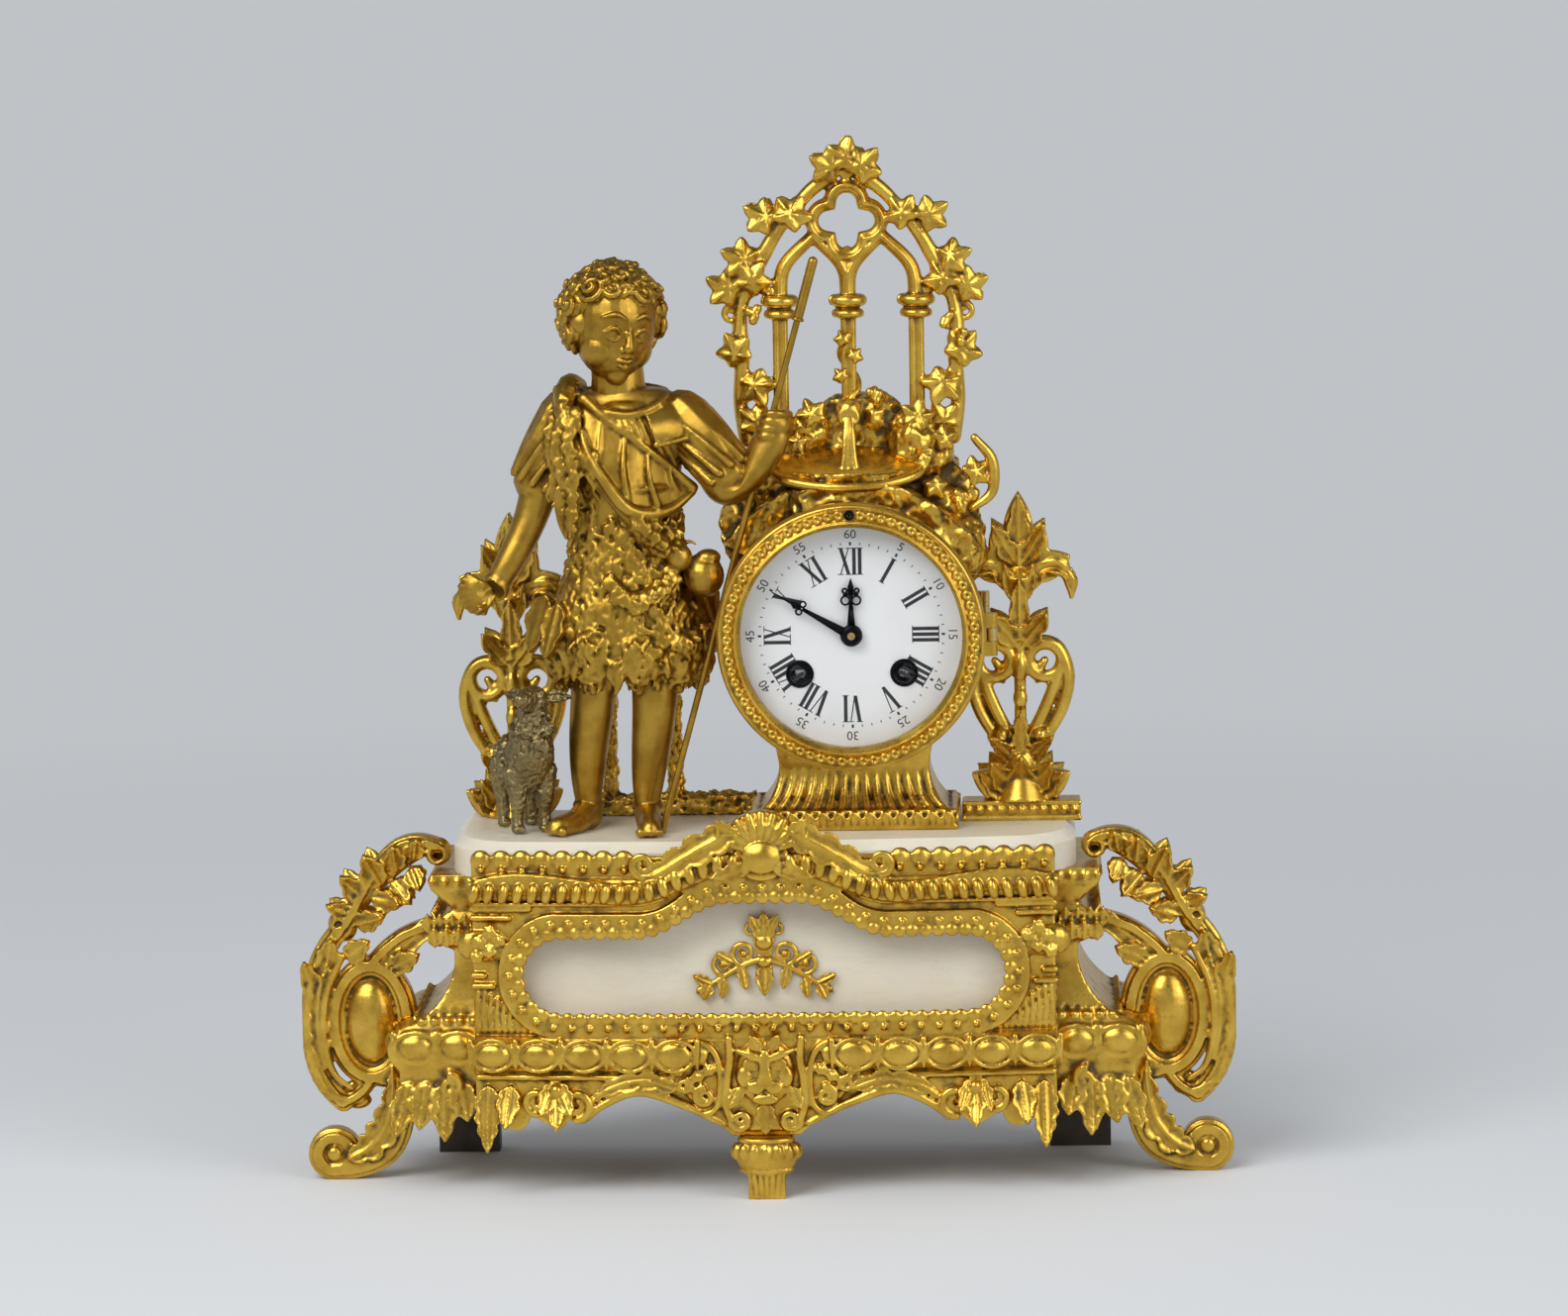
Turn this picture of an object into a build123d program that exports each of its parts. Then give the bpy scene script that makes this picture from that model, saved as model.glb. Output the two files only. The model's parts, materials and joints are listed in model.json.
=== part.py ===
from build123d import *
import math
import os

os.makedirs("parts", exist_ok=True)

# General
OVERRUN = 2.0  # how far a cutting solid runs past the face it cuts
FIT_GAP = 0.04  # radial room of a pivot in its hole
PART_GAP = 0.3  # room between neighbouring pieces that do not touch
HALF_SHARE = 0.5
QUARTER_TURN = 90.0
HALF_TURN = 180.0
FULL_TURN = 360.0
MOST_SHARE = 0.75
HEX_SIDES = 6  # flats of a nut
QUARTERS = 4  # places a quarter turn apart

# Base body
PLINTH_BOTTOM = 33.0  # underside of the base body
PLINTH_TOP = 43.0
OVOLO_TOP = 59.0
FLUTE_TOP = 80.0
BULGE_BOTTOM = 85.0
BULGE_TOP = 99.0
DECK_TOP = 112.0  # top of the base body, where the alabaster rests
WAIST_HALF = 110.0  # half width at the groove
PLINTH_OUT = 20.0  # how far each moulding stands out past the groove
OVOLO_OUT = 24.0
FLUTE_OUT = 15.0
BULGE_OUT = 6.0
CORNICE_OUT = 8.0
FRONT_OUT_SHARE = 0.3  # the front mouldings stand out by this share of the side ones
WAIST_FRONT = -20.0
BASE_BACK = 48.0
BASE_WALL = 5.0
BREAK_HALF = 101.0  # half width of the flat seat for the front casting
BREAK_FRONT = -28.0
BREAK_BOTTOM = 41.0
CORNER_APRON_DROP = 15.0  # how far the corner leaf hangs below the base
CORNER_APRON_HALF = 14.0
CORNER_APRON_THICK = 3.0
FLUTE_COUNT = 4  # hollow flutes on each short side piece of the front
FLUTE_RADIUS = 2.4

# Front casting
FRONT_HALF = 102.0
FRONT_FACE = -44.0  # front of the plate at the middle
BOW_SAG = 6.0  # how far the ends lie behind the middle
PLATE_THICK = 4.0
FRONT_TOP = 121.0
RIM_WIDTH = 7.6  # raised border round the panel opening
RIM_OUT = 2.4
OPENING_BOTTOM = 64.5
OPENING_SHOULDER = 93.5  # flat upper edge of the opening
OPENING_PEAK = 106.0
OPENING_HALF = 70.5  # half width at the four cusps
OPENING_LOBE = 15.0  # how far the end lobes reach past the cusps
OPENING_RISE_OUT = 44.0  # where the upper edge starts to rise
OPENING_RISE_IN = 13.0  # where it is flat again
OVOLO_BAND_BOTTOM = 44.5
OVOLO_BAND_TOP = 58.0
OVOLO_BAND_OUT = 5.0
GADROON_RADIUS = 3.6
GADROON_HEIGHT = 108.5
GADROON_CREST = 118.5
APRON_MIDDLE = 22.0  # lower edge of the apron at the foot
APRON_ARCH = 37.5
APRON_LOBE = 23.7
APRON_NOTCH = 29.5
APRON_TIP = 15.5
APRON_SEAT_HALF = 12.0
ARCH_PEAK_X = 46.0
LOBE_X = 73.0
NOTCH_X = 83.0
SMALL_LOBE_X = 89.0
TIP_X = 98.0
POCKET_HALF = 97.0
POCKET_BOTTOM = 50.0
POCKET_TOP = 111.0
CREST_RADIUS = 14.0
CREST_MIDDLE = 123.0
CREST_GROOVES = 7
CREST_GROOVE_RADIUS = 0.9
CABOCHON_WIDE = 7.5
CABOCHON_HIGH = 6.0
CABOCHON_DEEP = 4.5
MASK_HIGH = 13.0
MASK_WIDE = 9.5
MASK_DEEP = 5.0
MASK_MIDDLE = 44.0
MASK_SCROLL_RADIUS = 7.0
MASK_SCROLL_TUBE = 2.2
MASK_SCROLL_X = 19.0
BOSS_COUNT = 5  # oval bosses on each side of the mask
BOSS_FIRST = 31.5
BOSS_LAST = 95.5
BOSS_HALF = 6.0
BOSS_HIGH = 4.4
BOSS_DEEP = 2.4

# Alabaster panel and its gilt mount
PANEL_THICK = 6.0
PANEL_HALF = 93.0
PANEL_BOTTOM = 58.0
PANEL_TOP = 110.0
MOUNT_THICK = 2.0
MOUNT_HALF = 24.0
MOUNT_HIGH = 31.0
MOUNT_MIDDLE = 84.0
MOUNT_BAND = 3.2

# Feet
FOOT_HEIGHT = 22.0
FOOT_RADIUS = 7.0
FOOT_BLOCK_HALF = 6.5  # square block under the bulge
FOOT_BLOCK_DEEP = 3.6
FOOT_BULGE = 12.5
FOOT_NECK = 9.0
FOOT_BULGE_SHARE = 0.72  # height of the bulge as a share of the foot
FOOT_DEPTH_SHARE = 0.55  # the foot is flatter from front to back
FOOT_MIDDLE_Y = -44.5
REAR_FOOT_X = 111.0
REAR_FOOT_WIDE = 22.0
REAR_FOOT_DEEP = 10.0
REAR_FOOT_BACK = 50.0

# Scroll brackets at the ends, as flat castings
BRACKET_Y = -3.0
BRACKET_WIDE = 7.0
BRACKET_DEEP = 7.0
BRACKET_BULGE = 1.4
SLIM_SHARE = 0.72  # the lighter scrolls are this share of the main width
RIDGE_SHARE = 0.35  # how much deeper the ridge of a scroll is
FOOT_VOLUTE_X = 155.5
FOOT_VOLUTE_RADIUS = 9.5
CAB_X = 141.5
CAB_Z = 57.0
CAB_WIDE = 9.0
CAB_HIGH = 15.0
CAB_DEEP = 5.0
RING_WIDE = 13.0
RING_HIGH = 20.0
TOP_VOLUTE_X = 116.5
TOP_VOLUTE_Z = 117.0
TOP_VOLUTE_RADIUS = 4.6
OUTER_CURL_X = 152.0
OUTER_CURL_Z = 92.0
OUTER_CURL_RADIUS = 4.0
BRACKET_OUTER_X = 161.5
BRACKET_SPUR_Z = 28.0

# Alabaster plinth
SLAB_TOP = 125.0
SLAB_HALF = 110.0
SLAB_FRONT = -39.0
SLAB_BACK = 46.0
SLAB_CORNER = 26.0
SLAB_BEVEL = 3.5

# Drum, bezel, dial
DRUM_X = 32.0
DRUM_Z = 195.0
DRUM_RADIUS = 42.6
DRUM_WALL = 1.8
DRUM_FRONT = -20.0
DRUM_BACK = 42.0
BEZEL_RADIUS = 47.2
BEZEL_OPENING = 38.9
BEZEL_BEAD_RING = 43.4
BEZEL_BEAD_RADIUS = 1.5
BEZEL_DEEP = 8.2
COLLAR_THICK = 1.5
COLLAR_RADIUS = 44.6
SPIGOT_WALL = 1.0
SPIGOT_LONG = 8.0
SHELF_INNER = 33.5
SHELF_DEEP = 2.5  # dial seat behind the front of the drum
DIAL_THICK = 1.5
DIAL_HOLE = 3.5
DIAL_RIM = 0.6
CENTRE_HOLE = 3.2
GLASS_THICK = 1.4
GLASS_DOME = 3.2
HINGE_PIN = 1.0
HINGE_KNUCKLE = 1.9
HINGE_HIGH = 5.0
HINGE_OUT = 2.1  # how far the hinge axis lies outside the bezel

# Movement, arbor places are measured from the drum axis
PLATE_RADIUS = 37.0
PLATE_FRONT = -12.0
PLATE_DEEP = 2.0
PLATE_SPACE = 22.0  # clear distance between the plates
BARREL_X = 18.3
BARREL_DROP = 13.5
BARREL_RADIUS = 14.5
BARREL_LONG = 12.0
BARREL_ARBOR = 2.0
WIND_SQUARE = 2.6
WIND_END = -18.2
RATCHET_RADIUS = 5.6
RATCHET_TEETH = 18
RATCHET_TOOTH = 1.0
GREAT_TEETH = 72
SECOND_LEAVES = 12
SECOND_TEETH = 60
CENTRE_LEAVES = 10
CENTRE_TEETH = 72
THIRD_LEAVES = 6
THIRD_TEETH = 72
ESCAPE_LEAVES = 6
ESCAPE_TEETH = 42
CANNON_LEAVES = 12
MINUTE_TEETH = 36
MINUTE_LEAVES = 10
HOUR_TEETH = 40
PIN_LEAVES = 10
PIN_TEETH = 60
LOCK_LEAVES = 8
LOCK_TEETH = 56
FLY_LEAVES = 7
SECOND_RUN = 12.6  # distance from the second arbor to the centre arbor
STRIKE_SECOND_RUN = 14.2  # far enough to pass the centre pinion
GREAT_RUN = 20.0  # distance from a barrel to its second arbor
THIRD_RUN = 11.7
ESCAPE_RUN = 10.92
PALLET_RUN = 8.9
MOTION_RUN = 8.0
PIN_RUN = 12.6
PIN_ANGLE = 115.0
LOCK_RUN = 10.2
LOCK_ANGLE = 60.0
FLY_RUN = 6.93
FLY_ANGLE = 150.0
HAMMER_X = -29.0
HAMMER_Z = 8.0
ARBOR_RADIUS = 0.45
PIVOT_RADIUS = 0.3
CENTRE_ARBOR = 1.0
WHEEL_THICK = 1.0
WHEEL_RIM = 1.6  # rim left inside the tooth roots
HUB_RADIUS = 2.2
SPOKE_WIDE = 1.3
SPOKES = 5
PINION_LONG = 2.4
TOOTH_SHARE = 0.40  # tooth thickness as a share of the pitch
LEAF_SHARE = 0.36
POINT_SHARE = 0.14
TOOTH_OUT_SHARE = 1.15  # tooth height outside the pitch circle, in modules
LEAF_OUT_SHARE = 0.7
TOOTH_IN_SHARE = 1.5
ESCAPE_RADIUS = 6.5
ESCAPE_TOOTH = 1.2
ESCAPE_POINT_SHARE = 0.12
ESCAPE_ROOT_SHARE = 0.55
# places of the wheels between the plates, from the inside of the front plate
BARREL_PLACE = 2.0
SECOND_PLACE = 16.5
CENTRE_PLACE = 19.0
FRONT_WHEEL_PLACE = 3.0
ESCAPE_PLACE = 12.0
FLY_PLACE = 6.0
FLY_LONG = 9.0
FLY_HALF = 4.0
FLY_THICK = 0.6
PILLAR_RADIUS = 2.0
PILLAR_HIGH_X = 30.0
PILLAR_HIGH_Z = 14.0
PILLAR_LOW_X = 8.0
PILLAR_LOW_Z = -32.5
FOOT_POST_RING = 35.2
FOOT_POST_RADIUS = 1.3
FOOT_POST_TILT = 38.0
STRAP_OUT = 39.4
STRAP_THICK = 1.9
STRAP_WIDE = 5.0
SCREW_RADIUS = 0.8
SCREW_HEAD = 1.6
SCREW_HEAD_THICK = 1.2
COUNT_RADIUS = 10.2
COUNT_NOTCHES = 11
COUNT_NOTCH = 1.0
COUNT_THICK = 0.9
REAR_ROOM = 0.8  # room between the back plate and what turns behind it
LIFT_PINS = 10
LIFT_PIN_RING = 6.6
LIFT_PIN_RADIUS = 0.4
LIFT_PIN_LONG = 1.0
HOUR_TUBE = 2.6
CANNON_TUBE = 1.7
HAND_THICK = 0.6
HOUR_HAND_BACK = -20.3
MINUTE_HAND_BACK = -21.9
HOUR_HAND_LONG = 20.5
MINUTE_HAND_LONG = 32.0
MINUTE_HAND_TURN = 60.0  # the hands stand at ten to twelve
HAND_WIDE = 1.1
HAND_RING = 2.6
HAND_BOSS = 3.4
CENTRE_END = -23.4

# Pendulum, bell and hammer
PENDULUM_Y = 19.5
PENDULUM_LONG = 88.0
ROD_RADIUS = 0.8
SPRING_LONG = 8.0
SPRING_THICK = 0.4
SPRING_WIDE = 3.0
MAINSPRING_TURNS = 5
BOB_RADIUS = 8.0
BOB_THICK = 6.0
CRUTCH_LONG = 20.0
CRUTCH_THICK = 1.0
FORK_ROOM = 0.2
COCK_WIDE = 14.0
COCK_HIGH = 4.0
BELL_X = 12.0
BELL_RADIUS = 24.5
BELL_WALL = 1.2
BELL_RIM_Y = 24.5
BELL_DEEP = 12.0
BELL_POST = 2.0
BELL_NUT = 3.4
BELL_NUT_THICK = 2.2
HAMMER_HEAD = 2.6
HAMMER_HEAD_Y = 26.0
HAMMER_HEAD_LONG = 4.0
HAMMER_ARM = 11.8
HAMMER_TILT = -25.0
HAMMER_TAIL = 6.2
DOOR_THICK = 1.5
DOOR_RADIUS = 43.6
DOOR_KNOB = 2.0
DOOR_HOLES = 12
DOOR_HOLE_RADIUS = 3.6
DOOR_HOLE_RING = 30.0

# Pedestal under the drum
PEDESTAL_Y = 8.0
PEDESTAL_HALF = 35.3
PEDESTAL_WAIST = 26.5
PEDESTAL_TOP_HALF = 29.0
PEDESTAL_DEEP = 22.0
PEDESTAL_STEP = 5.0
PEDESTAL_WAIST_Z = 23.0  # height of the waist above the slab
PEDESTAL_ROOM_HALF = 17.0
PEDESTAL_FLUTES = 9
PEDESTAL_FLUTE_RADIUS = 1.7

# Rock, fountain and gothic arch above the drum
ROCK_FRONT = -17.0
ROCK_BACK = 26.0
ROCK_THICK = 12.0  # of the saddle on the drum
ROCK_FROM = 32.0  # angles of the saddle ends round the drum
ROCK_TO = 146.0
BASIN_TOP = 252.0
BASIN_HALF = 27.0
BASIN_DEEP = 9.0
BASIN_FRONT = -19.0
ROCK_PEAK = 277.0
ROCK_WALL_FRONT = 2.0
ARM_ROOM_Y = -5.0  # the rock stays behind this beside the raised arm
SPOUT_RADIUS = 4.6
STREAM_RADIUS = 1.6
ARCH_Y = 8.0
ARCH_TOP = 369.0
COLUMN_X = 24.0  # outer columns, from the arch axis
COLUMN_RADIUS = 2.6
COLUMN_FOOT = 268.0
CAPITAL_Z = 311.5
CAPITAL_RADIUS = 4.4
CAPITAL_HIGH = 4.0
LIGHT_PEAK = 333.0
ARCH_DEEP = 4.0
ROSE_Z = 338.5
ROSE_LOBE = 6.6
ROSE_OFFSET = 6.2
VINE_WIDE = 3.6
VINE_FOOT_X = 36.5
VINE_FOOT_Z = 262.0
VINE_KNEE_Z = 312.0
VINE_SHOULDER_X = 24.0
VINE_SHOULDER_Z = 336.0
LEAF_LONG = 15.0
LEAF_WIDE = 11.0
LEAF_THICK = 2.0
TOP_LEAF_TILT = 55.0
VINE_LEAF_TILTS = (30.0, -60.0, 25.0, -30.0, 150.0, -50.0, 40.0, -75.0)

# Foliage flankers at the ends of the slab
FLANKER_X = 91.0
FLANKER_RIGHT_Y = 11.0
FLANKER_LEFT_Y = 30.0
FLANKER_BLOCK_WIDE = 42.0
FLANKER_BLOCK_HIGH = 7.0
FLANKER_BLOCK_DEEP = 14.0
FLANKER_HIGH = 110.0
FLANKER_BAND = 4.2
FLANKER_SCROLL_X = 9.0
FLANKER_SCROLL_RADIUS = 8.0
FLANKER_SCROLL_SHARE = 0.45  # heights as shares of the foliage height
FLANKER_MOUND_SHARE = 0.15
FLANKER_CUP_SHARE = 0.62
FLANKER_DROOP_SHARE = 0.72
FLANKER_STEM = 2.2
FLANKER_BALL = 2.9
FLANKER_LEAF_LONG = 20.0
FLANKER_LEAF_WIDE = 11.0
FLANKER_FOOT_TILT = 62.0
FLANKER_SIDE_TILT = 68.0
FLANKER_TOP_TILT = 28.0

# Standing boy, measured from the point on the slab between the feet
BOY_X = -48.0
BOY_Y = -6.0
HEAD_AT = (-2.0, -3.0, 181.0)
HEAD_WIDE = 15.0
HEAD_HIGH = 20.0
FACE_TURN = -65.0  # heading of the face round the upright
FACE_HALF = 80.0  # half the angle left free of hair
HAIR_LOCK = 5.6
HAIR_LOCKS = 11
HAIR_RING = 13.6
NOSE_LONG = 2.2
NECK_RADIUS = 8.6
NECK_FOOT = 150.0
TORSO_HEIGHTS = (62.0, 78.0, 100.0, 118.0, 136.0, 150.0, 157.0)
TORSO_HALVES = (27.0, 25.0, 19.5, 19.0, 21.0, 20.0, 9.0)
TORSO_DEPTHS = (17.0, 16.5, 13.5, 13.5, 14.5, 12.0, 8.0)
TORSO_SHIFTS = (1.0, 1.0, 1.0, 1.0, 1.0, 2.0, 2.0)
RIGHT_LEG = ((-10.0, 2.0, 66.0), (-12.0, -1.0, 46.0), (-14.0, 1.0, 28.0), (-14.5, 4.0, 9.0))
LEFT_LEG = ((9.0, -1.0, 66.0), (10.0, -6.0, 44.0), (8.0, -3.0, 26.0), (6.5, 0.0, 9.0))
LEG_RADII = (9.5, 8.0, 6.8, 4.4)
RIGHT_FOOT = ((-14.0, 4.0, 4.4), (-20.0, -6.0, 4.0), (-25.0, -13.0, 3.2))
LEFT_FOOT = ((6.5, 1.0, 4.4), (7.5, -9.0, 4.0), (8.5, -19.0, 3.2))
FOOT_RADII = (4.4, 4.0, 3.2)
RIGHT_ARM = (
    (-18.0, 1.0, 146.0), (-27.0, 0.0, 130.0), (-31.0, 0.0, 116.0), (-38.0, -3.0, 100.0), (-45.0, -5.0, 88.0))
LEFT_ARM = (
    (22.0, -2.0, 145.0), (34.0, -5.0, 130.0), (42.0, -9.0, 119.0), (49.0, -10.0, 131.0), (55.0, -10.0, 144.0))
ARM_RADII = (8.8, 7.8, 6.4, 5.4, 4.0)
HAND_RADIUS = 5.4
SHELL_RADIUS = 8.0
SHELL_AT = (-49.0, -9.0, 83.0)
GOURD_AT = (28.0, -7.0, 92.0)
GOURD_RADIUS = 7.0
GOURD_NECK_AT = (20.0, -11.5, 98.0)
GOURD_NECK_RADIUS = 4.6
COLLAR_AT = 150.0
COLLAR_WIDE = 13.5
COLLAR_TUBE = 3.0
SASH_TUBE = 4.0
SASH = ((-17.0, -4.0, 150.0), (-9.0, -15.5, 132.0), (6.0, -15.5, 112.0), (20.0, -9.0, 100.0))
HEM_POINTS = 9
HEM_DROP = 11.0
HEM_WIDE = 6.0

# Staff of the boy, from the slab to the tip
STAFF_RADIUS = 1.15
STAFF_TOP_RADIUS = 1.7
STAFF_FOOT = (-36.0, -15.5)
STAFF_TIP = (20.5, -16.0)
STAFF_TIP_Z = 326.0
STAFF_RING_SHARE = 0.9

# Lamb
LAMB_X = -85.5
LAMB_Y = -2.0
LAMB_TURN = 20.0  # the hind legs stand to the side of the front ones
LAMB_BODY_Z = 25.0
LAMB_BODY_LONG = 15.0
LAMB_BODY_RADIUS = 10.0
LAMB_LEG = 2.2
LAMB_LEG_X = 5.0
LAMB_LEG_Y = 9.0
LAMB_NECK = 6.0
LAMB_HEAD_Z = 47.0
LAMB_HEAD_RADIUS = 6.4
LAMB_MUZZLE = 4.0
LAMB_EAR = 4.6
LAMB_BELL = 2.6

# Rustic support behind the boy
LOG_FROM = -66.0
LOG_TO = -4.0
LOG_Y = 29.0
LOG_RADIUS = 4.2
POST_RADIUS = 3.4
POST_TOP = 62.0
POST_XS = (-56.0, -33.0)

# Rods and nuts that hold the castings to the base
ROD_HALF = 1.5
ROD_UP = 5.0
ROD_DOWN = 6.0
NUT_HALF = 3.2
NUT_THICK = 2.6


# Shared shapes
def on_front(y):
    return Plane(origin=(0, y, 0), x_dir=(1, 0, 0), z_dir=(0, -1, 0))


def front_block(sketch, y_front, y_back):
    return extrude(on_front(y_back) * sketch, amount=y_back - y_front)


def disc(radius, y_front, y_back, at):
    return front_block(Pos(*at) * Circle(radius), y_front, y_back)


def tube_ring(outer, inner, y_front, y_back, at):
    return front_block(Pos(*at) * (Circle(outer) - Circle(inner)), y_front, y_back)


def block(x_from, x_to, y_from, y_to, z_from, z_to):
    middle = ((x_from + x_to) / 2, (y_from + y_to) / 2, (z_from + z_to) / 2)
    return Pos(*middle) * Box(x_to - x_from, y_to - y_from, z_to - z_from)


def outline(points):
    return make_face(Polyline(*points, close=True))


def turned_front(points, at):
    face = Plane(origin=(at[0], 0, at[1])) * outline(points)
    return revolve(face, Axis((at[0], 0, at[1]), (0, 1, 0)), FULL_TURN)


def turned_up(points, at):
    face = Plane(origin=(at[0], at[1], 0), x_dir=(1, 0, 0), z_dir=(0, -1, 0)) * outline(points)
    return revolve(face, Axis((at[0], at[1], 0), (0, 0, 1)), FULL_TURN)


def upright(radius, z_from, z_to, at):
    middle = (at[0], at[1], (z_from + z_to) / 2)
    return Pos(*middle) * Cylinder(radius, z_to - z_from)


def ball(radius, at):
    return Pos(*at) * Sphere(radius)


def egg(half_x, half_y, half_z, at):
    return Pos(*at) * scale(Sphere(half_x), by=(1, half_y / half_x, half_z / half_x))


def bent_tube(points, radius):
    path = Spline(*points)
    return sweep(Plane(origin=path @ 0, z_dir=path % 0) * Circle(radius), path=path)


def stroke(points, wide):
    band = trace(Spline(*points), line_width=wide)
    return band + [Pos(*points[0]) * Circle(wide / 2), Pos(*points[-1]) * Circle(wide / 2)]


def hoop(x, z, radius, wide):
    return Pos(x, z) * (Circle(radius + wide / 2) - Circle(radius - wide / 2))


def relief(make_face, wide, deep, y):
    flat = front_block(make_face(wide), y - deep / 2, y + deep / 2)
    ridge = deep / 2 * (1 + RIDGE_SHARE)
    return flat + front_block(make_face(wide * HALF_SHARE), y - ridge, y + ridge)


def limb(points, radii):
    path = Spline(*points)
    last = len(points) - 1
    sections = []
    for step, radius in enumerate(radii):
        place = step / last
        sections.append(Plane(origin=path @ place, z_dir=path % place) * Circle(radius))
    solid = loft(sections)
    return solid + ball(radii[0], path @ 0) + ball(radii[-1], path @ 1)


def leaf_face(long, wide, at, tilt):
    side = Spline((0, 0), (wide / 2, long * HALF_SHARE), (0, long))
    other = Spline((0, long), (-wide / 2, long * HALF_SHARE), (0, 0))
    return Pos(*at) * (Rot(0, 0, tilt) * make_face([side, other]))


def slat(at, angle, long):
    return Pos(*at) * (Rot(0, 0, angle) * Pos(long / 2, 0) * Rectangle(long, SPOKE_WIDE))


def nut(radius, z_from, thick, at):
    return extrude(Plane(origin=(at[0], at[1], z_from)) * RegularPolygon(radius, HEX_SIDES), amount=thick)


def mirrored(shape):
    return mirror(shape, about=Plane.YZ)


def spread(count, first, last):
    step = (last - first) / (count - 1)
    return [first + step * n for n in range(count)]


def polar(at, run, angle):
    turn = math.radians(angle)
    return (at[0] + run * math.cos(turn), at[1] + run * math.sin(turn))


def far(a, b):
    return math.hypot(a[0] - b[0], a[1] - b[1])


def heading(a, b):
    return math.degrees(math.atan2(b[1] - a[1], b[0] - a[0]))


# Toothed wheels
def gear_face(count, module, thick_share, out_share, phase):
    pitch_radius = count * module / 2
    root = pitch_radius - TOOTH_IN_SHARE * module
    tip = pitch_radius + out_share * module
    pitch = FULL_TURN / count
    half = thick_share * pitch / 2
    point = POINT_SHARE * pitch / 2 * pitch_radius / tip
    points = []
    for tooth in range(count):
        angle = phase + tooth * pitch
        points.append(polar((0, 0), root, angle - half))
        points.append(polar((0, 0), pitch_radius, angle - half))
        points.append(polar((0, 0), tip, angle - point))
        points.append(polar((0, 0), tip, angle + point))
        points.append(polar((0, 0), pitch_radius, angle + half))
        points.append(polar((0, 0), root, angle + half))
    return outline(points)


def windows(root):
    space = Circle(root - WHEEL_RIM) - Circle(HUB_RADIUS)
    for spoke in range(SPOKES):
        bar = Rot(0, 0, spoke * FULL_TURN / SPOKES) * Pos(root / 2, 0) * Rectangle(root, SPOKE_WIDE)
        space = space - bar
    return space


def wheel(count, module, y, at):
    root = count * module / 2 - TOOTH_IN_SHARE * module
    face = gear_face(count, module, TOOTH_SHARE, TOOTH_OUT_SHARE, 0) - windows(root)
    return front_block(Pos(*at) * face, y, y + WHEEL_THICK)


def pinion(count, module, teeth, angle, y_front, y_back, at):
    phase = angle + HALF_TURN + HALF_TURN / count + angle * teeth / count
    face = gear_face(count, module, LEAF_SHARE, LEAF_OUT_SHARE, phase)
    return front_block(Pos(*at) * face, y_front, y_back)


def arbor(at):
    shaft = disc(ARBOR_RADIUS, PLATE_IN + PART_GAP, BACK_PLATE_IN - PART_GAP, at)
    return shaft + disc(PIVOT_RADIUS, PLATE_FRONT, BACK_PLATE_OUT, at)


def module_of(first, second, run):
    return 2 * run / (first + second)


def meeting(first, first_run, second, second_run, side):
    span = far(first, second)
    along = (first_run**2 - second_run**2 + span**2) / (2 * span)
    up = math.sqrt(first_run**2 - along**2) * side
    ex = (second[0] - first[0]) / span
    ez = (second[1] - first[1]) / span
    return (first[0] + along * ex - up * ez, first[1] + along * ez + up * ex)


# Places worked out from the sizes
BOW_RADIUS = (FRONT_HALF**2 + BOW_SAG**2) / (2 * BOW_SAG)
BOW_AXIS = FRONT_FACE + BOW_RADIUS
PLATE_IN = PLATE_FRONT + PLATE_DEEP
BACK_PLATE_IN = PLATE_IN + PLATE_SPACE
BACK_PLATE_OUT = BACK_PLATE_IN + PLATE_DEEP
CENTRE = (DRUM_X, DRUM_Z)
GOING = (DRUM_X + BARREL_X, DRUM_Z - BARREL_DROP)
STRIKE = (DRUM_X - BARREL_X, DRUM_Z - BARREL_DROP)
GOING_SECOND = meeting(CENTRE, SECOND_RUN, GOING, GREAT_RUN, 1)
STRIKE_SECOND = meeting(CENTRE, STRIKE_SECOND_RUN, STRIKE, GREAT_RUN, -1)
THIRD = polar(CENTRE, THIRD_RUN, QUARTER_TURN)
ESCAPE = polar(THIRD, ESCAPE_RUN, QUARTER_TURN)
PALLET = polar(ESCAPE, PALLET_RUN, QUARTER_TURN)
MOTION = polar(CENTRE, MOTION_RUN, QUARTER_TURN)
PIN_AT = polar(STRIKE_SECOND, PIN_RUN, PIN_ANGLE)
LOCK_AT = polar(PIN_AT, LOCK_RUN, LOCK_ANGLE)
FLY_AT = polar(LOCK_AT, FLY_RUN, FLY_ANGLE)
HAMMER_AT = (DRUM_X + HAMMER_X, DRUM_Z + HAMMER_Z)
BELL_AT = (DRUM_X + BELL_X, DRUM_Z)
ARBORS = (GOING_SECOND, STRIKE_SECOND, THIRD, ESCAPE, PIN_AT, LOCK_AT, FLY_AT)
GREAT_MODULE = module_of(GREAT_TEETH, SECOND_LEAVES, GREAT_RUN)
SECOND_MODULE = module_of(SECOND_TEETH, CENTRE_LEAVES, SECOND_RUN)
CENTRE_MODULE = module_of(CENTRE_TEETH, THIRD_LEAVES, THIRD_RUN)
THIRD_MODULE = module_of(THIRD_TEETH, ESCAPE_LEAVES, ESCAPE_RUN)
CANNON_MODULE = module_of(CANNON_LEAVES, MINUTE_TEETH, MOTION_RUN)
HOUR_MODULE = module_of(MINUTE_LEAVES, HOUR_TEETH, MOTION_RUN)
PIN_PINION_MODULE = module_of(SECOND_TEETH, PIN_LEAVES, PIN_RUN)
PIN_MODULE = module_of(PIN_TEETH, LOCK_LEAVES, LOCK_RUN)
LOCK_MODULE = module_of(LOCK_TEETH, FLY_LEAVES, FLY_RUN)
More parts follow.
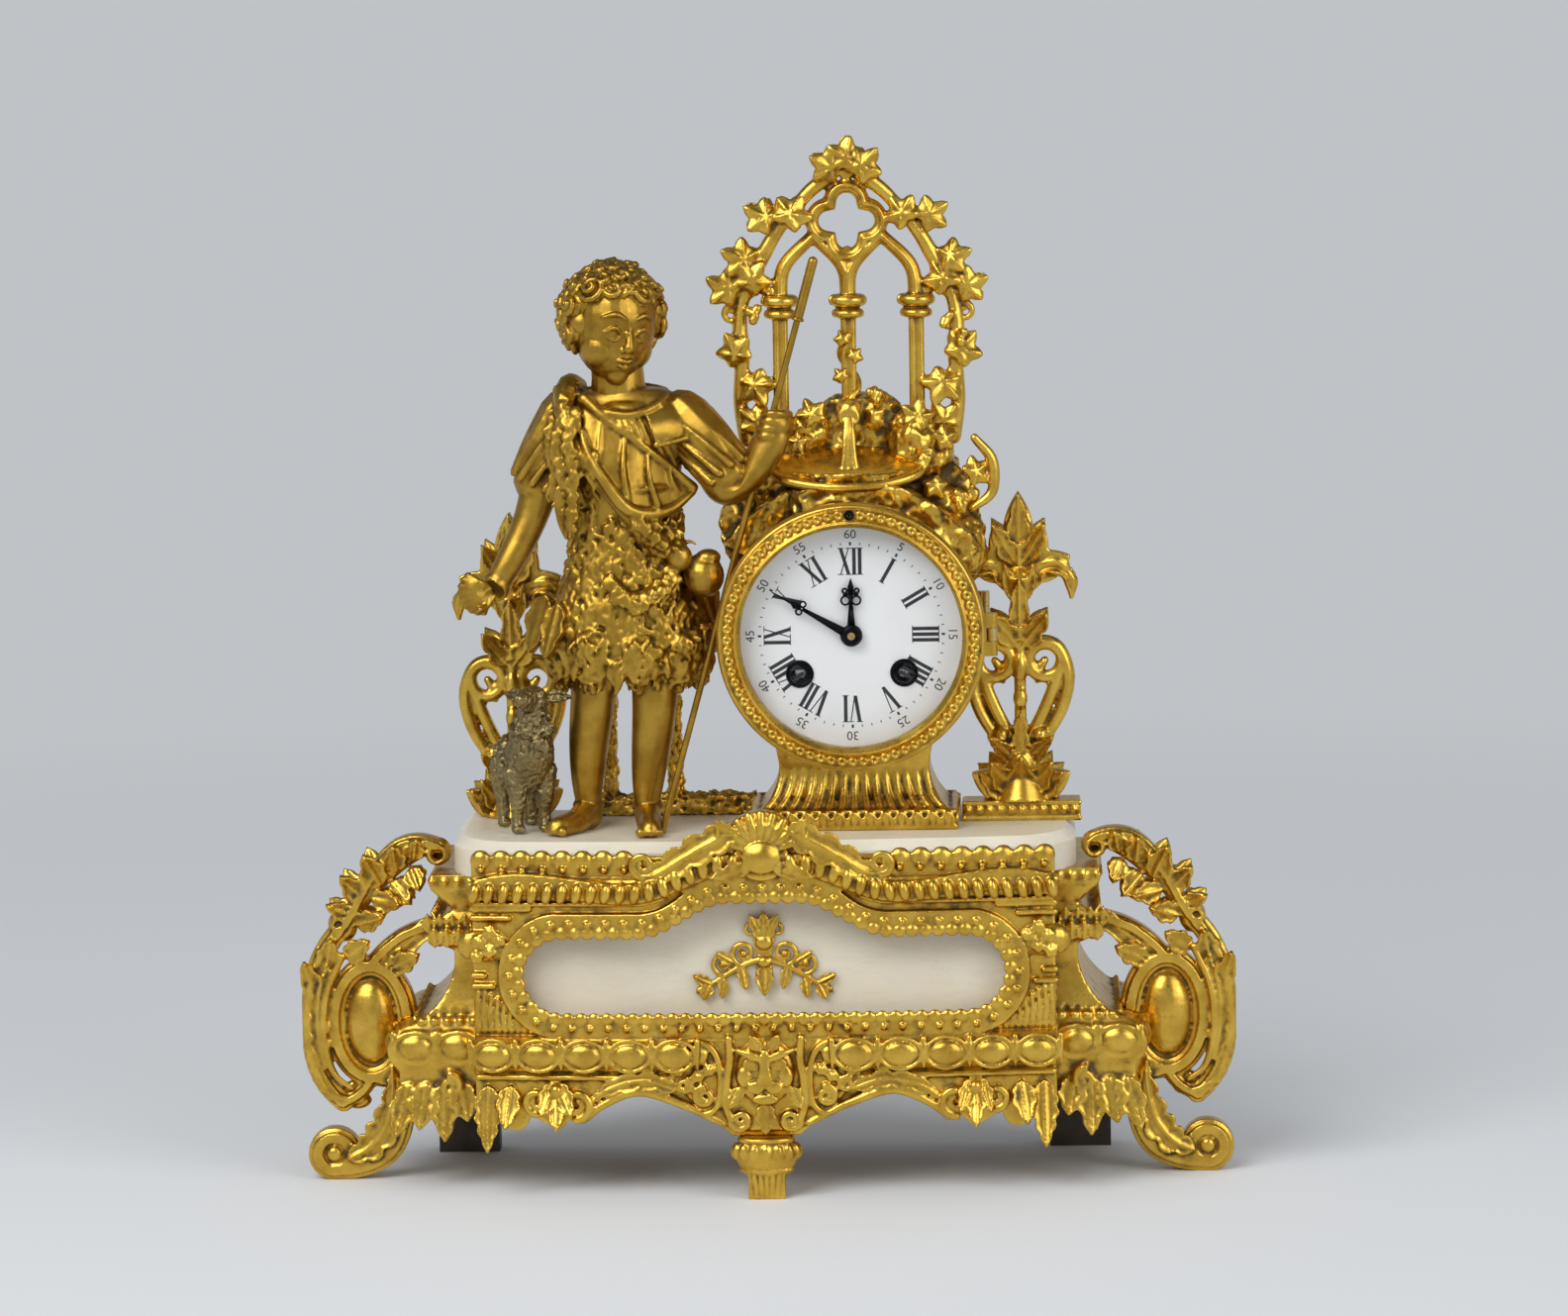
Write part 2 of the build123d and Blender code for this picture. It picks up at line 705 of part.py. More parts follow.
COLLAR_FRONT = DRUM_FRONT - COLLAR_THICK
BEZEL_BACK = COLLAR_FRONT - PART_GAP
BEZEL_FRONT = BEZEL_BACK - BEZEL_DEEP
DRUM_INNER = DRUM_RADIUS - DRUM_WALL
SPIGOT_OUTER = DRUM_INNER - FIT_GAP
SPIGOT_INNER = SPIGOT_OUTER - SPIGOT_WALL
DIAL_BACK = DRUM_FRONT + SHELF_DEEP
DIAL_FRONT = DIAL_BACK - DIAL_THICK
SHELF_BACK = DIAL_BACK + COLLAR_THICK
REAR_SHELF = DRUM_BACK - SHELF_DEEP
GREAT_Y = PLATE_IN + BARREL_PLACE + BARREL_LONG
SECOND_Y = PLATE_IN + SECOND_PLACE
CENTRE_Y = PLATE_IN + CENTRE_PLACE
FRONT_WHEEL_Y = PLATE_IN + FRONT_WHEEL_PLACE
ESCAPE_Y = PLATE_IN + ESCAPE_PLACE
HINGE_X = DRUM_X + BEZEL_RADIUS + HINGE_OUT
SLAB_BOTTOM = DECK_TOP
REAR_FLANGE = DRUM_BACK + COLLAR_THICK
REAR_HINGE_X = DRUM_X + COLLAR_RADIUS + HINGE_OUT
REAR_HINGE_Y = REAR_FLANGE + PART_GAP


# Movement plates and what stands on them
def plate(y, holes):
    solid = disc(PLATE_RADIUS, y, y + PLATE_DEEP, CENTRE)
    for at, radius in holes:
        solid = solid - disc(radius + FIT_GAP, y - OVERRUN, y + PLATE_DEEP + OVERRUN, at)
    return solid


def plate_holes():
    holes = [(at, PIVOT_RADIUS) for at in ARBORS]
    holes += [(GOING, BARREL_ARBOR), (STRIKE, BARREL_ARBOR), (CENTRE, CENTRE_ARBOR)]
    holes += [(PALLET, PIVOT_RADIUS), (HAMMER_AT, ARBOR_RADIUS)]
    return holes


def front_plate():
    stud = disc(ARBOR_RADIUS, PLATE_FRONT - SPIGOT_LONG * HALF_SHARE, PLATE_FRONT, MOTION)
    return plate(PLATE_FRONT, plate_holes()) + stud


def back_plate():
    holes = [(at, size) for at, size in plate_holes() if at != PALLET]
    holes.append((PALLET, ARBOR_RADIUS))
    return plate(BACK_PLATE_IN, holes)


def pillar_places():
    high = [(DRUM_X + side * PILLAR_HIGH_X, DRUM_Z + PILLAR_HIGH_Z) for side in (-1, 1)]
    low = [(DRUM_X + side * PILLAR_LOW_X, DRUM_Z + PILLAR_LOW_Z) for side in (-1, 1)]
    return high + low


def pillars():
    bodies = [disc(PILLAR_RADIUS, PLATE_IN, BACK_PLATE_IN, at) for at in pillar_places()]
    return Compound(children=bodies)


def clicks():
    bodies = []
    for barrel, side in ((GOING, 1), (STRIKE, -1)):
        root = (barrel[0] - side * RATCHET_RADIUS, barrel[1] + RATCHET_RADIUS + HUB_RADIUS)
        aim = heading(root, barrel)
        reach = far(root, barrel) - RATCHET_RADIUS - PART_GAP
        post = disc(HUB_RADIUS * HALF_SHARE, PLATE_FRONT - WHEEL_THICK * 2, PLATE_FRONT, root)
        back = PLATE_FRONT - PART_GAP
        lever = front_block(slat(root, aim, reach), back - WHEEL_THICK, back)
        bodies.append(post + lever)
    return Compound(children=bodies)


# Going train
def barrel(at):
    front = PLATE_IN + BARREL_PLACE
    back = GREAT_Y + WHEEL_THICK
    face = gear_face(GREAT_TEETH, GREAT_MODULE, TOOTH_SHARE, TOOTH_OUT_SHARE, 0)
    solid = disc(BARREL_RADIUS, front, GREAT_Y, at) + front_block(Pos(*at) * face, GREAT_Y, back)
    room = disc(BARREL_RADIUS - DRUM_WALL, front + WHEEL_THICK, back - WHEEL_THICK, at)
    return solid - room - disc(BARREL_ARBOR + FIT_GAP, front - OVERRUN, back + OVERRUN, at)


def mainspring(at):
    front = PLATE_IN + BARREL_PLACE + WHEEL_THICK + PART_GAP
    back = GREAT_Y - PART_GAP
    outer = BARREL_RADIUS - DRUM_WALL
    coils = []
    step = (outer - BARREL_ARBOR - HUB_RADIUS) / MAINSPRING_TURNS
    for turn in range(MAINSPRING_TURNS):
        radius = outer - turn * step
        coils.append(tube_ring(radius, radius - SPRING_THICK, front, back, at))
    tail = block(at[0], at[0] + outer - SPRING_THICK, front, back, at[1], at[1] + SPRING_THICK)
    tail = tail - disc(BARREL_ARBOR + HUB_RADIUS, front - OVERRUN, back + OVERRUN, at)
    solid = coils[0]
    for coil in coils[1:]:
        solid = solid + coil
    return solid + tail


def winding_arbor(at):
    shaft = disc(BARREL_ARBOR, PLATE_FRONT - WHEEL_THICK, BACK_PLATE_OUT, at)
    ratchet_points = []
    pitch = FULL_TURN / RATCHET_TEETH
    for tooth in range(RATCHET_TEETH):
        ratchet_points.append(polar((0, 0), RATCHET_RADIUS, tooth * pitch))
        root_angle = (tooth + POINT_SHARE) * pitch
        ratchet_points.append(polar((0, 0), RATCHET_RADIUS - RATCHET_TOOTH, root_angle))
    face = outline(ratchet_points)
    back = PLATE_FRONT - PART_GAP
    ratchet = front_block(Pos(*at) * face, back - WHEEL_THICK, back)
    key = front_block(Pos(*at) * Rectangle(WIND_SQUARE, WIND_SQUARE), WIND_END, PLATE_FRONT)
    return shaft + ratchet + key


def second_wheel(at, barrel_at, with_count):
    aim = heading(barrel_at, at)
    first = GREAT_Y - (PINION_LONG - WHEEL_THICK) / 2
    leaves = pinion(SECOND_LEAVES, GREAT_MODULE, GREAT_TEETH, aim, first, first + PINION_LONG, at)
    solid = arbor(at) + leaves + wheel(SECOND_TEETH, SECOND_MODULE, SECOND_Y, at)
    if with_count:
        front = BACK_PLATE_OUT + REAR_ROOM
        face = Circle(COUNT_RADIUS)
        for notch in range(COUNT_NOTCHES):
            angle = FULL_TURN * notch * (notch + 1) / (COUNT_NOTCHES * (COUNT_NOTCHES + 1))
            slot = Pos(COUNT_RADIUS, 0) * Rectangle(2 * COUNT_NOTCH, COUNT_NOTCH)
            face = face - Rot(0, 0, angle) * slot
        count_disc = front_block(Pos(*at) * face, front, front + COUNT_THICK)
        solid = solid + count_disc + disc(PIVOT_RADIUS, BACK_PLATE_OUT, front, at)
    return solid


def centre_wheel():
    aim = heading(GOING_SECOND, CENTRE)
    first = SECOND_Y - (PINION_LONG - WHEEL_THICK) / 2
    leaves = pinion(CENTRE_LEAVES, SECOND_MODULE, SECOND_TEETH, aim, first, first + PINION_LONG, CENTRE)
    shaft = disc(CENTRE_ARBOR, CENTRE_END, BACK_PLATE_OUT, CENTRE)
    return shaft + leaves + wheel(CENTRE_TEETH, CENTRE_MODULE, CENTRE_Y, CENTRE)


def third_wheel():
    aim = heading(CENTRE, THIRD)
    first = CENTRE_Y - (PINION_LONG - WHEEL_THICK) / 2
    leaves = pinion(THIRD_LEAVES, CENTRE_MODULE, CENTRE_TEETH, aim, first, first + PINION_LONG, THIRD)
    return arbor(THIRD) + leaves + wheel(THIRD_TEETH, THIRD_MODULE, FRONT_WHEEL_Y, THIRD)


def escape_wheel():
    aim = heading(THIRD, ESCAPE)
    first = FRONT_WHEEL_Y - (PINION_LONG - WHEEL_THICK) / 2
    leaves = pinion(ESCAPE_LEAVES, THIRD_MODULE, THIRD_TEETH, aim, first, first + PINION_LONG, ESCAPE)
    points = []
    pitch = FULL_TURN / ESCAPE_TEETH
    for tooth in range(ESCAPE_TEETH):
        points.append(polar((0, 0), ESCAPE_RADIUS - ESCAPE_TOOTH, tooth * pitch))
        points.append(polar((0, 0), ESCAPE_RADIUS, (tooth + ESCAPE_ROOT_SHARE) * pitch))
        points.append(polar((0, 0), ESCAPE_RADIUS, (tooth + ESCAPE_ROOT_SHARE + ESCAPE_POINT_SHARE) * pitch))
    face = outline(points) - windows(ESCAPE_RADIUS - ESCAPE_TOOTH)
    return arbor(ESCAPE) + leaves + front_block(Pos(*ESCAPE) * face, ESCAPE_Y, ESCAPE_Y + WHEEL_THICK)


def pallets():
    shaft = disc(ARBOR_RADIUS, PLATE_IN + PART_GAP, PENDULUM_Y - ROD_RADIUS * 2, PALLET)
    shaft = shaft + disc(PIVOT_RADIUS, PLATE_FRONT, PLATE_IN + OVERRUN, PALLET)
    inner = ESCAPE_RADIUS + CRUTCH_THICK
    bow = Circle(inner + SPOKE_WIDE) - Circle(inner)
    bow = bow - Pos(0, -inner * HALF_SHARE) * Rectangle(4 * inner, 2 * inner)
    anchor = front_block(Pos(*ESCAPE) * bow, ESCAPE_Y, ESCAPE_Y + WHEEL_THICK)
    neck = block(
        PALLET[0] - SPOKE_WIDE, PALLET[0] + SPOKE_WIDE, ESCAPE_Y, ESCAPE_Y + WHEEL_THICK,
        ESCAPE[1] + inner + SPOKE_WIDE * HALF_SHARE, PALLET[1])
    crutch_back = PENDULUM_Y - ROD_RADIUS * 2
    crutch_front = crutch_back - CRUTCH_THICK
    low = PALLET[1] - CRUTCH_LONG
    half = CRUTCH_THICK
    arm = block(PALLET[0] - half, PALLET[0] + half, crutch_front, crutch_back, low, PALLET[1])
    solid = shaft + anchor + neck + arm
    for side in (-1, 1):
        inner_x = PALLET[0] + side * (ROD_RADIUS + FORK_ROOM)
        outer_x = inner_x + side * CRUTCH_THICK
        prong = block(
            min(inner_x, outer_x), max(inner_x, outer_x), crutch_front,
            PENDULUM_Y + ROD_RADIUS, low, low + CRUTCH_THICK)
        bar = block(
            min(PALLET[0], outer_x), max(PALLET[0], outer_x), crutch_front, crutch_back,
            low, low + CRUTCH_THICK)
        solid = solid + prong + bar
    return solid


def pendulum():
    top = PALLET[1]
    spring = block(
        PALLET[0] - SPRING_THICK / 2, PALLET[0] + SPRING_THICK / 2, PENDULUM_Y - SPRING_WIDE / 2,
        PENDULUM_Y + SPRING_WIDE / 2, top - SPRING_LONG, top)
    low = top - PENDULUM_LONG
    rod = upright(ROD_RADIUS, low, top - SPRING_LONG + SPRING_WIDE / 2, (PALLET[0], PENDULUM_Y))
    half = BOB_THICK / 2
    edge = half * HALF_SHARE
    points = ((0, -half), (BOB_RADIUS, -edge), (BOB_RADIUS, edge), (0, half))
    bob = Pos(0, PENDULUM_Y, 0) * turned_front(points, (PALLET[0], low))
    return spring + rod + bob


def suspension_cock():
    z_low = PALLET[1] + ARBOR_RADIUS + FIT_GAP
    half = COCK_WIDE / 2
    bar = block(
        PALLET[0] - half, PALLET[0] + half, PENDULUM_Y - SPRING_WIDE, PENDULUM_Y + SPRING_WIDE,
        z_low, z_low + COCK_HIGH)
    for side in (-1, 1):
        inner = PALLET[0] + side * half
        outer = PALLET[0] + side * (half - COCK_HIGH * HALF_SHARE)
        leg = block(
            min(inner, outer), max(inner, outer), BACK_PLATE_OUT, PENDULUM_Y, z_low, z_low + COCK_HIGH)
        bar = bar + leg
    slot = block(
        PALLET[0] - CRUTCH_LONG, PALLET[0] + CRUTCH_LONG, BACK_PLATE_OUT - OVERRUN,
        PENDULUM_Y - SPRING_WIDE, z_low + COCK_HIGH, z_low + COCK_HIGH + OVERRUN)
    return bar - slot


# Motion work and hands
def minute_wheel():
    first = PLATE_FRONT - PART_GAP - WHEEL_THICK
    second = first - PINION_LONG
    body = wheel(MINUTE_TEETH, CANNON_MODULE, first, MOTION)
    to_hour = heading(MOTION, CENTRE)
    face = gear_face(MINUTE_LEAVES, HOUR_MODULE, LEAF_SHARE, LEAF_OUT_SHARE, minute_leaf_phase(to_hour))
    leaves = front_block(Pos(*MOTION) * face, second, first)
    return body + leaves - disc(ARBOR_RADIUS + FIT_GAP, second - OVERRUN, PLATE_FRONT, MOTION)


def minute_leaf_phase(aim):
    back = aim + HALF_TURN
    return back + HALF_TURN + HALF_TURN / MINUTE_LEAVES + back * HOUR_TEETH / MINUTE_LEAVES


def cannon_pinion():
    first = PLATE_FRONT - PART_GAP - WHEEL_THICK
    aim = heading(MOTION, CENTRE)
    leaves = pinion(CANNON_LEAVES, CANNON_MODULE, MINUTE_TEETH, aim, first, PLATE_FRONT - PART_GAP, CENTRE)
    tube = disc(CANNON_TUBE, MINUTE_HAND_BACK - HAND_THICK, first, CENTRE)
    hole = disc(CENTRE_ARBOR, CENTRE_END, PLATE_FRONT + OVERRUN, CENTRE)
    return leaves + tube - hole


def hour_wheel():
    first = PLATE_FRONT - PART_GAP - WHEEL_THICK - PINION_LONG * HALF_SHARE - WHEEL_THICK * HALF_SHARE
    inner = CANNON_TUBE + FIT_GAP
    body = wheel(HOUR_TEETH, HOUR_MODULE, first, CENTRE)
    body = body + disc(HOUR_TUBE + SPOKE_WIDE, first, first + WHEEL_THICK, CENTRE)
    tube = disc(HOUR_TUBE, HOUR_HAND_BACK - HAND_THICK, first + WHEEL_THICK, CENTRE)
    return body + tube - disc(inner, CENTRE_END, PLATE_FRONT, CENTRE)


def hand_face(long, boss, hole):
    blade = Pos(0, long * HALF_SHARE) * Rectangle(HAND_WIDE, long)
    ring_at = long * (HALF_SHARE + POINT_SHARE)
    face = blade + Circle(boss) + Pos(0, ring_at) * Circle(HAND_RING)
    for side in (-1, 1):
        face = face + Pos(side * HAND_RING, ring_at - HAND_RING) * Circle(HAND_RING * HALF_SHARE)
    return face - Circle(hole) - Pos(0, ring_at) * Circle(HAND_RING * HALF_SHARE)


def hour_hand():
    face = hand_face(HOUR_HAND_LONG, HAND_BOSS, HOUR_TUBE)
    return front_block(Pos(*CENTRE) * face, HOUR_HAND_BACK - HAND_THICK, HOUR_HAND_BACK)


def minute_hand():
    face = hand_face(MINUTE_HAND_LONG, HAND_BOSS * HALF_SHARE + HAND_WIDE, CANNON_TUBE)
    face = Rot(0, 0, MINUTE_HAND_TURN) * face
    return front_block(Pos(*CENTRE) * face, MINUTE_HAND_BACK - HAND_THICK, MINUTE_HAND_BACK)


# Striking train
def pin_wheel():
    aim = heading(STRIKE_SECOND, PIN_AT)
    first = SECOND_Y - (PINION_LONG - WHEEL_THICK) / 2
    leaves = pinion(PIN_LEAVES, PIN_PINION_MODULE, SECOND_TEETH, aim, first, first + PINION_LONG, PIN_AT)
    solid = arbor(PIN_AT) + leaves + wheel(PIN_TEETH, PIN_MODULE, CENTRE_Y, PIN_AT)
    for pin in range(LIFT_PINS):
        at = polar(PIN_AT, LIFT_PIN_RING, pin * FULL_TURN / LIFT_PINS)
        back = CENTRE_Y + WHEEL_THICK
        solid = solid + disc(LIFT_PIN_RADIUS, back, back + LIFT_PIN_LONG, at)
    return solid


def lock_wheel():
    aim = heading(PIN_AT, LOCK_AT)
    first = CENTRE_Y - (PINION_LONG - WHEEL_THICK) / 2
    leaves = pinion(LOCK_LEAVES, PIN_MODULE, PIN_TEETH, aim, first, first + PINION_LONG, LOCK_AT)
    return arbor(LOCK_AT) + leaves + wheel(LOCK_TEETH, LOCK_MODULE, FRONT_WHEEL_Y, LOCK_AT)


def fly():
    aim = heading(LOCK_AT, FLY_AT)
    first = FRONT_WHEEL_Y - (PINION_LONG - WHEEL_THICK) / 2
    leaves = pinion(FLY_LEAVES, LOCK_MODULE, LOCK_TEETH, aim, first, first + PINION_LONG, FLY_AT)
    front = PLATE_IN + FLY_PLACE
    blade = block(
        FLY_AT[0] - FLY_HALF, FLY_AT[0] + FLY_HALF, front, front + FLY_LONG,
        FLY_AT[1] - FLY_THICK / 2, FLY_AT[1] + FLY_THICK / 2)
    return arbor(FLY_AT) + leaves + blade


def hammer():
    shaft = disc(ARBOR_RADIUS, PLATE_FRONT, HAMMER_HEAD_Y + HAMMER_HEAD_LONG, HAMMER_AT)
    aim = heading(HAMMER_AT, PIN_AT)
    tail = slat(HAMMER_AT, aim, HAMMER_TAIL)
    tail_front = CENTRE_Y + WHEEL_THICK + PART_GAP
    solid = shaft + front_block(tail, tail_front, tail_front + LIFT_PIN_LONG)
    head_at = polar(HAMMER_AT, HAMMER_ARM, HAMMER_TILT)
    back = HAMMER_HEAD_Y + HAMMER_HEAD_LONG
    arm = front_block(slat(HAMMER_AT, HAMMER_TILT, HAMMER_ARM), back - WHEEL_THICK, back)
    return solid + arm + disc(HAMMER_HEAD, HAMMER_HEAD_Y, back, head_at)


def bell():
    rim = BELL_RIM_Y
    crown = BELL_RIM_Y + BELL_DEEP
    outer = Spline((BELL_RADIUS, rim), (BELL_POST, crown), tangents=((0, 1), (-1, 0)))
    small = BELL_RADIUS - BELL_WALL
    inner = Spline((small, rim), (BELL_POST, crown - BELL_WALL), tangents=((0, 1), (-1, 0)))
    edges = [
        outer, Line((BELL_POST, crown), (BELL_POST, crown - BELL_WALL)), inner,
        Line((small, rim), (BELL_RADIUS, rim))]
    face = Plane(origin=(BELL_AT[0], 0, BELL_AT[1])) * make_face(edges)
    return revolve(face, Axis((BELL_AT[0], 0, BELL_AT[1]), (0, 1, 0)), FULL_TURN)


def bell_stand():
    crown = BELL_RIM_Y + BELL_DEEP
    post = disc(BELL_POST, BACK_PLATE_OUT, crown + BELL_NUT_THICK, BELL_AT)
    seat = disc(BELL_NUT, crown - BELL_WALL - BELL_NUT_THICK, crown - BELL_WALL - PART_GAP, BELL_AT)
    cap = front_block(Pos(*BELL_AT) * RegularPolygon(BELL_NUT, HEX_SIDES), crown, crown + BELL_NUT_THICK)
    return post + seat + cap


# Drum, collar rings, dial and doors
def drum_case():
    wall = tube_ring(DRUM_RADIUS, DRUM_INNER, DRUM_FRONT, DRUM_BACK, CENTRE)
    room = PENDULUM_LONG - (PALLET[1] - DRUM_Z)
    half = BOB_RADIUS + SPRING_WIDE
    y_from = PENDULUM_Y - BOB_THICK
    y_to = PENDULUM_Y + BOB_THICK
    slot = block(DRUM_X - half, DRUM_X + half, y_from, y_to, DRUM_Z - DRUM_RADIUS - room, DRUM_Z)
    return wall - slot


def knuckle(x, y, z_from, z_to):
    return upright(HINGE_KNUCKLE, z_from, z_to, (x, y))


def pin_hole(x, y):
    long = HINGE_HIGH * 4
    return upright(HINGE_PIN + FIT_GAP, DRUM_Z - long, DRUM_Z + long, (x, y))


def fixed_lug(x, y, y_from, y_to, reach):
    half = HINGE_HIGH / 2 - PART_GAP
    lug = block(DRUM_X + reach, x, y_from, y_to, DRUM_Z - half, DRUM_Z + half)
    return lug + knuckle(x, y, DRUM_Z - half, DRUM_Z + half)


def moving_lugs(x, y, y_from, y_to, reach):
    half = HINGE_HIGH / 2
    solid = None
    for low, high in ((half, half + HINGE_HIGH), (-half - HINGE_HIGH, -half)):
        lug = block(DRUM_X + reach, x, y_from, y_to, DRUM_Z + low, DRUM_Z + high)
        lug = lug + knuckle(x, y, DRUM_Z + low, DRUM_Z + high)
        solid = lug if solid is None else solid + lug
    return solid


def hinge_room(x, y):
    half = HINGE_HIGH / 2
    return upright(HINGE_KNUCKLE + PART_GAP, DRUM_Z - half, DRUM_Z + half, (x, y))


def hinge_pin(x, y):
    half = HINGE_HIGH * HALF_SHARE + HINGE_HIGH
    return upright(HINGE_PIN, DRUM_Z - half, DRUM_Z + half, (x, y))


def strap_places():
    return [DRUM_X + side * (STRAP_OUT - STRAP_THICK / 2) for side in (-1, 1)]


def front_collar():
    flange = tube_ring(COLLAR_RADIUS, SPIGOT_INNER, COLLAR_FRONT, DRUM_FRONT, CENTRE)
    spigot = tube_ring(SPIGOT_OUTER, SPIGOT_INNER, COLLAR_FRONT, DRUM_FRONT + SPIGOT_LONG, CENTRE)
    shelf = tube_ring(SPIGOT_INNER + SPIGOT_WALL, SHELF_INNER, DIAL_BACK, SHELF_BACK, CENTRE)
    solid = flange + spigot + shelf
    for quarter in range(QUARTERS):
        angle = FOOT_POST_TILT + quarter * QUARTER_TURN
        post = disc(FOOT_POST_RADIUS, DIAL_BACK, PLATE_FRONT, polar(CENTRE, FOOT_POST_RING, angle))
        solid = solid + post
    solid = solid + fixed_lug(HINGE_X, BEZEL_BACK, COLLAR_FRONT, DRUM_FRONT, SPIGOT_OUTER)
    return solid - pin_hole(HINGE_X, BEZEL_BACK)


def dial():
    solid = disc(SPIGOT_INNER - FIT_GAP, DIAL_FRONT, DIAL_BACK, CENTRE)
    solid = solid - disc(CENTRE_HOLE, DIAL_FRONT - OVERRUN, DIAL_BACK + OVERRUN, CENTRE)
    for at in (GOING, STRIKE):
        rim = disc(DIAL_HOLE + DIAL_RIM, DIAL_FRONT - DIAL_RIM * HALF_SHARE, DIAL_FRONT, at)
        solid = solid + rim - disc(DIAL_HOLE, DIAL_FRONT - OVERRUN, DIAL_BACK + OVERRUN, at)
    return solid


def front_bezel():
    seat = BEZEL_OPENING + GLASS_THICK
    seat_back = BEZEL_BACK - BEZEL_DEEP * HALF_SHARE
    seat_front = seat_back - GLASS_THICK
    shoulder = BEZEL_FRONT + BEZEL_DEEP * HALF_SHARE
    points = (
        (BEZEL_OPENING, BEZEL_BACK), (BEZEL_RADIUS, BEZEL_BACK), (BEZEL_RADIUS, shoulder),
        (BEZEL_BEAD_RING + BEZEL_BEAD_RADIUS, BEZEL_FRONT + BEZEL_BEAD_RADIUS),
        (BEZEL_BEAD_RING, BEZEL_FRONT + BEZEL_BEAD_RADIUS),
        (seat, BEZEL_FRONT), (BEZEL_OPENING, BEZEL_FRONT + BEZEL_BEAD_RADIUS),
        (BEZEL_OPENING, seat_front), (seat, seat_front), (seat, seat_back), (BEZEL_OPENING, seat_back))
    ring = turned_front(points, CENTRE)
    beads = Pos(DRUM_X, BEZEL_FRONT + BEZEL_BEAD_RADIUS, DRUM_Z)
    ring = ring + beads * Rot(QUARTER_TURN, 0, 0) * Torus(BEZEL_BEAD_RING, BEZEL_BEAD_RADIUS)
    ring = ring - hinge_room(HINGE_X, BEZEL_BACK)
    lugs = moving_lugs(HINGE_X, BEZEL_BACK, BEZEL_BACK - HINGE_KNUCKLE, BEZEL_BACK, BEZEL_BEAD_RING)
    return ring + lugs - pin_hole(HINGE_X, BEZEL_BACK)


def front_glass():
    seat = BEZEL_OPENING + GLASS_THICK
    back = BEZEL_BACK - BEZEL_DEEP * HALF_SHARE
    front = back - GLASS_THICK
    edge = BEZEL_OPENING - GLASS_THICK
    half_way = edge * HALF_SHARE
    rise = GLASS_DOME * MOST_SHARE
    outer = Spline((edge, front), (half_way, front - rise), (0, front - GLASS_DOME))
    inner = Spline((edge, back), (half_way, back - rise), (0, back - GLASS_DOME))
    edges = [
        Line((seat, back), (seat, front)), Line((seat, front), (edge, front)), outer,
        Line((0, front - GLASS_DOME), (0, back - GLASS_DOME)), inner, Line((edge, back), (seat, back))]
    face = Plane(origin=(DRUM_X, 0, DRUM_Z)) * make_face(edges)
    return revolve(face, Axis((DRUM_X, 0, DRUM_Z), (0, 1, 0)), FULL_TURN)


def rear_collar():
    flange = tube_ring(COLLAR_RADIUS, SHELF_INNER, DRUM_BACK, REAR_FLANGE, CENTRE)
    spigot = tube_ring(SPIGOT_OUTER, SHELF_INNER, REAR_SHELF, DRUM_BACK, CENTRE)
    solid = flange + spigot
    for x in strap_places():
        hole = disc(SCREW_RADIUS + FIT_GAP, REAR_SHELF - OVERRUN, REAR_FLANGE + OVERRUN, (x, DRUM_Z))
        head = disc(SCREW_HEAD + PART_GAP, REAR_FLANGE - SCREW_HEAD_THICK, REAR_FLANGE + OVERRUN, (x, DRUM_Z))
        solid = solid - hole - head
    solid = solid + fixed_lug(REAR_HINGE_X, REAR_HINGE_Y, DRUM_BACK, REAR_FLANGE, DRUM_RADIUS)
    return solid - pin_hole(REAR_HINGE_X, REAR_HINGE_Y)


def rear_door():
    front = REAR_FLANGE + PART_GAP
    back = front + DOOR_THICK
    solid = disc(DOOR_RADIUS, front, back, CENTRE)
    for hole in range(DOOR_HOLES):
        at = polar(CENTRE, DOOR_HOLE_RING, hole * FULL_TURN / DOOR_HOLES)
        solid = solid - disc(DOOR_HOLE_RADIUS, front - OVERRUN, back + OVERRUN, at)
    knob_at = polar(CENTRE, DOOR_RADIUS - 2 * DOOR_KNOB, HALF_TURN)
    solid = solid + disc(DOOR_KNOB, back, back + DOOR_KNOB, knob_at)
    solid = solid - hinge_room(REAR_HINGE_X, REAR_HINGE_Y)
    lugs = moving_lugs(REAR_HINGE_X, REAR_HINGE_Y, front, back, DOOR_RADIUS - 2 * DOOR_KNOB)
    return solid + lugs - pin_hole(REAR_HINGE_X, REAR_HINGE_Y)


def straps():
    bodies = []
    for x in strap_places():
        half = STRAP_THICK / 2
        bar = block(
            x - half, x + half, SHELF_BACK, REAR_SHELF,
            DRUM_Z - STRAP_WIDE / 2, DRUM_Z + STRAP_WIDE / 2)
        hole = disc(SCREW_RADIUS, REAR_SHELF - SPIGOT_LONG, REAR_SHELF + OVERRUN, (x, DRUM_Z))
        bodies.append(bar - hole)
    return Compound(children=bodies)


def strap_screws():
    bodies = []
    for x in strap_places():
        seat = REAR_FLANGE - SCREW_HEAD_THICK
        shank = disc(SCREW_RADIUS, REAR_SHELF - SPIGOT_LONG, seat, (x, DRUM_Z))
        head = disc(SCREW_HEAD, seat, REAR_FLANGE, (x, DRUM_Z))
        bodies.append(shank + head)
    return Compound(children=bodies)


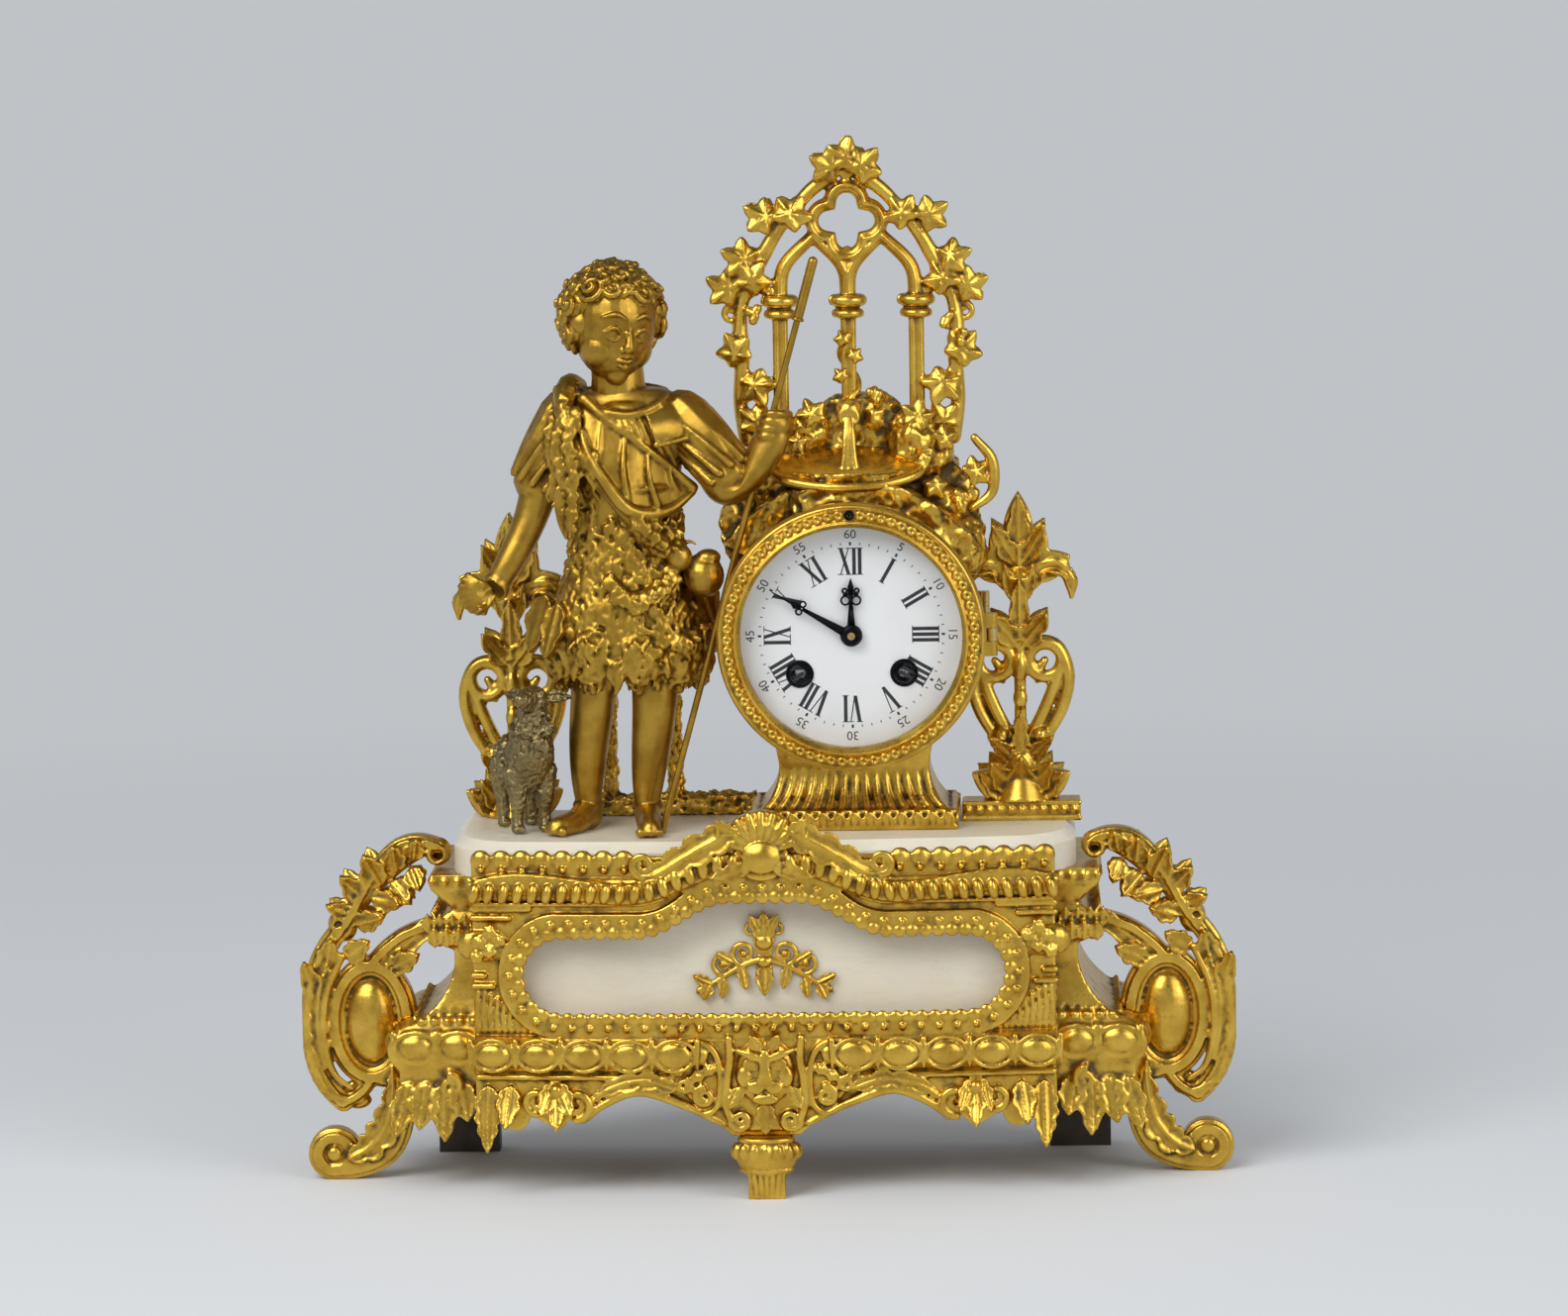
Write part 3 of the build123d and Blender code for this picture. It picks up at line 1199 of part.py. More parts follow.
# Base
def moulding_edges(start, out_share):
    def at(out, z):
        return (start + out * out_share, z)

    ovolo_middle = (PLINTH_TOP + OVOLO_TOP) / 2
    bulge_middle = (BULGE_BOTTOM + BULGE_TOP) / 2
    hollow = (FLUTE_OUT * HALF_SHARE * HALF_SHARE, (OVOLO_TOP + FLUTE_TOP) / 2)
    ovolo_foot = at(PLINTH_OUT, PLINTH_TOP)
    flute_foot = at(FLUTE_OUT, OVOLO_TOP)
    return [
        Line(at(PLINTH_OUT, PLINTH_BOTTOM), ovolo_foot),
        ThreePointArc(ovolo_foot, at(OVOLO_OUT, ovolo_middle), flute_foot),
        ThreePointArc(flute_foot, at(*hollow), at(0, FLUTE_TOP)),
        Line(at(0, FLUTE_TOP), at(0, BULGE_BOTTOM)),
        ThreePointArc(at(0, BULGE_BOTTOM), at(BULGE_OUT, bulge_middle), at(0, BULGE_TOP)),
        Line(at(0, BULGE_TOP), at(CORNICE_OUT, BULGE_TOP + CORNICE_OUT)),
        Line(at(CORNICE_OUT, BULGE_TOP + CORNICE_OUT), at(CORNICE_OUT, DECK_TOP)),
    ]


def base_shell():
    right = moulding_edges(WAIST_HALF, 1)
    left = [mirror(edge, about=Plane.YZ) for edge in right]
    top_half = WAIST_HALF + CORNICE_OUT
    low_half = WAIST_HALF + PLINTH_OUT
    top = Line((top_half, DECK_TOP), (-top_half, DECK_TOP))
    low = Line((-low_half, PLINTH_BOTTOM), (low_half, PLINTH_BOTTOM))
    across = front_block(make_face(right + left + [top, low]), WAIST_FRONT - OVOLO_OUT, BASE_BACK)
    front = moulding_edges(-WAIST_FRONT, FRONT_OUT_SHARE)
    start = -WAIST_FRONT + PLINTH_OUT * FRONT_OUT_SHARE
    end = -WAIST_FRONT + CORNICE_OUT * FRONT_OUT_SHARE
    edges = front + [
        Line((end, DECK_TOP), (-BASE_BACK, DECK_TOP)),
        Line((-BASE_BACK, DECK_TOP), (-BASE_BACK, PLINTH_BOTTOM)),
        Line((-BASE_BACK, PLINTH_BOTTOM), (start, PLINTH_BOTTOM))]
    long = WAIST_HALF + 2 * OVOLO_OUT
    side_plane = Plane(origin=(long, 0, 0), x_dir=(0, -1, 0), z_dir=(-1, 0, 0))
    along = extrude(side_plane * make_face(edges), amount=2 * long)
    return across & along


def base_body():
    solid = base_shell() + block(-BREAK_HALF, BREAK_HALF, BREAK_FRONT, 0, BREAK_BOTTOM, DECK_TOP)
    half = WAIST_HALF - BASE_WALL
    hollow = block(
        -half, half, WAIST_FRONT + BASE_WALL, BASE_BACK - BASE_WALL,
        PLINTH_BOTTOM - OVERRUN, DECK_TOP - BASE_WALL)
    solid = solid - hollow
    front = WAIST_FRONT - PLINTH_OUT * FRONT_OUT_SHARE
    middle = WAIST_HALF + PLINTH_OUT - CORNER_APRON_HALF
    tip = PLINTH_BOTTOM - CORNER_APRON_DROP
    edges = [
        Line((middle - CORNER_APRON_HALF, PLINTH_BOTTOM), (middle + CORNER_APRON_HALF, PLINTH_BOTTOM)),
        SagittaArc((middle + CORNER_APRON_HALF, PLINTH_BOTTOM), (middle, tip), -CORNER_APRON_THICK),
        SagittaArc((middle, tip), (middle - CORNER_APRON_HALF, PLINTH_BOTTOM), -CORNER_APRON_THICK)]
    lobe = front_block(make_face(edges), front, front + CORNER_APRON_THICK)
    solid = solid + lobe + mirrored(lobe)
    flute_from = BREAK_HALF + 2 * FLUTE_RADIUS
    for x in spread(FLUTE_COUNT, flute_from, WAIST_HALF + FLUTE_OUT * HALF_SHARE):
        at = (x, WAIST_FRONT - 2 * FLUTE_RADIUS)
        groove = upright(FLUTE_RADIUS, OVOLO_TOP + FLUTE_RADIUS, FLUTE_TOP, at)
        solid = solid - groove - mirrored(groove)
    for at in rod_places():
        hole = upright(ROD_HALF + FIT_GAP, DECK_TOP - BASE_WALL - OVERRUN, DECK_TOP + OVERRUN, at)
        solid = solid - hole
    return solid


def bow_y(x, out):
    return BOW_AXIS - math.sqrt((BOW_RADIUS + out) ** 2 - x**2)


def bow_solid(out):
    high = FRONT_TOP * 2
    return Pos(0, BOW_AXIS, high * HALF_SHARE) * Cylinder(BOW_RADIUS + out, high)


def both_sides(edges):
    return make_face(edges + [mirror(edge, about=Plane.YZ) for edge in edges])


def opening(grow):
    low = OPENING_BOTTOM - grow
    high = OPENING_SHOULDER + grow
    peak = OPENING_PEAK + grow
    half = OPENING_HALF + grow * HALF_SHARE
    lobe = OPENING_HALF + OPENING_LOBE + grow
    middle = (OPENING_RISE_OUT + OPENING_RISE_IN) / 2
    rise = Spline(
        (OPENING_RISE_OUT, high), (middle, (high + peak) / 2), (OPENING_RISE_IN, peak),
        tangents=((-1, 0), (-1, 0)))
    return both_sides([
        Line((0, low), (half, low)),
        ThreePointArc((half, low), (lobe, (low + high) / 2), (half, high)),
        Line((half, high), (OPENING_RISE_OUT, high)),
        rise,
        Line((OPENING_RISE_IN, peak), (0, peak))])


def casting_outline():
    tip_root = (SMALL_LOBE_X + TIP_X) / 2
    arch = Spline((APRON_SEAT_HALF, APRON_MIDDLE), (ARCH_PEAK_X, APRON_ARCH), (LOBE_X, APRON_LOBE))
    return both_sides([
        Line((0, APRON_MIDDLE), (APRON_SEAT_HALF, APRON_MIDDLE)),
        arch,
        Line((LOBE_X, APRON_LOBE), (NOTCH_X, APRON_NOTCH)),
        ThreePointArc((NOTCH_X, APRON_NOTCH), (SMALL_LOBE_X, APRON_LOBE), (tip_root, APRON_NOTCH)),
        Line((tip_root, APRON_NOTCH), (TIP_X, APRON_TIP)),
        Line((TIP_X, APRON_TIP), (FRONT_HALF, APRON_NOTCH)),
        Line((FRONT_HALF, APRON_NOTCH), (FRONT_HALF, FRONT_TOP)),
        Line((FRONT_HALF, FRONT_TOP), (0, FRONT_TOP))])


def gadroon_face():
    level = FRONT_HALF * HALF_SHARE + GADROON_RADIUS
    rise_x = (OPENING_RISE_OUT + OPENING_RISE_IN) / 2
    rise_z = (GADROON_HEIGHT + GADROON_CREST) / 2
    points = [
        (FRONT_HALF, GADROON_HEIGHT), (level, GADROON_HEIGHT), (OPENING_RISE_OUT, GADROON_HEIGHT),
        (rise_x, rise_z), (OPENING_RISE_IN, GADROON_CREST), (0, GADROON_CREST)]
    left = [(-x, z) for x, z in points[:-1]]
    return trace(Spline(*(points + left[::-1])), line_width=2 * GADROON_RADIUS)


def crest():
    shell = disc(CREST_RADIUS, FRONT_FACE - RIM_OUT, FRONT_FACE + PLATE_THICK, (0, CREST_MIDDLE))
    shell = shell - block(
        -CREST_RADIUS, CREST_RADIUS, FRONT_FACE - OVERRUN * 2, FRONT_FACE + PLATE_THICK * 2,
        CREST_MIDDLE - 2 * CREST_RADIUS, CREST_MIDDLE - CREST_RADIUS * HALF_SHARE)
    for angle in spread(CREST_GROOVES, HALF_TURN / CREST_GROOVES, HALF_TURN - HALF_TURN / CREST_GROOVES):
        place = Pos(0, FRONT_FACE - RIM_OUT, CREST_MIDDLE) * Rot(0, QUARTER_TURN - angle, 0)
        shell = shell - place * Pos(0, 0, CREST_RADIUS) * Cylinder(CREST_GROOVE_RADIUS, CREST_RADIUS)
    jewel_y = FRONT_FACE - RIM_OUT
    return shell + egg(CABOCHON_WIDE, CABOCHON_DEEP, CABOCHON_HIGH, (0, jewel_y, CREST_MIDDLE - OVERRUN))


def apron_mask():
    y = bow_y(0, 0)
    solid = egg(MASK_WIDE, MASK_DEEP, MASK_HIGH, (0, y, MASK_MIDDLE))
    for side in (-1, 1):
        at = Pos(side * MASK_SCROLL_X, y, MASK_MIDDLE)
        solid = solid + at * Rot(QUARTER_TURN, 0, 0) * Torus(MASK_SCROLL_RADIUS, MASK_SCROLL_TUBE)
    return solid


def ovolo_band():
    middle = (OVOLO_BAND_BOTTOM + OVOLO_BAND_TOP) / 2
    deep = BOW_RADIUS - OVERRUN
    low = (BOW_RADIUS, OVOLO_BAND_BOTTOM)
    high = (BOW_RADIUS, OVOLO_BAND_TOP)
    face = make_face([
        ThreePointArc(low, (BOW_RADIUS + OVOLO_BAND_OUT, middle), high),
        Line(high, (deep, OVOLO_BAND_TOP)),
        Line((deep, OVOLO_BAND_TOP), (deep, OVOLO_BAND_BOTTOM)),
        Line((deep, OVOLO_BAND_BOTTOM), low)])
    face = Plane(origin=(0, BOW_AXIS, 0), x_dir=(1, 0, 0), z_dir=(0, -1, 0)) * face
    band = revolve(face, Axis((0, BOW_AXIS, 0), (0, 0, 1)), FULL_TURN)
    front = FRONT_FACE - 2 * OVOLO_BAND_OUT
    return band & block(-FRONT_HALF, FRONT_HALF, front, 0, OVOLO_BAND_BOTTOM, OVOLO_BAND_TOP)


def oval_bosses():
    middle = (OVOLO_BAND_BOTTOM + OVOLO_BAND_TOP) / 2
    bosses = []
    for x in spread(BOSS_COUNT, BOSS_FIRST, BOSS_LAST):
        for side in (-1, 1):
            at = (side * x, bow_y(x, OVOLO_BAND_OUT - BOSS_DEEP * HALF_SHARE), middle)
            bosses.append(egg(BOSS_HALF, BOSS_DEEP, BOSS_HIGH, at))
    return bosses


def front_casting():
    body = front_block(casting_outline(), FRONT_FACE - OVERRUN, BREAK_FRONT) & bow_solid(0)
    inner = bow_solid(-PLATE_THICK)
    back = BREAK_FRONT + OVERRUN
    wide = 2 * FRONT_HALF
    pocket = block(-POCKET_HALF, POCKET_HALF, FRONT_FACE, back, POCKET_BOTTOM, POCKET_TOP)
    below = block(-wide, wide, FRONT_FACE, back, 0, BREAK_BOTTOM)
    above = block(-wide, wide, FRONT_FACE, back, SLAB_BOTTOM, FRONT_TOP + OVERRUN)
    for room in (pocket, below, above):
        body = body - (room & inner)
    rim = front_block(opening(RIM_WIDTH), FRONT_FACE - RIM_OUT * 2, BREAK_FRONT) & bow_solid(RIM_OUT)
    body = body + (rim - inner)
    body = body - front_block(opening(0), FRONT_FACE - RIM_OUT * 2 - OVERRUN, back)
    gadroon = front_block(gadroon_face(), FRONT_FACE - 2 * GADROON_RADIUS, FRONT_FACE + BOW_SAG)
    gadroon = gadroon & bow_solid(GADROON_RADIUS)
    return body + [ovolo_band(), gadroon - inner, crest(), apron_mask()] + oval_bosses()


def alabaster_panel():
    return block(-PANEL_HALF, PANEL_HALF, BREAK_FRONT - PANEL_THICK, BREAK_FRONT, PANEL_BOTTOM, PANEL_TOP)


def panel_mount():
    back = BREAK_FRONT - PANEL_THICK
    ring = MOUNT_HIGH / 4
    face = Circle(MOUNT_HIGH * HALF_SHARE * HALF_SHARE)
    for side in (-1, 1):
        for share in (1, -1):
            at = Pos(side * (MOUNT_HALF - ring), share * ring * HALF_SHARE)
            face = face + at * (Circle(ring) - Circle(ring - MOUNT_BAND))
        arm = MOUNT_HALF * HALF_SHARE
        face = face + Pos(side * arm * HALF_SHARE, 0) * Rectangle(arm, MOUNT_BAND)
    face = face + Pos(0, ring) * Ellipse(ring, ring * (1 + HALF_SHARE * HALF_SHARE))
    face = face + Pos(0, -ring) * Ellipse(ring * HALF_SHARE, ring)
    return front_block(Pos(0, MOUNT_MIDDLE) * face, back - MOUNT_THICK, back)


def front_foot():
    bulge = FOOT_HEIGHT * FOOT_BULGE_SHARE
    low = bulge * HALF_SHARE
    side = Spline((FOOT_RADIUS, low), (FOOT_BULGE, bulge), (FOOT_NECK, FOOT_HEIGHT))
    edges = [
        Line((0, low), (FOOT_RADIUS, low)), side,
        Line((FOOT_NECK, FOOT_HEIGHT), (0, FOOT_HEIGHT)), Line((0, FOOT_HEIGHT), (0, low))]
    solid = revolve(Plane.XZ * make_face(edges), Axis.Z, FULL_TURN)
    solid = Pos(0, FOOT_MIDDLE_Y, 0) * scale(solid, by=(1, FOOT_DEPTH_SHARE, 1))
    front = FOOT_MIDDLE_Y - FOOT_BLOCK_DEEP
    back = FOOT_MIDDLE_Y + FOOT_BLOCK_DEEP
    return solid + block(-FOOT_BLOCK_HALF, FOOT_BLOCK_HALF, front, back, 0, low + OVERRUN)


def rear_feet():
    bodies = []
    half = REAR_FOOT_WIDE / 2
    front = REAR_FOOT_BACK - REAR_FOOT_DEEP
    for side in (-1, 1):
        x = side * REAR_FOOT_X
        bodies.append(block(x - half, x + half, front, REAR_FOOT_BACK, 0, PLINTH_BOTTOM))
    return Compound(children=bodies)


def bracket_face(wide):
    wall = WAIST_HALF + PLINTH_OUT
    low_z = FOOT_VOLUTE_RADIUS - PART_GAP
    volute = FOOT_VOLUTE_RADIUS - BRACKET_WIDE / 2
    curl = OUTER_CURL_RADIUS - BRACKET_WIDE / 4
    leg = stroke((
        (FOOT_VOLUTE_X, BRACKET_WIDE / 2), ((FOOT_VOLUTE_X + CAB_X) / 2, BRACKET_WIDE / 2 + PART_GAP),
        ((CAB_X + wall) / 2, FOOT_VOLUTE_RADIUS), (wall, PLINTH_BOTTOM - BRACKET_WIDE / 2),
        (wall, PLINTH_TOP)), wide)
    outer = stroke((
        (FOOT_VOLUTE_X - BRACKET_WIDE / 2, BRACKET_SPUR_Z), (BRACKET_OUTER_X, (BRACKET_SPUR_Z + CAB_Z) / 2),
        (BRACKET_OUTER_X + BRACKET_BULGE, CAB_Z), (BRACKET_OUTER_X - BRACKET_BULGE, CAB_Z + RING_HIGH),
        (OUTER_CURL_X, OUTER_CURL_Z - curl)), wide)
    spray = stroke((
        (OUTER_CURL_X - curl, OUTER_CURL_Z), ((OUTER_CURL_X + CAB_X) / 2, CAB_Z + RING_HIGH * 2),
        ((CAB_X + TOP_VOLUTE_X) / 2, TOP_VOLUTE_Z + BRACKET_WIDE / 2),
        (TOP_VOLUTE_X, TOP_VOLUTE_Z + TOP_VOLUTE_RADIUS - BRACKET_WIDE / 4)), wide * SLIM_SHARE)
    tie = stroke((
        (CAB_X, CAB_Z + RING_HIGH), ((CAB_X + WAIST_HALF) / 2, (FLUTE_TOP + BULGE_TOP) / 2),
        (WAIST_HALF, (BULGE_BOTTOM + BULGE_TOP) / 2)), wide * SLIM_SHARE)
    low_tie = stroke((
        (CAB_X, CAB_Z - RING_HIGH), (wall + BRACKET_BULGE * 2, PLINTH_BOTTOM + BRACKET_WIDE / 2),
        (wall, PLINTH_TOP)), wide * SLIM_SHARE)
    link = stroke((
        (CAB_X, CAB_Z - RING_HIGH), (FOOT_VOLUTE_X - BRACKET_WIDE, BRACKET_SPUR_Z + BRACKET_BULGE),
        (FOOT_VOLUTE_X - BRACKET_WIDE / 2, BRACKET_SPUR_Z)), wide * SLIM_SHARE)
    bridge = stroke((
        (CAB_X + RING_WIDE, CAB_Z), ((CAB_X + RING_WIDE + BRACKET_OUTER_X) / 2, CAB_Z + BRACKET_BULGE),
        (BRACKET_OUTER_X, CAB_Z + BRACKET_BULGE)), wide * SLIM_SHARE)
    half = wide / 2
    oval = Ellipse(RING_WIDE + half, RING_HIGH + half) - Ellipse(RING_WIDE - half, RING_HIGH - half)
    thin = wide * SLIM_SHARE
    parts = [
        hoop(FOOT_VOLUTE_X, low_z, volute, wide), Pos(FOOT_VOLUTE_X, low_z) * Circle(half),
        hoop(OUTER_CURL_X, OUTER_CURL_Z, curl, thin / 2),
        hoop(TOP_VOLUTE_X, TOP_VOLUTE_Z, TOP_VOLUTE_RADIUS - BRACKET_WIDE / 4, thin / 2),
        Pos(CAB_X, CAB_Z) * oval, outer, spray, tie, low_tie, link, bridge]
    return leg + parts


def scroll_bracket():
    solid = relief(bracket_face, BRACKET_WIDE, BRACKET_DEEP, BRACKET_Y)
    web = Pos(CAB_X, CAB_Z) * Ellipse(RING_WIDE, RING_HIGH)
    solid = solid + front_block(web, BRACKET_Y - BRACKET_DEEP / 4, BRACKET_Y + BRACKET_DEEP / 4)
    solid = solid + egg(CAB_WIDE, CAB_DEEP, CAB_HIGH, (CAB_X, BRACKET_Y, CAB_Z))
    floor = FOOT_VOLUTE_X * 2
    solid = solid - block(0, floor, -floor, floor, -floor, 0)
    return solid - base_shell()


# Alabaster plinth
def alabaster_plinth():
    front = SLAB_FRONT - BOW_SAG
    shape = block(-SLAB_HALF, SLAB_HALF, front, SLAB_BACK, SLAB_BOTTOM, SLAB_TOP)
    shape = shape & bow_solid(FRONT_FACE - SLAB_FRONT)
    corners = shape.edges().filter_by(Axis.Z).sort_by(Axis.Y)[:2]
    shape = fillet(corners, SLAB_CORNER)
    shape = chamfer(shape.faces().sort_by(Axis.Z)[-1].edges(), SLAB_BEVEL)
    for at in rod_places():
        shape = shape - upright(ROD_HALF + FIT_GAP, SLAB_BOTTOM - OVERRUN, SLAB_TOP + OVERRUN, at)
    return shape


def rod_places():
    return [
        (DRUM_X - PEDESTAL_WAIST, PEDESTAL_Y), (DRUM_X + PEDESTAL_WAIST, PEDESTAL_Y),
        (BOY_X + LEFT_LEG[-1][0], BOY_Y + LEFT_LEG[-1][1]),
        lamb_place(-LAMB_LEG_X, -LAMB_LEG_Y),
        (FLANKER_X, FLANKER_RIGHT_Y), (-FLANKER_X, FLANKER_LEFT_Y), ((LOG_FROM + LOG_TO) / 2, LOG_Y)]


def tie_rods():
    low = DECK_TOP - BASE_WALL - ROD_DOWN
    return Compound(children=[upright(ROD_HALF, low, SLAB_TOP + ROD_UP, at) for at in rod_places()])


def tie_nuts():
    bodies = []
    top = DECK_TOP - BASE_WALL
    for at in rod_places():
        blank = nut(NUT_HALF, top - NUT_THICK, NUT_THICK, at)
        bodies.append(blank - upright(ROD_HALF, top - NUT_THICK - OVERRUN, top + OVERRUN, at))
    return Compound(children=bodies)


def rod_holes(shape):
    for at in rod_places():
        shape = shape - upright(ROD_HALF + FIT_GAP, SLAB_TOP - OVERRUN, SLAB_TOP + ROD_UP, at)
    return shape


# Pedestal
def pedestal_edges(low, waist, top):
    step = SLAB_TOP + PEDESTAL_STEP
    waist_z = SLAB_TOP + PEDESTAL_WAIST_Z
    top_z = DRUM_Z - DRUM_RADIUS + PEDESTAL_STEP * 2
    hollow = ((low + waist) / 2 - PEDESTAL_STEP * HALF_SHARE, (step + waist_z) / 2)
    return [
        Line((low, SLAB_TOP), (low, step)),
        ThreePointArc((low, step), hollow, (waist, waist_z)),
        Line((waist, waist_z), (top, top_z)),
        Line((top, top_z), (0, top_z)),
        Line((0, SLAB_TOP), (low, SLAB_TOP))]


def pedestal():
    long = PEDESTAL_HALF * 2
    across = Pos(DRUM_X, 0, 0) * front_block(
        both_sides(pedestal_edges(PEDESTAL_HALF, PEDESTAL_WAIST, PEDESTAL_TOP_HALF)), -long, long)
    share = PEDESTAL_DEEP / PEDESTAL_HALF
    side = both_sides(pedestal_edges(PEDESTAL_DEEP, PEDESTAL_WAIST * share, PEDESTAL_TOP_HALF * share))
    side_plane = Plane(origin=(DRUM_X + long, PEDESTAL_Y, 0), x_dir=(0, -1, 0), z_dir=(-1, 0, 0))
    solid = across & extrude(side_plane * side, amount=2 * long)
    solid = solid - disc(DRUM_RADIUS, -long, long, CENTRE)
    half = PEDESTAL_ROOM_HALF
    y_to = PEDESTAL_Y + PEDESTAL_WAIST * share - DRUM_WALL
    room = block(
        DRUM_X - half, DRUM_X + half, PENDULUM_Y - BOB_THICK - OVERRUN, y_to,
        SLAB_TOP + OVERRUN, DRUM_Z)
    solid = solid - room
    y_front = PEDESTAL_Y - PEDESTAL_WAIST * share - PEDESTAL_FLUTE_RADIUS
    reach = PEDESTAL_WAIST - 2 * PEDESTAL_FLUTE_RADIUS
    top = SLAB_TOP + PEDESTAL_WAIST_Z
    for x in spread(PEDESTAL_FLUTES, DRUM_X - reach, DRUM_X + reach):
        solid = solid - upright(PEDESTAL_FLUTE_RADIUS, SLAB_TOP + 2 * PEDESTAL_STEP, top, (x, y_front))
    return rod_holes(solid)


# Rock with fountain, and the gothic arch
def rock_outline():
    wide = VINE_FOOT_X + ROCK_THICK * HALF_SHARE
    foot = (wide, DRUM_Z + DRUM_RADIUS * HALF_SHARE)
    top = (COLUMN_RADIUS * 2, ROCK_PEAK)
    side = Spline(foot, (wide - VINE_WIDE, BASIN_TOP), (COLUMN_X, (BASIN_TOP + ROCK_PEAK) / 2), top)
    return both_sides([Line((0, DRUM_Z), foot), side, Line(top, (0, ROCK_PEAK))])


def rock_fountain():
    reach = DRUM_RADIUS * 3
    saddle = tube_ring(DRUM_RADIUS + ROCK_THICK, DRUM_RADIUS - OVERRUN, ROCK_FRONT, ROCK_BACK, CENTRE)
    middle = (ROCK_FROM + ROCK_TO) / 2
    wedge = outline([
        CENTRE, polar(CENTRE, reach, ROCK_FROM), polar(CENTRE, reach, middle), polar(CENTRE, reach, ROCK_TO)])
    solid = saddle & front_block(wedge, ROCK_FRONT - OVERRUN, ROCK_BACK + OVERRUN)
    wall = Pos(DRUM_X, 0, 0) * front_block(rock_outline(), ROCK_WALL_FRONT, ROCK_BACK - OVERRUN)
    solid = solid + wall
    bowl = egg(BASIN_HALF, ROCK_WALL_FRONT - BASIN_FRONT, BASIN_DEEP, (DRUM_X, ROCK_WALL_FRONT, BASIN_TOP))
    bowl = bowl - block(
        DRUM_X - reach, DRUM_X + reach, -reach, reach, BASIN_TOP, BASIN_TOP + reach)
    small = BASIN_HALF - COLUMN_RADIUS
    hollow = egg(small, ROCK_WALL_FRONT - BASIN_FRONT - COLUMN_RADIUS, BASIN_DEEP - COLUMN_RADIUS,
                 (DRUM_X, ROCK_WALL_FRONT, BASIN_TOP))
    hollow = hollow - block(DRUM_X - reach, DRUM_X + reach, ROCK_WALL_FRONT, reach, 0, 2 * reach)
    solid = solid + bowl - hollow
    spout_z = ROCK_PEAK - SPOUT_RADIUS
    solid = solid + ball(SPOUT_RADIUS, (DRUM_X, ROCK_WALL_FRONT, spout_z))
    fall_y = ROCK_WALL_FRONT - 2 * SPOUT_RADIUS
    stream = bent_tube((
        (DRUM_X, ROCK_WALL_FRONT - SPOUT_RADIUS * HALF_SHARE, spout_z),
        (DRUM_X, fall_y, (spout_z + BASIN_TOP) / 2),
        (DRUM_X, fall_y - STREAM_RADIUS, BASIN_TOP - BASIN_DEEP + STREAM_RADIUS)), STREAM_RADIUS)
    solid = solid + stream - disc(DRUM_RADIUS, ROCK_FRONT - reach, ROCK_BACK + reach, CENTRE)
    side_x = DRUM_X - COLUMN_X + COLUMN_RADIUS
    solid = solid - block(-reach, side_x, -reach, ARM_ROOM_Y, 0, 3 * reach)
    leaf_end = FLANKER_X - FLANKER_LEAF_LONG
    leaf_front = FLANKER_RIGHT_Y - 2 * LEAF_THICK
    solid = solid - block(leaf_end, leaf_end + reach, leaf_front, reach, 0, 3 * reach)
    return solid - gothic_arch()


def arch_columns():
    parts = []
    for x in (-COLUMN_X, 0, COLUMN_X):
        at = (DRUM_X + x, ARCH_Y)
        low = CAPITAL_Z - CAPITAL_HIGH
        points = ((0, low), (COLUMN_RADIUS, low), (CAPITAL_RADIUS, CAPITAL_Z), (0, CAPITAL_Z))
        parts.append(upright(COLUMN_RADIUS, COLUMN_FOOT, CAPITAL_Z, at))
        parts.append(turned_up(points, at))
    return parts


def light_strokes(side, wide):
    middle = side * COLUMN_X / 2
    parts = []
    for start in (0, side * COLUMN_X):
        lean = middle + (start - middle) * (1 - POINT_SHARE)
        half_way = (CAPITAL_Z + LIGHT_PEAK) / 2
        points = ((start, CAPITAL_Z - wide / 2), (lean, half_way), (middle, LIGHT_PEAK))
        parts.append(stroke(points, wide))
    return parts


def vine_strokes(side, wide):
    stem = stroke((
        (side * VINE_FOOT_X, VINE_FOOT_Z),
        (side * (VINE_FOOT_X + VINE_WIDE / 2), (VINE_FOOT_Z + VINE_KNEE_Z) / 2),
        (side * VINE_FOOT_X, VINE_KNEE_Z), (side * VINE_SHOULDER_X, VINE_SHOULDER_Z),
        (side * ROSE_LOBE, ARCH_TOP - LEAF_LONG), (0, ARCH_TOP - LEAF_LONG * HALF_SHARE)), wide)
    rose_end = ROSE_OFFSET + ROSE_LOBE
    tie = stroke((
        (side * rose_end, ROSE_Z), (side * (VINE_SHOULDER_X + rose_end) / 2, ROSE_Z + VINE_WIDE / 2),
        (side * VINE_SHOULDER_X, VINE_SHOULDER_Z)), wide)
    low = stroke((
        (side * COLUMN_X, CAPITAL_Z), (side * (COLUMN_X + VINE_FOOT_X) / 2, CAPITAL_Z + VINE_WIDE),
        (side * VINE_FOOT_X, VINE_KNEE_Z)), wide)
    return [stem, tie, low]


def rose_face(wide):
    ring = Circle(ROSE_OFFSET * HALF_SHARE)
    hole = Circle(ROSE_OFFSET * HALF_SHARE)
    for quarter in range(QUARTERS):
        at = Pos(*polar((0, 0), ROSE_OFFSET, quarter * QUARTER_TURN))
        ring = ring + at * Circle(ROSE_LOBE + wide / 2)
        hole = hole + at * Circle(ROSE_LOBE - wide / 2)
    return Pos(0, ROSE_Z) * (ring - hole)


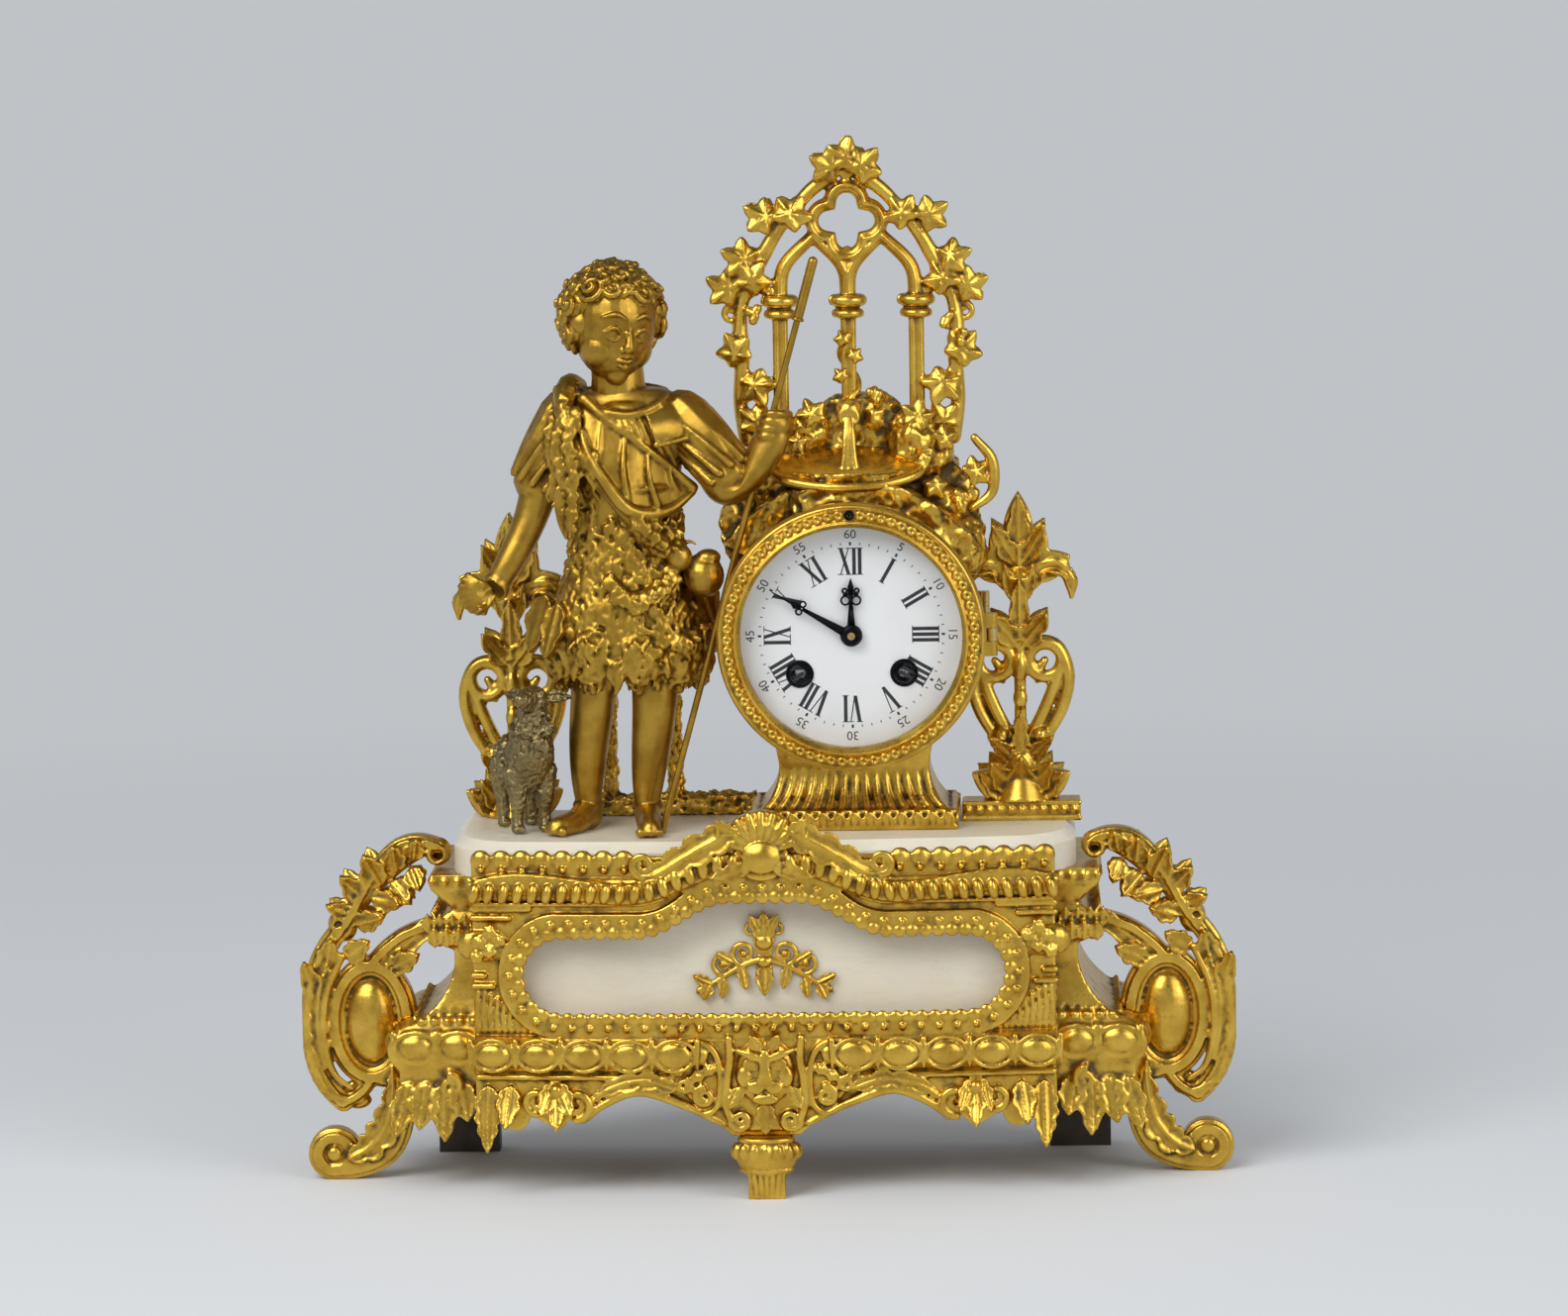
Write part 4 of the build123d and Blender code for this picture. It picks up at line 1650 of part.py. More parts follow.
def tracery_face(wide):
    rose_end = ROSE_OFFSET + ROSE_LOBE
    neck = stroke((
        (0, ROSE_Z + rose_end), (0, (ROSE_Z + ARCH_TOP) / 2 + ROSE_OFFSET),
        (0, ARCH_TOP - LEAF_LONG * HALF_SHARE)), wide)
    side_z = LIGHT_PEAK - wide
    spandrel = outline(((0, CAPITAL_Z), (wide, side_z), (0, ROSE_Z - rose_end), (-wide, side_z)))
    parts = [neck, spandrel]
    for side in (-1, 1):
        parts += light_strokes(side, wide) + vine_strokes(side, wide)
    return Pos(DRUM_X, 0) * (rose_face(wide) + parts)


def vine_leaves(side):
    stem_z = (VINE_FOOT_Z + VINE_KNEE_Z) / 2
    knee = (VINE_FOOT_X, VINE_KNEE_Z)
    stem = (VINE_FOOT_X, stem_z)
    shoulder = (VINE_SHOULDER_X, VINE_SHOULDER_Z)
    slope = ((VINE_FOOT_X + VINE_SHOULDER_X) / 2, (VINE_KNEE_Z + VINE_SHOULDER_Z) / 2)
    places = ((VINE_FOOT_X, VINE_FOOT_Z), knee, knee, stem, stem, shoulder, shoulder, slope)
    faces = []
    for (x, z), tilt in zip(places, VINE_LEAF_TILTS):
        faces.append(leaf_face(LEAF_LONG, LEAF_WIDE, (side * x, z), side * tilt))
        faces.append(Pos(side * x, z) * Circle(VINE_WIDE * HALF_SHARE))
    return faces


def gothic_arch():
    leaves = leaf_face(LEAF_LONG, LEAF_WIDE, (0, ARCH_TOP - LEAF_LONG), 0)
    for tilt in (-TOP_LEAF_TILT, TOP_LEAF_TILT):
        leaves = leaves + leaf_face(LEAF_LONG, LEAF_WIDE, (0, ARCH_TOP - LEAF_LONG), tilt)
    leaves = leaves + vine_leaves(-1) + vine_leaves(1)
    solid = relief(tracery_face, VINE_WIDE, ARCH_DEEP, ARCH_Y)
    foliage = front_block(Pos(DRUM_X, 0) * leaves, ARCH_Y - ARCH_DEEP * HALF_SHARE - LEAF_THICK, ARCH_Y)
    return solid + [foliage] + arch_columns()


# Foliage flankers
def foliage_height(share):
    return FLANKER_HIGH * share


def flanker_face(wide):
    mound = foliage_height(FLANKER_MOUND_SHARE)
    scroll_z = foliage_height(FLANKER_SCROLL_SHARE)
    radius = FLANKER_SCROLL_RADIUS - FLANKER_BAND / 2
    parts = []
    for side in (-1, 1):
        parts.append(hoop(side * FLANKER_SCROLL_X, scroll_z, radius, wide))
        parts.append(stroke((
            (side * (FLANKER_SCROLL_X + radius), scroll_z),
            (side * FLANKER_SCROLL_X, (scroll_z + mound) / 2), (0, mound)), wide))
    cup = foliage_height(FLANKER_CUP_SHARE)
    return Pos(0, cup / 2) * Rectangle(wide, cup) + parts


def flanker_leaves():
    droop = foliage_height(FLANKER_DROOP_SHARE)
    face = leaf_face(FLANKER_HIGH - droop, FLANKER_LEAF_WIDE, (0, droop), 0)
    parts = []
    ball_z = foliage_height(FLANKER_MOUND_SHARE) + FLANKER_BALL * 2
    leaves = ((0, FLANKER_FOOT_TILT), (droop, FLANKER_SIDE_TILT), (droop, FLANKER_TOP_TILT))
    for side in (-1, 1):
        for z, tilt in leaves:
            parts.append(leaf_face(FLANKER_LEAF_LONG, FLANKER_LEAF_WIDE, (0, z), -side * tilt))
        parts.append(Pos(side * FLANKER_SCROLL_X, ball_z) * Circle(FLANKER_BALL))
    stem = Pos(0, FLANKER_HIGH / 2) * Rectangle(FLANKER_STEM, FLANKER_HIGH - 2 * FLANKER_STEM)
    return face + [stem] + parts


def flanker(x, y, with_block):
    low = SLAB_TOP + (FLANKER_BLOCK_HIGH if with_block else 0)
    top = foliage_height(FLANKER_MOUND_SHARE)
    droop = foliage_height(FLANKER_DROOP_SHARE)
    cup = foliage_height(FLANKER_CUP_SHARE)
    mound = ((0, 0), (FLANKER_LEAF_WIDE, 0), (FLANKER_STEM * 2, top), (0, top))
    tip = droop + FLANKER_STEM * 2
    calyx = ((0, cup), (FLANKER_STEM, cup), (FLANKER_STEM * 3, droop), (FLANKER_STEM, tip), (0, tip))
    solid = relief(flanker_face, FLANKER_BAND, LEAF_THICK * 2, 0)
    solid = solid + turned_up(mound, (0, 0)) + turned_up(calyx, (0, 0))
    solid = solid + front_block(flanker_leaves(), -LEAF_THICK, LEAF_THICK)
    solid = solid - block(-FLANKER_HIGH, FLANKER_HIGH, -FLANKER_HIGH, FLANKER_HIGH, -FLANKER_HIGH, 0)
    solid = Pos(x, y, low) * solid
    if with_block:
        half = FLANKER_BLOCK_WIDE / 2
        deep = FLANKER_BLOCK_DEEP / 2
        solid = solid + block(x - half, x + half, y - deep, y + deep, SLAB_TOP, low)
    return rod_holes(solid)


# Figure of the boy
def torso():
    sections = []
    for height, half, depth, shift in zip(TORSO_HEIGHTS, TORSO_HALVES, TORSO_DEPTHS, TORSO_SHIFTS):
        sections.append(Plane(origin=(shift, 0, height)) * Ellipse(half, depth))
    return loft(sections)


def hem():
    solid = None
    low = TORSO_HEIGHTS[0]
    for step in range(HEM_POINTS):
        angle = math.radians(step * FULL_TURN / HEM_POINTS)
        x = TORSO_SHIFTS[0] + (TORSO_HALVES[0] - HEM_WIDE * HALF_SHARE) * math.cos(angle)
        y = (TORSO_DEPTHS[0] - HEM_WIDE * HALF_SHARE) * math.sin(angle)
        points = ((x, y, low + HEM_WIDE), (x, y, low), (x, y, low - HEM_DROP))
        lock = limb(points, (HEM_WIDE, HEM_WIDE * MOST_SHARE, HEM_WIDE / 4))
        solid = lock if solid is None else solid + lock
    return solid


def head():
    skull = Pos(*HEAD_AT) * scale(Sphere(HEAD_WIDE), by=(1, 1, HEAD_HIGH / HEAD_WIDE))
    middle = (HEAD_AT[0], HEAD_AT[1])
    nose_x, nose_y = polar(middle, HEAD_WIDE, FACE_TURN)
    solid = skull + ball(NOSE_LONG, (nose_x, nose_y, HEAD_AT[2] - 2 * NOSE_LONG))
    top = HEAD_AT[2] + HEAD_HIGH - HAIR_LOCK
    brow = (HEAD_AT[2] + top) / 2
    for ring, height in ((HAIR_RING, HEAD_AT[2]), (HAIR_RING, brow), (HAIR_RING * HALF_SHARE, top)):
        for step in range(HAIR_LOCKS):
            turn = (step + HALF_SHARE) * FULL_TURN / HAIR_LOCKS
            if height < top and min(turn, FULL_TURN - turn) < FACE_HALF:
                continue
            x, y = polar(middle, ring, FACE_TURN + turn)
            solid = solid + ball(HAIR_LOCK, (x, y, height))
    return solid


def boy_shape():
    solid = torso() + hem() + head()
    neck_at = (HEAD_AT[0] + NOSE_LONG, HEAD_AT[1] + NOSE_LONG)
    solid = solid + upright(NECK_RADIUS, NECK_FOOT, HEAD_AT[2], neck_at)
    for path in (RIGHT_LEG, LEFT_LEG):
        solid = solid + limb(path, LEG_RADII)
    for path in (RIGHT_FOOT, LEFT_FOOT):
        solid = solid + limb(path, FOOT_RADII)
    for path in (RIGHT_ARM, LEFT_ARM):
        solid = solid + limb(path, ARM_RADII) + ball(HAND_RADIUS, path[-1])
    collar = Pos(TORSO_SHIFTS[-1], 0, COLLAR_AT) * Torus(COLLAR_WIDE - COLLAR_TUBE, COLLAR_TUBE)
    solid = solid + collar + bent_tube(SASH, SASH_TUBE)
    shell = egg(SHELL_RADIUS, SHELL_RADIUS * HALF_SHARE, SHELL_RADIUS, SHELL_AT)
    gourd = ball(GOURD_RADIUS, GOURD_AT) + ball(GOURD_NECK_RADIUS, GOURD_NECK_AT)
    return solid + shell + gourd


def boy_figure():
    solid = Pos(BOY_X, BOY_Y, SLAB_TOP) * boy_shape()
    below = block(-2 * SLAB_HALF, SLAB_HALF, -SLAB_HALF, SLAB_HALF, 0, SLAB_TOP)
    return rod_holes(solid - below - staff())


def staff():
    foot = (STAFF_FOOT[0], STAFF_FOOT[1], SLAB_TOP)
    tip = (STAFF_TIP[0], STAFF_TIP[1], STAFF_TIP_Z)
    line = Line(foot, tip)
    shaft = sweep(Plane(origin=line @ 0, z_dir=line % 0) * Circle(STAFF_RADIUS), path=line)
    upper = Line(line @ STAFF_RING_SHARE, tip)
    head_part = sweep(Plane(origin=upper @ 0, z_dir=upper % 0) * Circle(STAFF_TOP_RADIUS), path=upper)
    ring = Plane(origin=upper @ 0, z_dir=upper % 0) * Torus(STAFF_TOP_RADIUS, STAFF_RADIUS * HALF_SHARE)
    solid = shaft + head_part + ring + ball(STAFF_TOP_RADIUS, tip)
    return solid - block(-2 * SLAB_HALF, SLAB_HALF, -SLAB_HALF, SLAB_HALF, 0, SLAB_TOP)


# Lamb and rustic support
def lamb_place(x, y):
    turn = math.radians(LAMB_TURN)
    across = x * math.cos(turn) - y * math.sin(turn)
    along = x * math.sin(turn) + y * math.cos(turn)
    return (LAMB_X + across, LAMB_Y + along)


def lamb_head():
    neck_top = (0, -LAMB_LEG_Y - LAMB_NECK, LAMB_HEAD_Z)
    solid = ball(LAMB_HEAD_RADIUS, neck_top)
    muzzle = (0, neck_top[1] - LAMB_NECK, LAMB_HEAD_Z + LAMB_LEG * HALF_SHARE)
    cheek = (0, (neck_top[1] + muzzle[1]) / 2, (LAMB_HEAD_Z + muzzle[2]) / 2)
    radii = (LAMB_HEAD_RADIUS - LAMB_LEG, LAMB_MUZZLE, LAMB_MUZZLE * MOST_SHARE)
    solid = solid + limb((neck_top, cheek, muzzle), radii)
    for side in (-1, 1):
        ear_x = side * (LAMB_HEAD_RADIUS + LAMB_EAR * HALF_SHARE)
        solid = solid + egg(LAMB_EAR, LAMB_LEG, LAMB_LEG, (ear_x, neck_top[1], LAMB_HEAD_Z))
    return solid


def lamb():
    share = LAMB_BODY_LONG / LAMB_BODY_RADIUS
    solid = Pos(0, 0, LAMB_BODY_Z) * scale(Sphere(LAMB_BODY_RADIUS), by=(1, share, 1))
    neck_z = (LAMB_BODY_Z + LAMB_HEAD_Z) / 2
    points = (
        (0, LAMB_NECK - LAMB_LEG_Y, LAMB_BODY_Z), (0, -LAMB_LEG_Y - LAMB_NECK * HALF_SHARE, neck_z),
        (0, -LAMB_LEG_Y - LAMB_NECK, LAMB_HEAD_Z))
    radii = (LAMB_BODY_RADIUS - LAMB_LEG, LAMB_NECK + LAMB_LEG * HALF_SHARE, LAMB_NECK)
    solid = solid + limb(points, radii) + lamb_head()
    for x in (-LAMB_LEG_X, LAMB_LEG_X):
        for y in (-LAMB_LEG_Y, LAMB_LEG_Y):
            solid = solid + upright(LAMB_LEG, 0, LAMB_BODY_Z, (x, y))
    solid = solid + ball(LAMB_BELL, (0, -LAMB_LEG_Y - 2 * LAMB_NECK, neck_z))
    return rod_holes(Pos(LAMB_X, LAMB_Y, SLAB_TOP) * Rot(0, 0, LAMB_TURN) * solid)


def rustic_support():
    middle = (LOG_FROM + LOG_TO) / 2
    log = Rot(0, QUARTER_TURN, 0) * Cylinder(LOG_RADIUS, LOG_TO - LOG_FROM)
    log = Pos(middle, LOG_Y, SLAB_TOP + LOG_RADIUS) * log
    seat = block(LOG_FROM, LOG_TO, LOG_Y - LOG_RADIUS, LOG_Y + LOG_RADIUS, SLAB_TOP, SLAB_TOP + LOG_RADIUS)
    solid = log + seat
    for x in POST_XS:
        points = (
            (x, LOG_Y, SLAB_TOP + LOG_RADIUS), (x, LOG_Y - LOG_RADIUS, SLAB_TOP + POST_TOP * HALF_SHARE),
            (x, BOY_Y + TORSO_DEPTHS[0] + POST_RADIUS, SLAB_TOP + POST_TOP),
            (x, BOY_Y + TORSO_DEPTHS[2], SLAB_TOP + TORSO_HEIGHTS[2]))
        radii = (POST_RADIUS, POST_RADIUS, POST_RADIUS, POST_RADIUS * HALF_SHARE)
        solid = solid + limb(points, radii)
    return rod_holes(solid - Pos(BOY_X, BOY_Y, SLAB_TOP) * (torso() + hem()))


# Every named piece, each written to a file of its own
PIECES = {
    "base_body": base_body,
    "front_casting": front_casting,
    "alabaster_panel": alabaster_panel,
    "panel_mount": panel_mount,
    "front_foot": front_foot,
    "rear_feet": rear_feet,
    "scroll_bracket_right": scroll_bracket,
    "scroll_bracket_left": lambda: mirrored(scroll_bracket()),
    "alabaster_plinth": alabaster_plinth,
    "tie_rods": tie_rods,
    "tie_nuts": tie_nuts,
    "pedestal": pedestal,
    "drum_case": drum_case,
    "rock_fountain": rock_fountain,
    "gothic_arch": gothic_arch,
    "flanker_right": lambda: flanker(FLANKER_X, FLANKER_RIGHT_Y, True),
    "flanker_left": lambda: flanker(-FLANKER_X, FLANKER_LEFT_Y, False),
    "boy_figure": boy_figure,
    "staff": staff,
    "lamb": lamb,
    "rustic_support": rustic_support,
    "front_collar": front_collar,
    "dial": dial,
    "front_plate": front_plate,
    "back_plate": back_plate,
    "plate_pillars": pillars,
    "clicks": clicks,
    "straps": straps,
    "strap_screws": strap_screws,
    "rear_collar": rear_collar,
    "bell_stand": bell_stand,
    "bell": bell,
    "suspension_cock": suspension_cock,
    "bezel_hinge_pin": lambda: hinge_pin(HINGE_X, BEZEL_BACK),
    "rear_hinge_pin": lambda: hinge_pin(REAR_HINGE_X, REAR_HINGE_Y),
    "front_bezel": front_bezel,
    "front_glass": front_glass,
    "rear_door": rear_door,
    "minute_hand": minute_hand,
    "cannon_pinion": cannon_pinion,
    "centre_wheel": centre_wheel,
    "hour_hand": hour_hand,
    "hour_wheel": hour_wheel,
    "minute_wheel": minute_wheel,
    "third_wheel": third_wheel,
    "escape_wheel": escape_wheel,
    "pallets": pallets,
    "pendulum": pendulum,
    "going_barrel": lambda: barrel(GOING),
    "going_mainspring": lambda: mainspring(GOING),
    "going_arbor": lambda: winding_arbor(GOING),
    "going_second_wheel": lambda: second_wheel(GOING_SECOND, GOING, False),
    "strike_barrel": lambda: barrel(STRIKE),
    "strike_mainspring": lambda: mainspring(STRIKE),
    "strike_arbor": lambda: winding_arbor(STRIKE),
    "strike_second_wheel": lambda: second_wheel(STRIKE_SECOND, STRIKE, True),
    "pin_wheel": pin_wheel,
    "lock_wheel": lock_wheel,
    "fly": fly,
    "hammer": hammer,
}

for name, make in PIECES.items():
    export_step(make(), f"parts/{name}.step")
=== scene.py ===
import json
import math
from functools import lru_cache
import bpy
import numpy as np
from mathutils import Euler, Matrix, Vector, noise


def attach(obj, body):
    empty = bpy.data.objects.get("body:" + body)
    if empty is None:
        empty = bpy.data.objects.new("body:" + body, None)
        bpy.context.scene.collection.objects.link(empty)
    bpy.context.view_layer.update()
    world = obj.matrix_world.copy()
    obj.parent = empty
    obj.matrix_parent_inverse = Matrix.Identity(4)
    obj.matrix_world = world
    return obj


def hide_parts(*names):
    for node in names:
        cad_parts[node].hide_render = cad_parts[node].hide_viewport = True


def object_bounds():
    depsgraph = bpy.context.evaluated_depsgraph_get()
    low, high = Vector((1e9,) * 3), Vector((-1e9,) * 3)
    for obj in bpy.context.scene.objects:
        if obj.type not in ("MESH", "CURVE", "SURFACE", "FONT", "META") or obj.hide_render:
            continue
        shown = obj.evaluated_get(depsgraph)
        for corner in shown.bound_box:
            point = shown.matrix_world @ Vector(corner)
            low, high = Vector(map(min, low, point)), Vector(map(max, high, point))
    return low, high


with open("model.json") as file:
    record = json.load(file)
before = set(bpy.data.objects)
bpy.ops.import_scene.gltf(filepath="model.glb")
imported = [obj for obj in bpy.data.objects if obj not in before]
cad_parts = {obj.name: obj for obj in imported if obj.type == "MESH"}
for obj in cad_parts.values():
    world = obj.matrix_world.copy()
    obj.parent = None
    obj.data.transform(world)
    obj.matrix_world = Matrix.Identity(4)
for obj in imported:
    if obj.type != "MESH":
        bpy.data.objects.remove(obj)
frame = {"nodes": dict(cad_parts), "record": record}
cad_low, cad_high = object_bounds()

# All shapes below are written in millimetres in the frame of the CAD part
MM = 0.001
FULL_TURN = 360.0
SIDES = (-1, 1)
SEED = 7
BEAD_VOXEL = 0.28
HEAD_VOXEL = 0.32
LAMB_VOXEL = 0.36
FINE_VOXEL = 0.45
MIDDLE_VOXEL = 0.55
COARSE_VOXEL = 0.7
TRIM_INSIDE = 0.4

# Directions in which a leaf or a boss looks
FRONT = (0, -1, 0)
FRONT_UP = (0, -1, 0.2)

# Rings and sides of a ball, from small to large
DOT = (4, 7)
SMALL = (5, 8)
BEAD = (6, 9)
BERRY = (6, 10)
PLAIN = (7, 12)
ROUND = (10, 16)
LARGE = (14, 24)

# Drum and slab, which several sections share
SLAB_TOP = 125.0
DRUM_X = 32.0
DRUM_Z = 195.0
DRUM_RADIUS = 42.6

# Standing child, from the point on the slab between the feet
FEET = np.array((-48.0, -6.0, SLAB_TOP))
HEAD = np.array((-2.0, -3.0, 181.0))
STAFF_FOOT = np.array((-36.0, -15.5, SLAB_TOP))
STAFF_TIP = np.array((20.5, -16.0, 326.0))

# Shared shape details
DIRECTION_SHARE = 0.3
CAP_TILTS = np.radians((80.0, 55.0, 28.0))
LEAST_SIDE = 0.2
SHEET_ROWS = 13
LEAF_ROWS = 9
LEAF_ACROSS = (-1.0, -0.6, -0.22, 0.0, 0.22, 0.6, 1.0)
LEAF_FULL = 0.75
LEAF_CUP = 0.25
LEAF_TIP = 0.06
LEAF_ROUND = 0.8
TOOTH_LOW = 0.72
TOOTH_RISE = 0.42
TOOTH_SHARP = 0.7
RIB_HALF = 0.3
IVY_SIDES = 48
IVY_RINGS = 4
IVY_ANGLES = (0, 34, 66, 100, 132, 162, 180)
IVY_REACH = (1.0, 0.56, 0.92, 0.58, 0.74, 0.5, 0.34)
IVY_TIPS = (0, 66, 132)
IVY_RIB_TURN = 14.0
HOLLOW_ROUNDS = 14
HOLLOW_KEPT = 0.4


# Curves
def unit(vector):
    vector = np.asarray(vector, float)
    return vector / np.linalg.norm(vector)


def through(points, count):
    """A smooth curve of count points through the given ones."""
    p = np.asarray(points, float)
    ends = np.vstack([2 * p[0] - p[1], p, 2 * p[-1] - p[-2]])
    place = np.linspace(0, len(p) - 1, count)
    index = np.minimum(place.astype(int), len(p) - 2)
    t = (place - index)[:, None]
    a, b, c, d = (ends[index + k] for k in range(4))
    bend = (2 * a - 5 * b + 4 * c - d) * t**2
    twist = (3 * b - a - 3 * c + d) * t**3
    return 0.5 * (2 * b + (c - a) * t + bend + twist)


def taper(values, count):
    """The given widths, spread evenly over count points."""
    return np.interp(np.linspace(0, 1, count), np.linspace(0, 1, len(values)), values)


def spiral(at, first, last, start, end, count):
    """A flat scroll seen from the front: radius from first to last, angle from start to end."""
    x, y, z = at
    angle = np.radians(np.linspace(start, end, count))
    radius = np.linspace(first, last, count)
    return np.column_stack([x + radius * np.cos(angle), np.full(count, y), z + radius * np.sin(angle)])


def ellipse(x, y, z, wide, tall, count=24):
    """A closed ring that faces the front."""
    angle = np.linspace(0, 2 * np.pi, count)
    return np.column_stack([x + wide * np.cos(angle), np.full(count, y), z + tall * np.sin(angle)])


def level_ring(x, y, z, wide, deep, count):
    """A closed ring that lies flat."""
    return [(x + wide * math.cos(a), y + deep * math.sin(a), z) for a in np.linspace(0, 2 * math.pi, count)]


def mirrored(point, side):
    """The point on the right or, for a side of -1, its twin on the left."""
    return (side * point[0], *point[1:])


def flat(points, y, side=1):
    """Front view points (x, z) at depth y."""
    return [(side * x, y, z) for x, z in points]


def from_feet(points):
    return [FEET + point for point in points]


def along(path, pitch):
    """Points at an even pitch along a path, and the direction there."""
    path = np.asarray(path, float)
    step = np.linalg.norm(np.diff(path, axis=0), axis=1)
    run = np.concatenate([[0], np.cumsum(step)])
    places = np.linspace(0, run[-1], max(2, int(round(run[-1] / pitch)) + 1))

    def at(where):
        return np.column_stack([np.interp(where, run, path[:, k]) for k in range(3)])

    ahead = at(np.minimum(places + pitch * DIRECTION_SHARE, run[-1]))
    behind = at(np.maximum(places - pitch * DIRECTION_SHARE, 0))
    return at(places), [unit(v) for v in ahead - behind]


@lru_cache(maxsize=None)
def ball_mesh(rings, sides):
    """Points and faces of a ball with a radius of one."""
    points = [(0, 0, -1)]
    for ring in range(1, rings):
        lift = -math.cos(math.pi * ring / rings)
        wide = math.sin(math.pi * ring / rings)
        for side in range(sides):
            angle = 2 * math.pi * side / sides
            points.append((wide * math.cos(angle), wide * math.sin(angle), lift))
    points.append((0, 0, 1))
    last = len(points) - 1
    faces = []
    for side in range(sides):
        after = (side + 1) % sides
        faces.append((0, 1 + after, 1 + side))
        faces.append((last, last - sides + side, last - sides + after))
        for ring in range(rings - 2):
            low = 1 + ring * sides
            faces.append((low + side, low + after, low + sides + after, low + sides + side))
    return np.array(points), faces


def rounded_ends(path, radii):
    """A path and its radii with a dome added at each end."""
    start, end = unit(path[0] - path[1]), unit(path[-1] - path[-2])
    back = CAP_TILTS[::-1]
    first = path[0] + np.outer(np.sin(CAP_TILTS), start) * radii[0]
    last = path[-1] + np.outer(np.sin(back), end) * radii[-1]
    wide = np.concatenate([np.cos(CAP_TILTS) * radii[0], radii, np.cos(back) * radii[-1]])
    return np.vstack([first, path, last]), wide


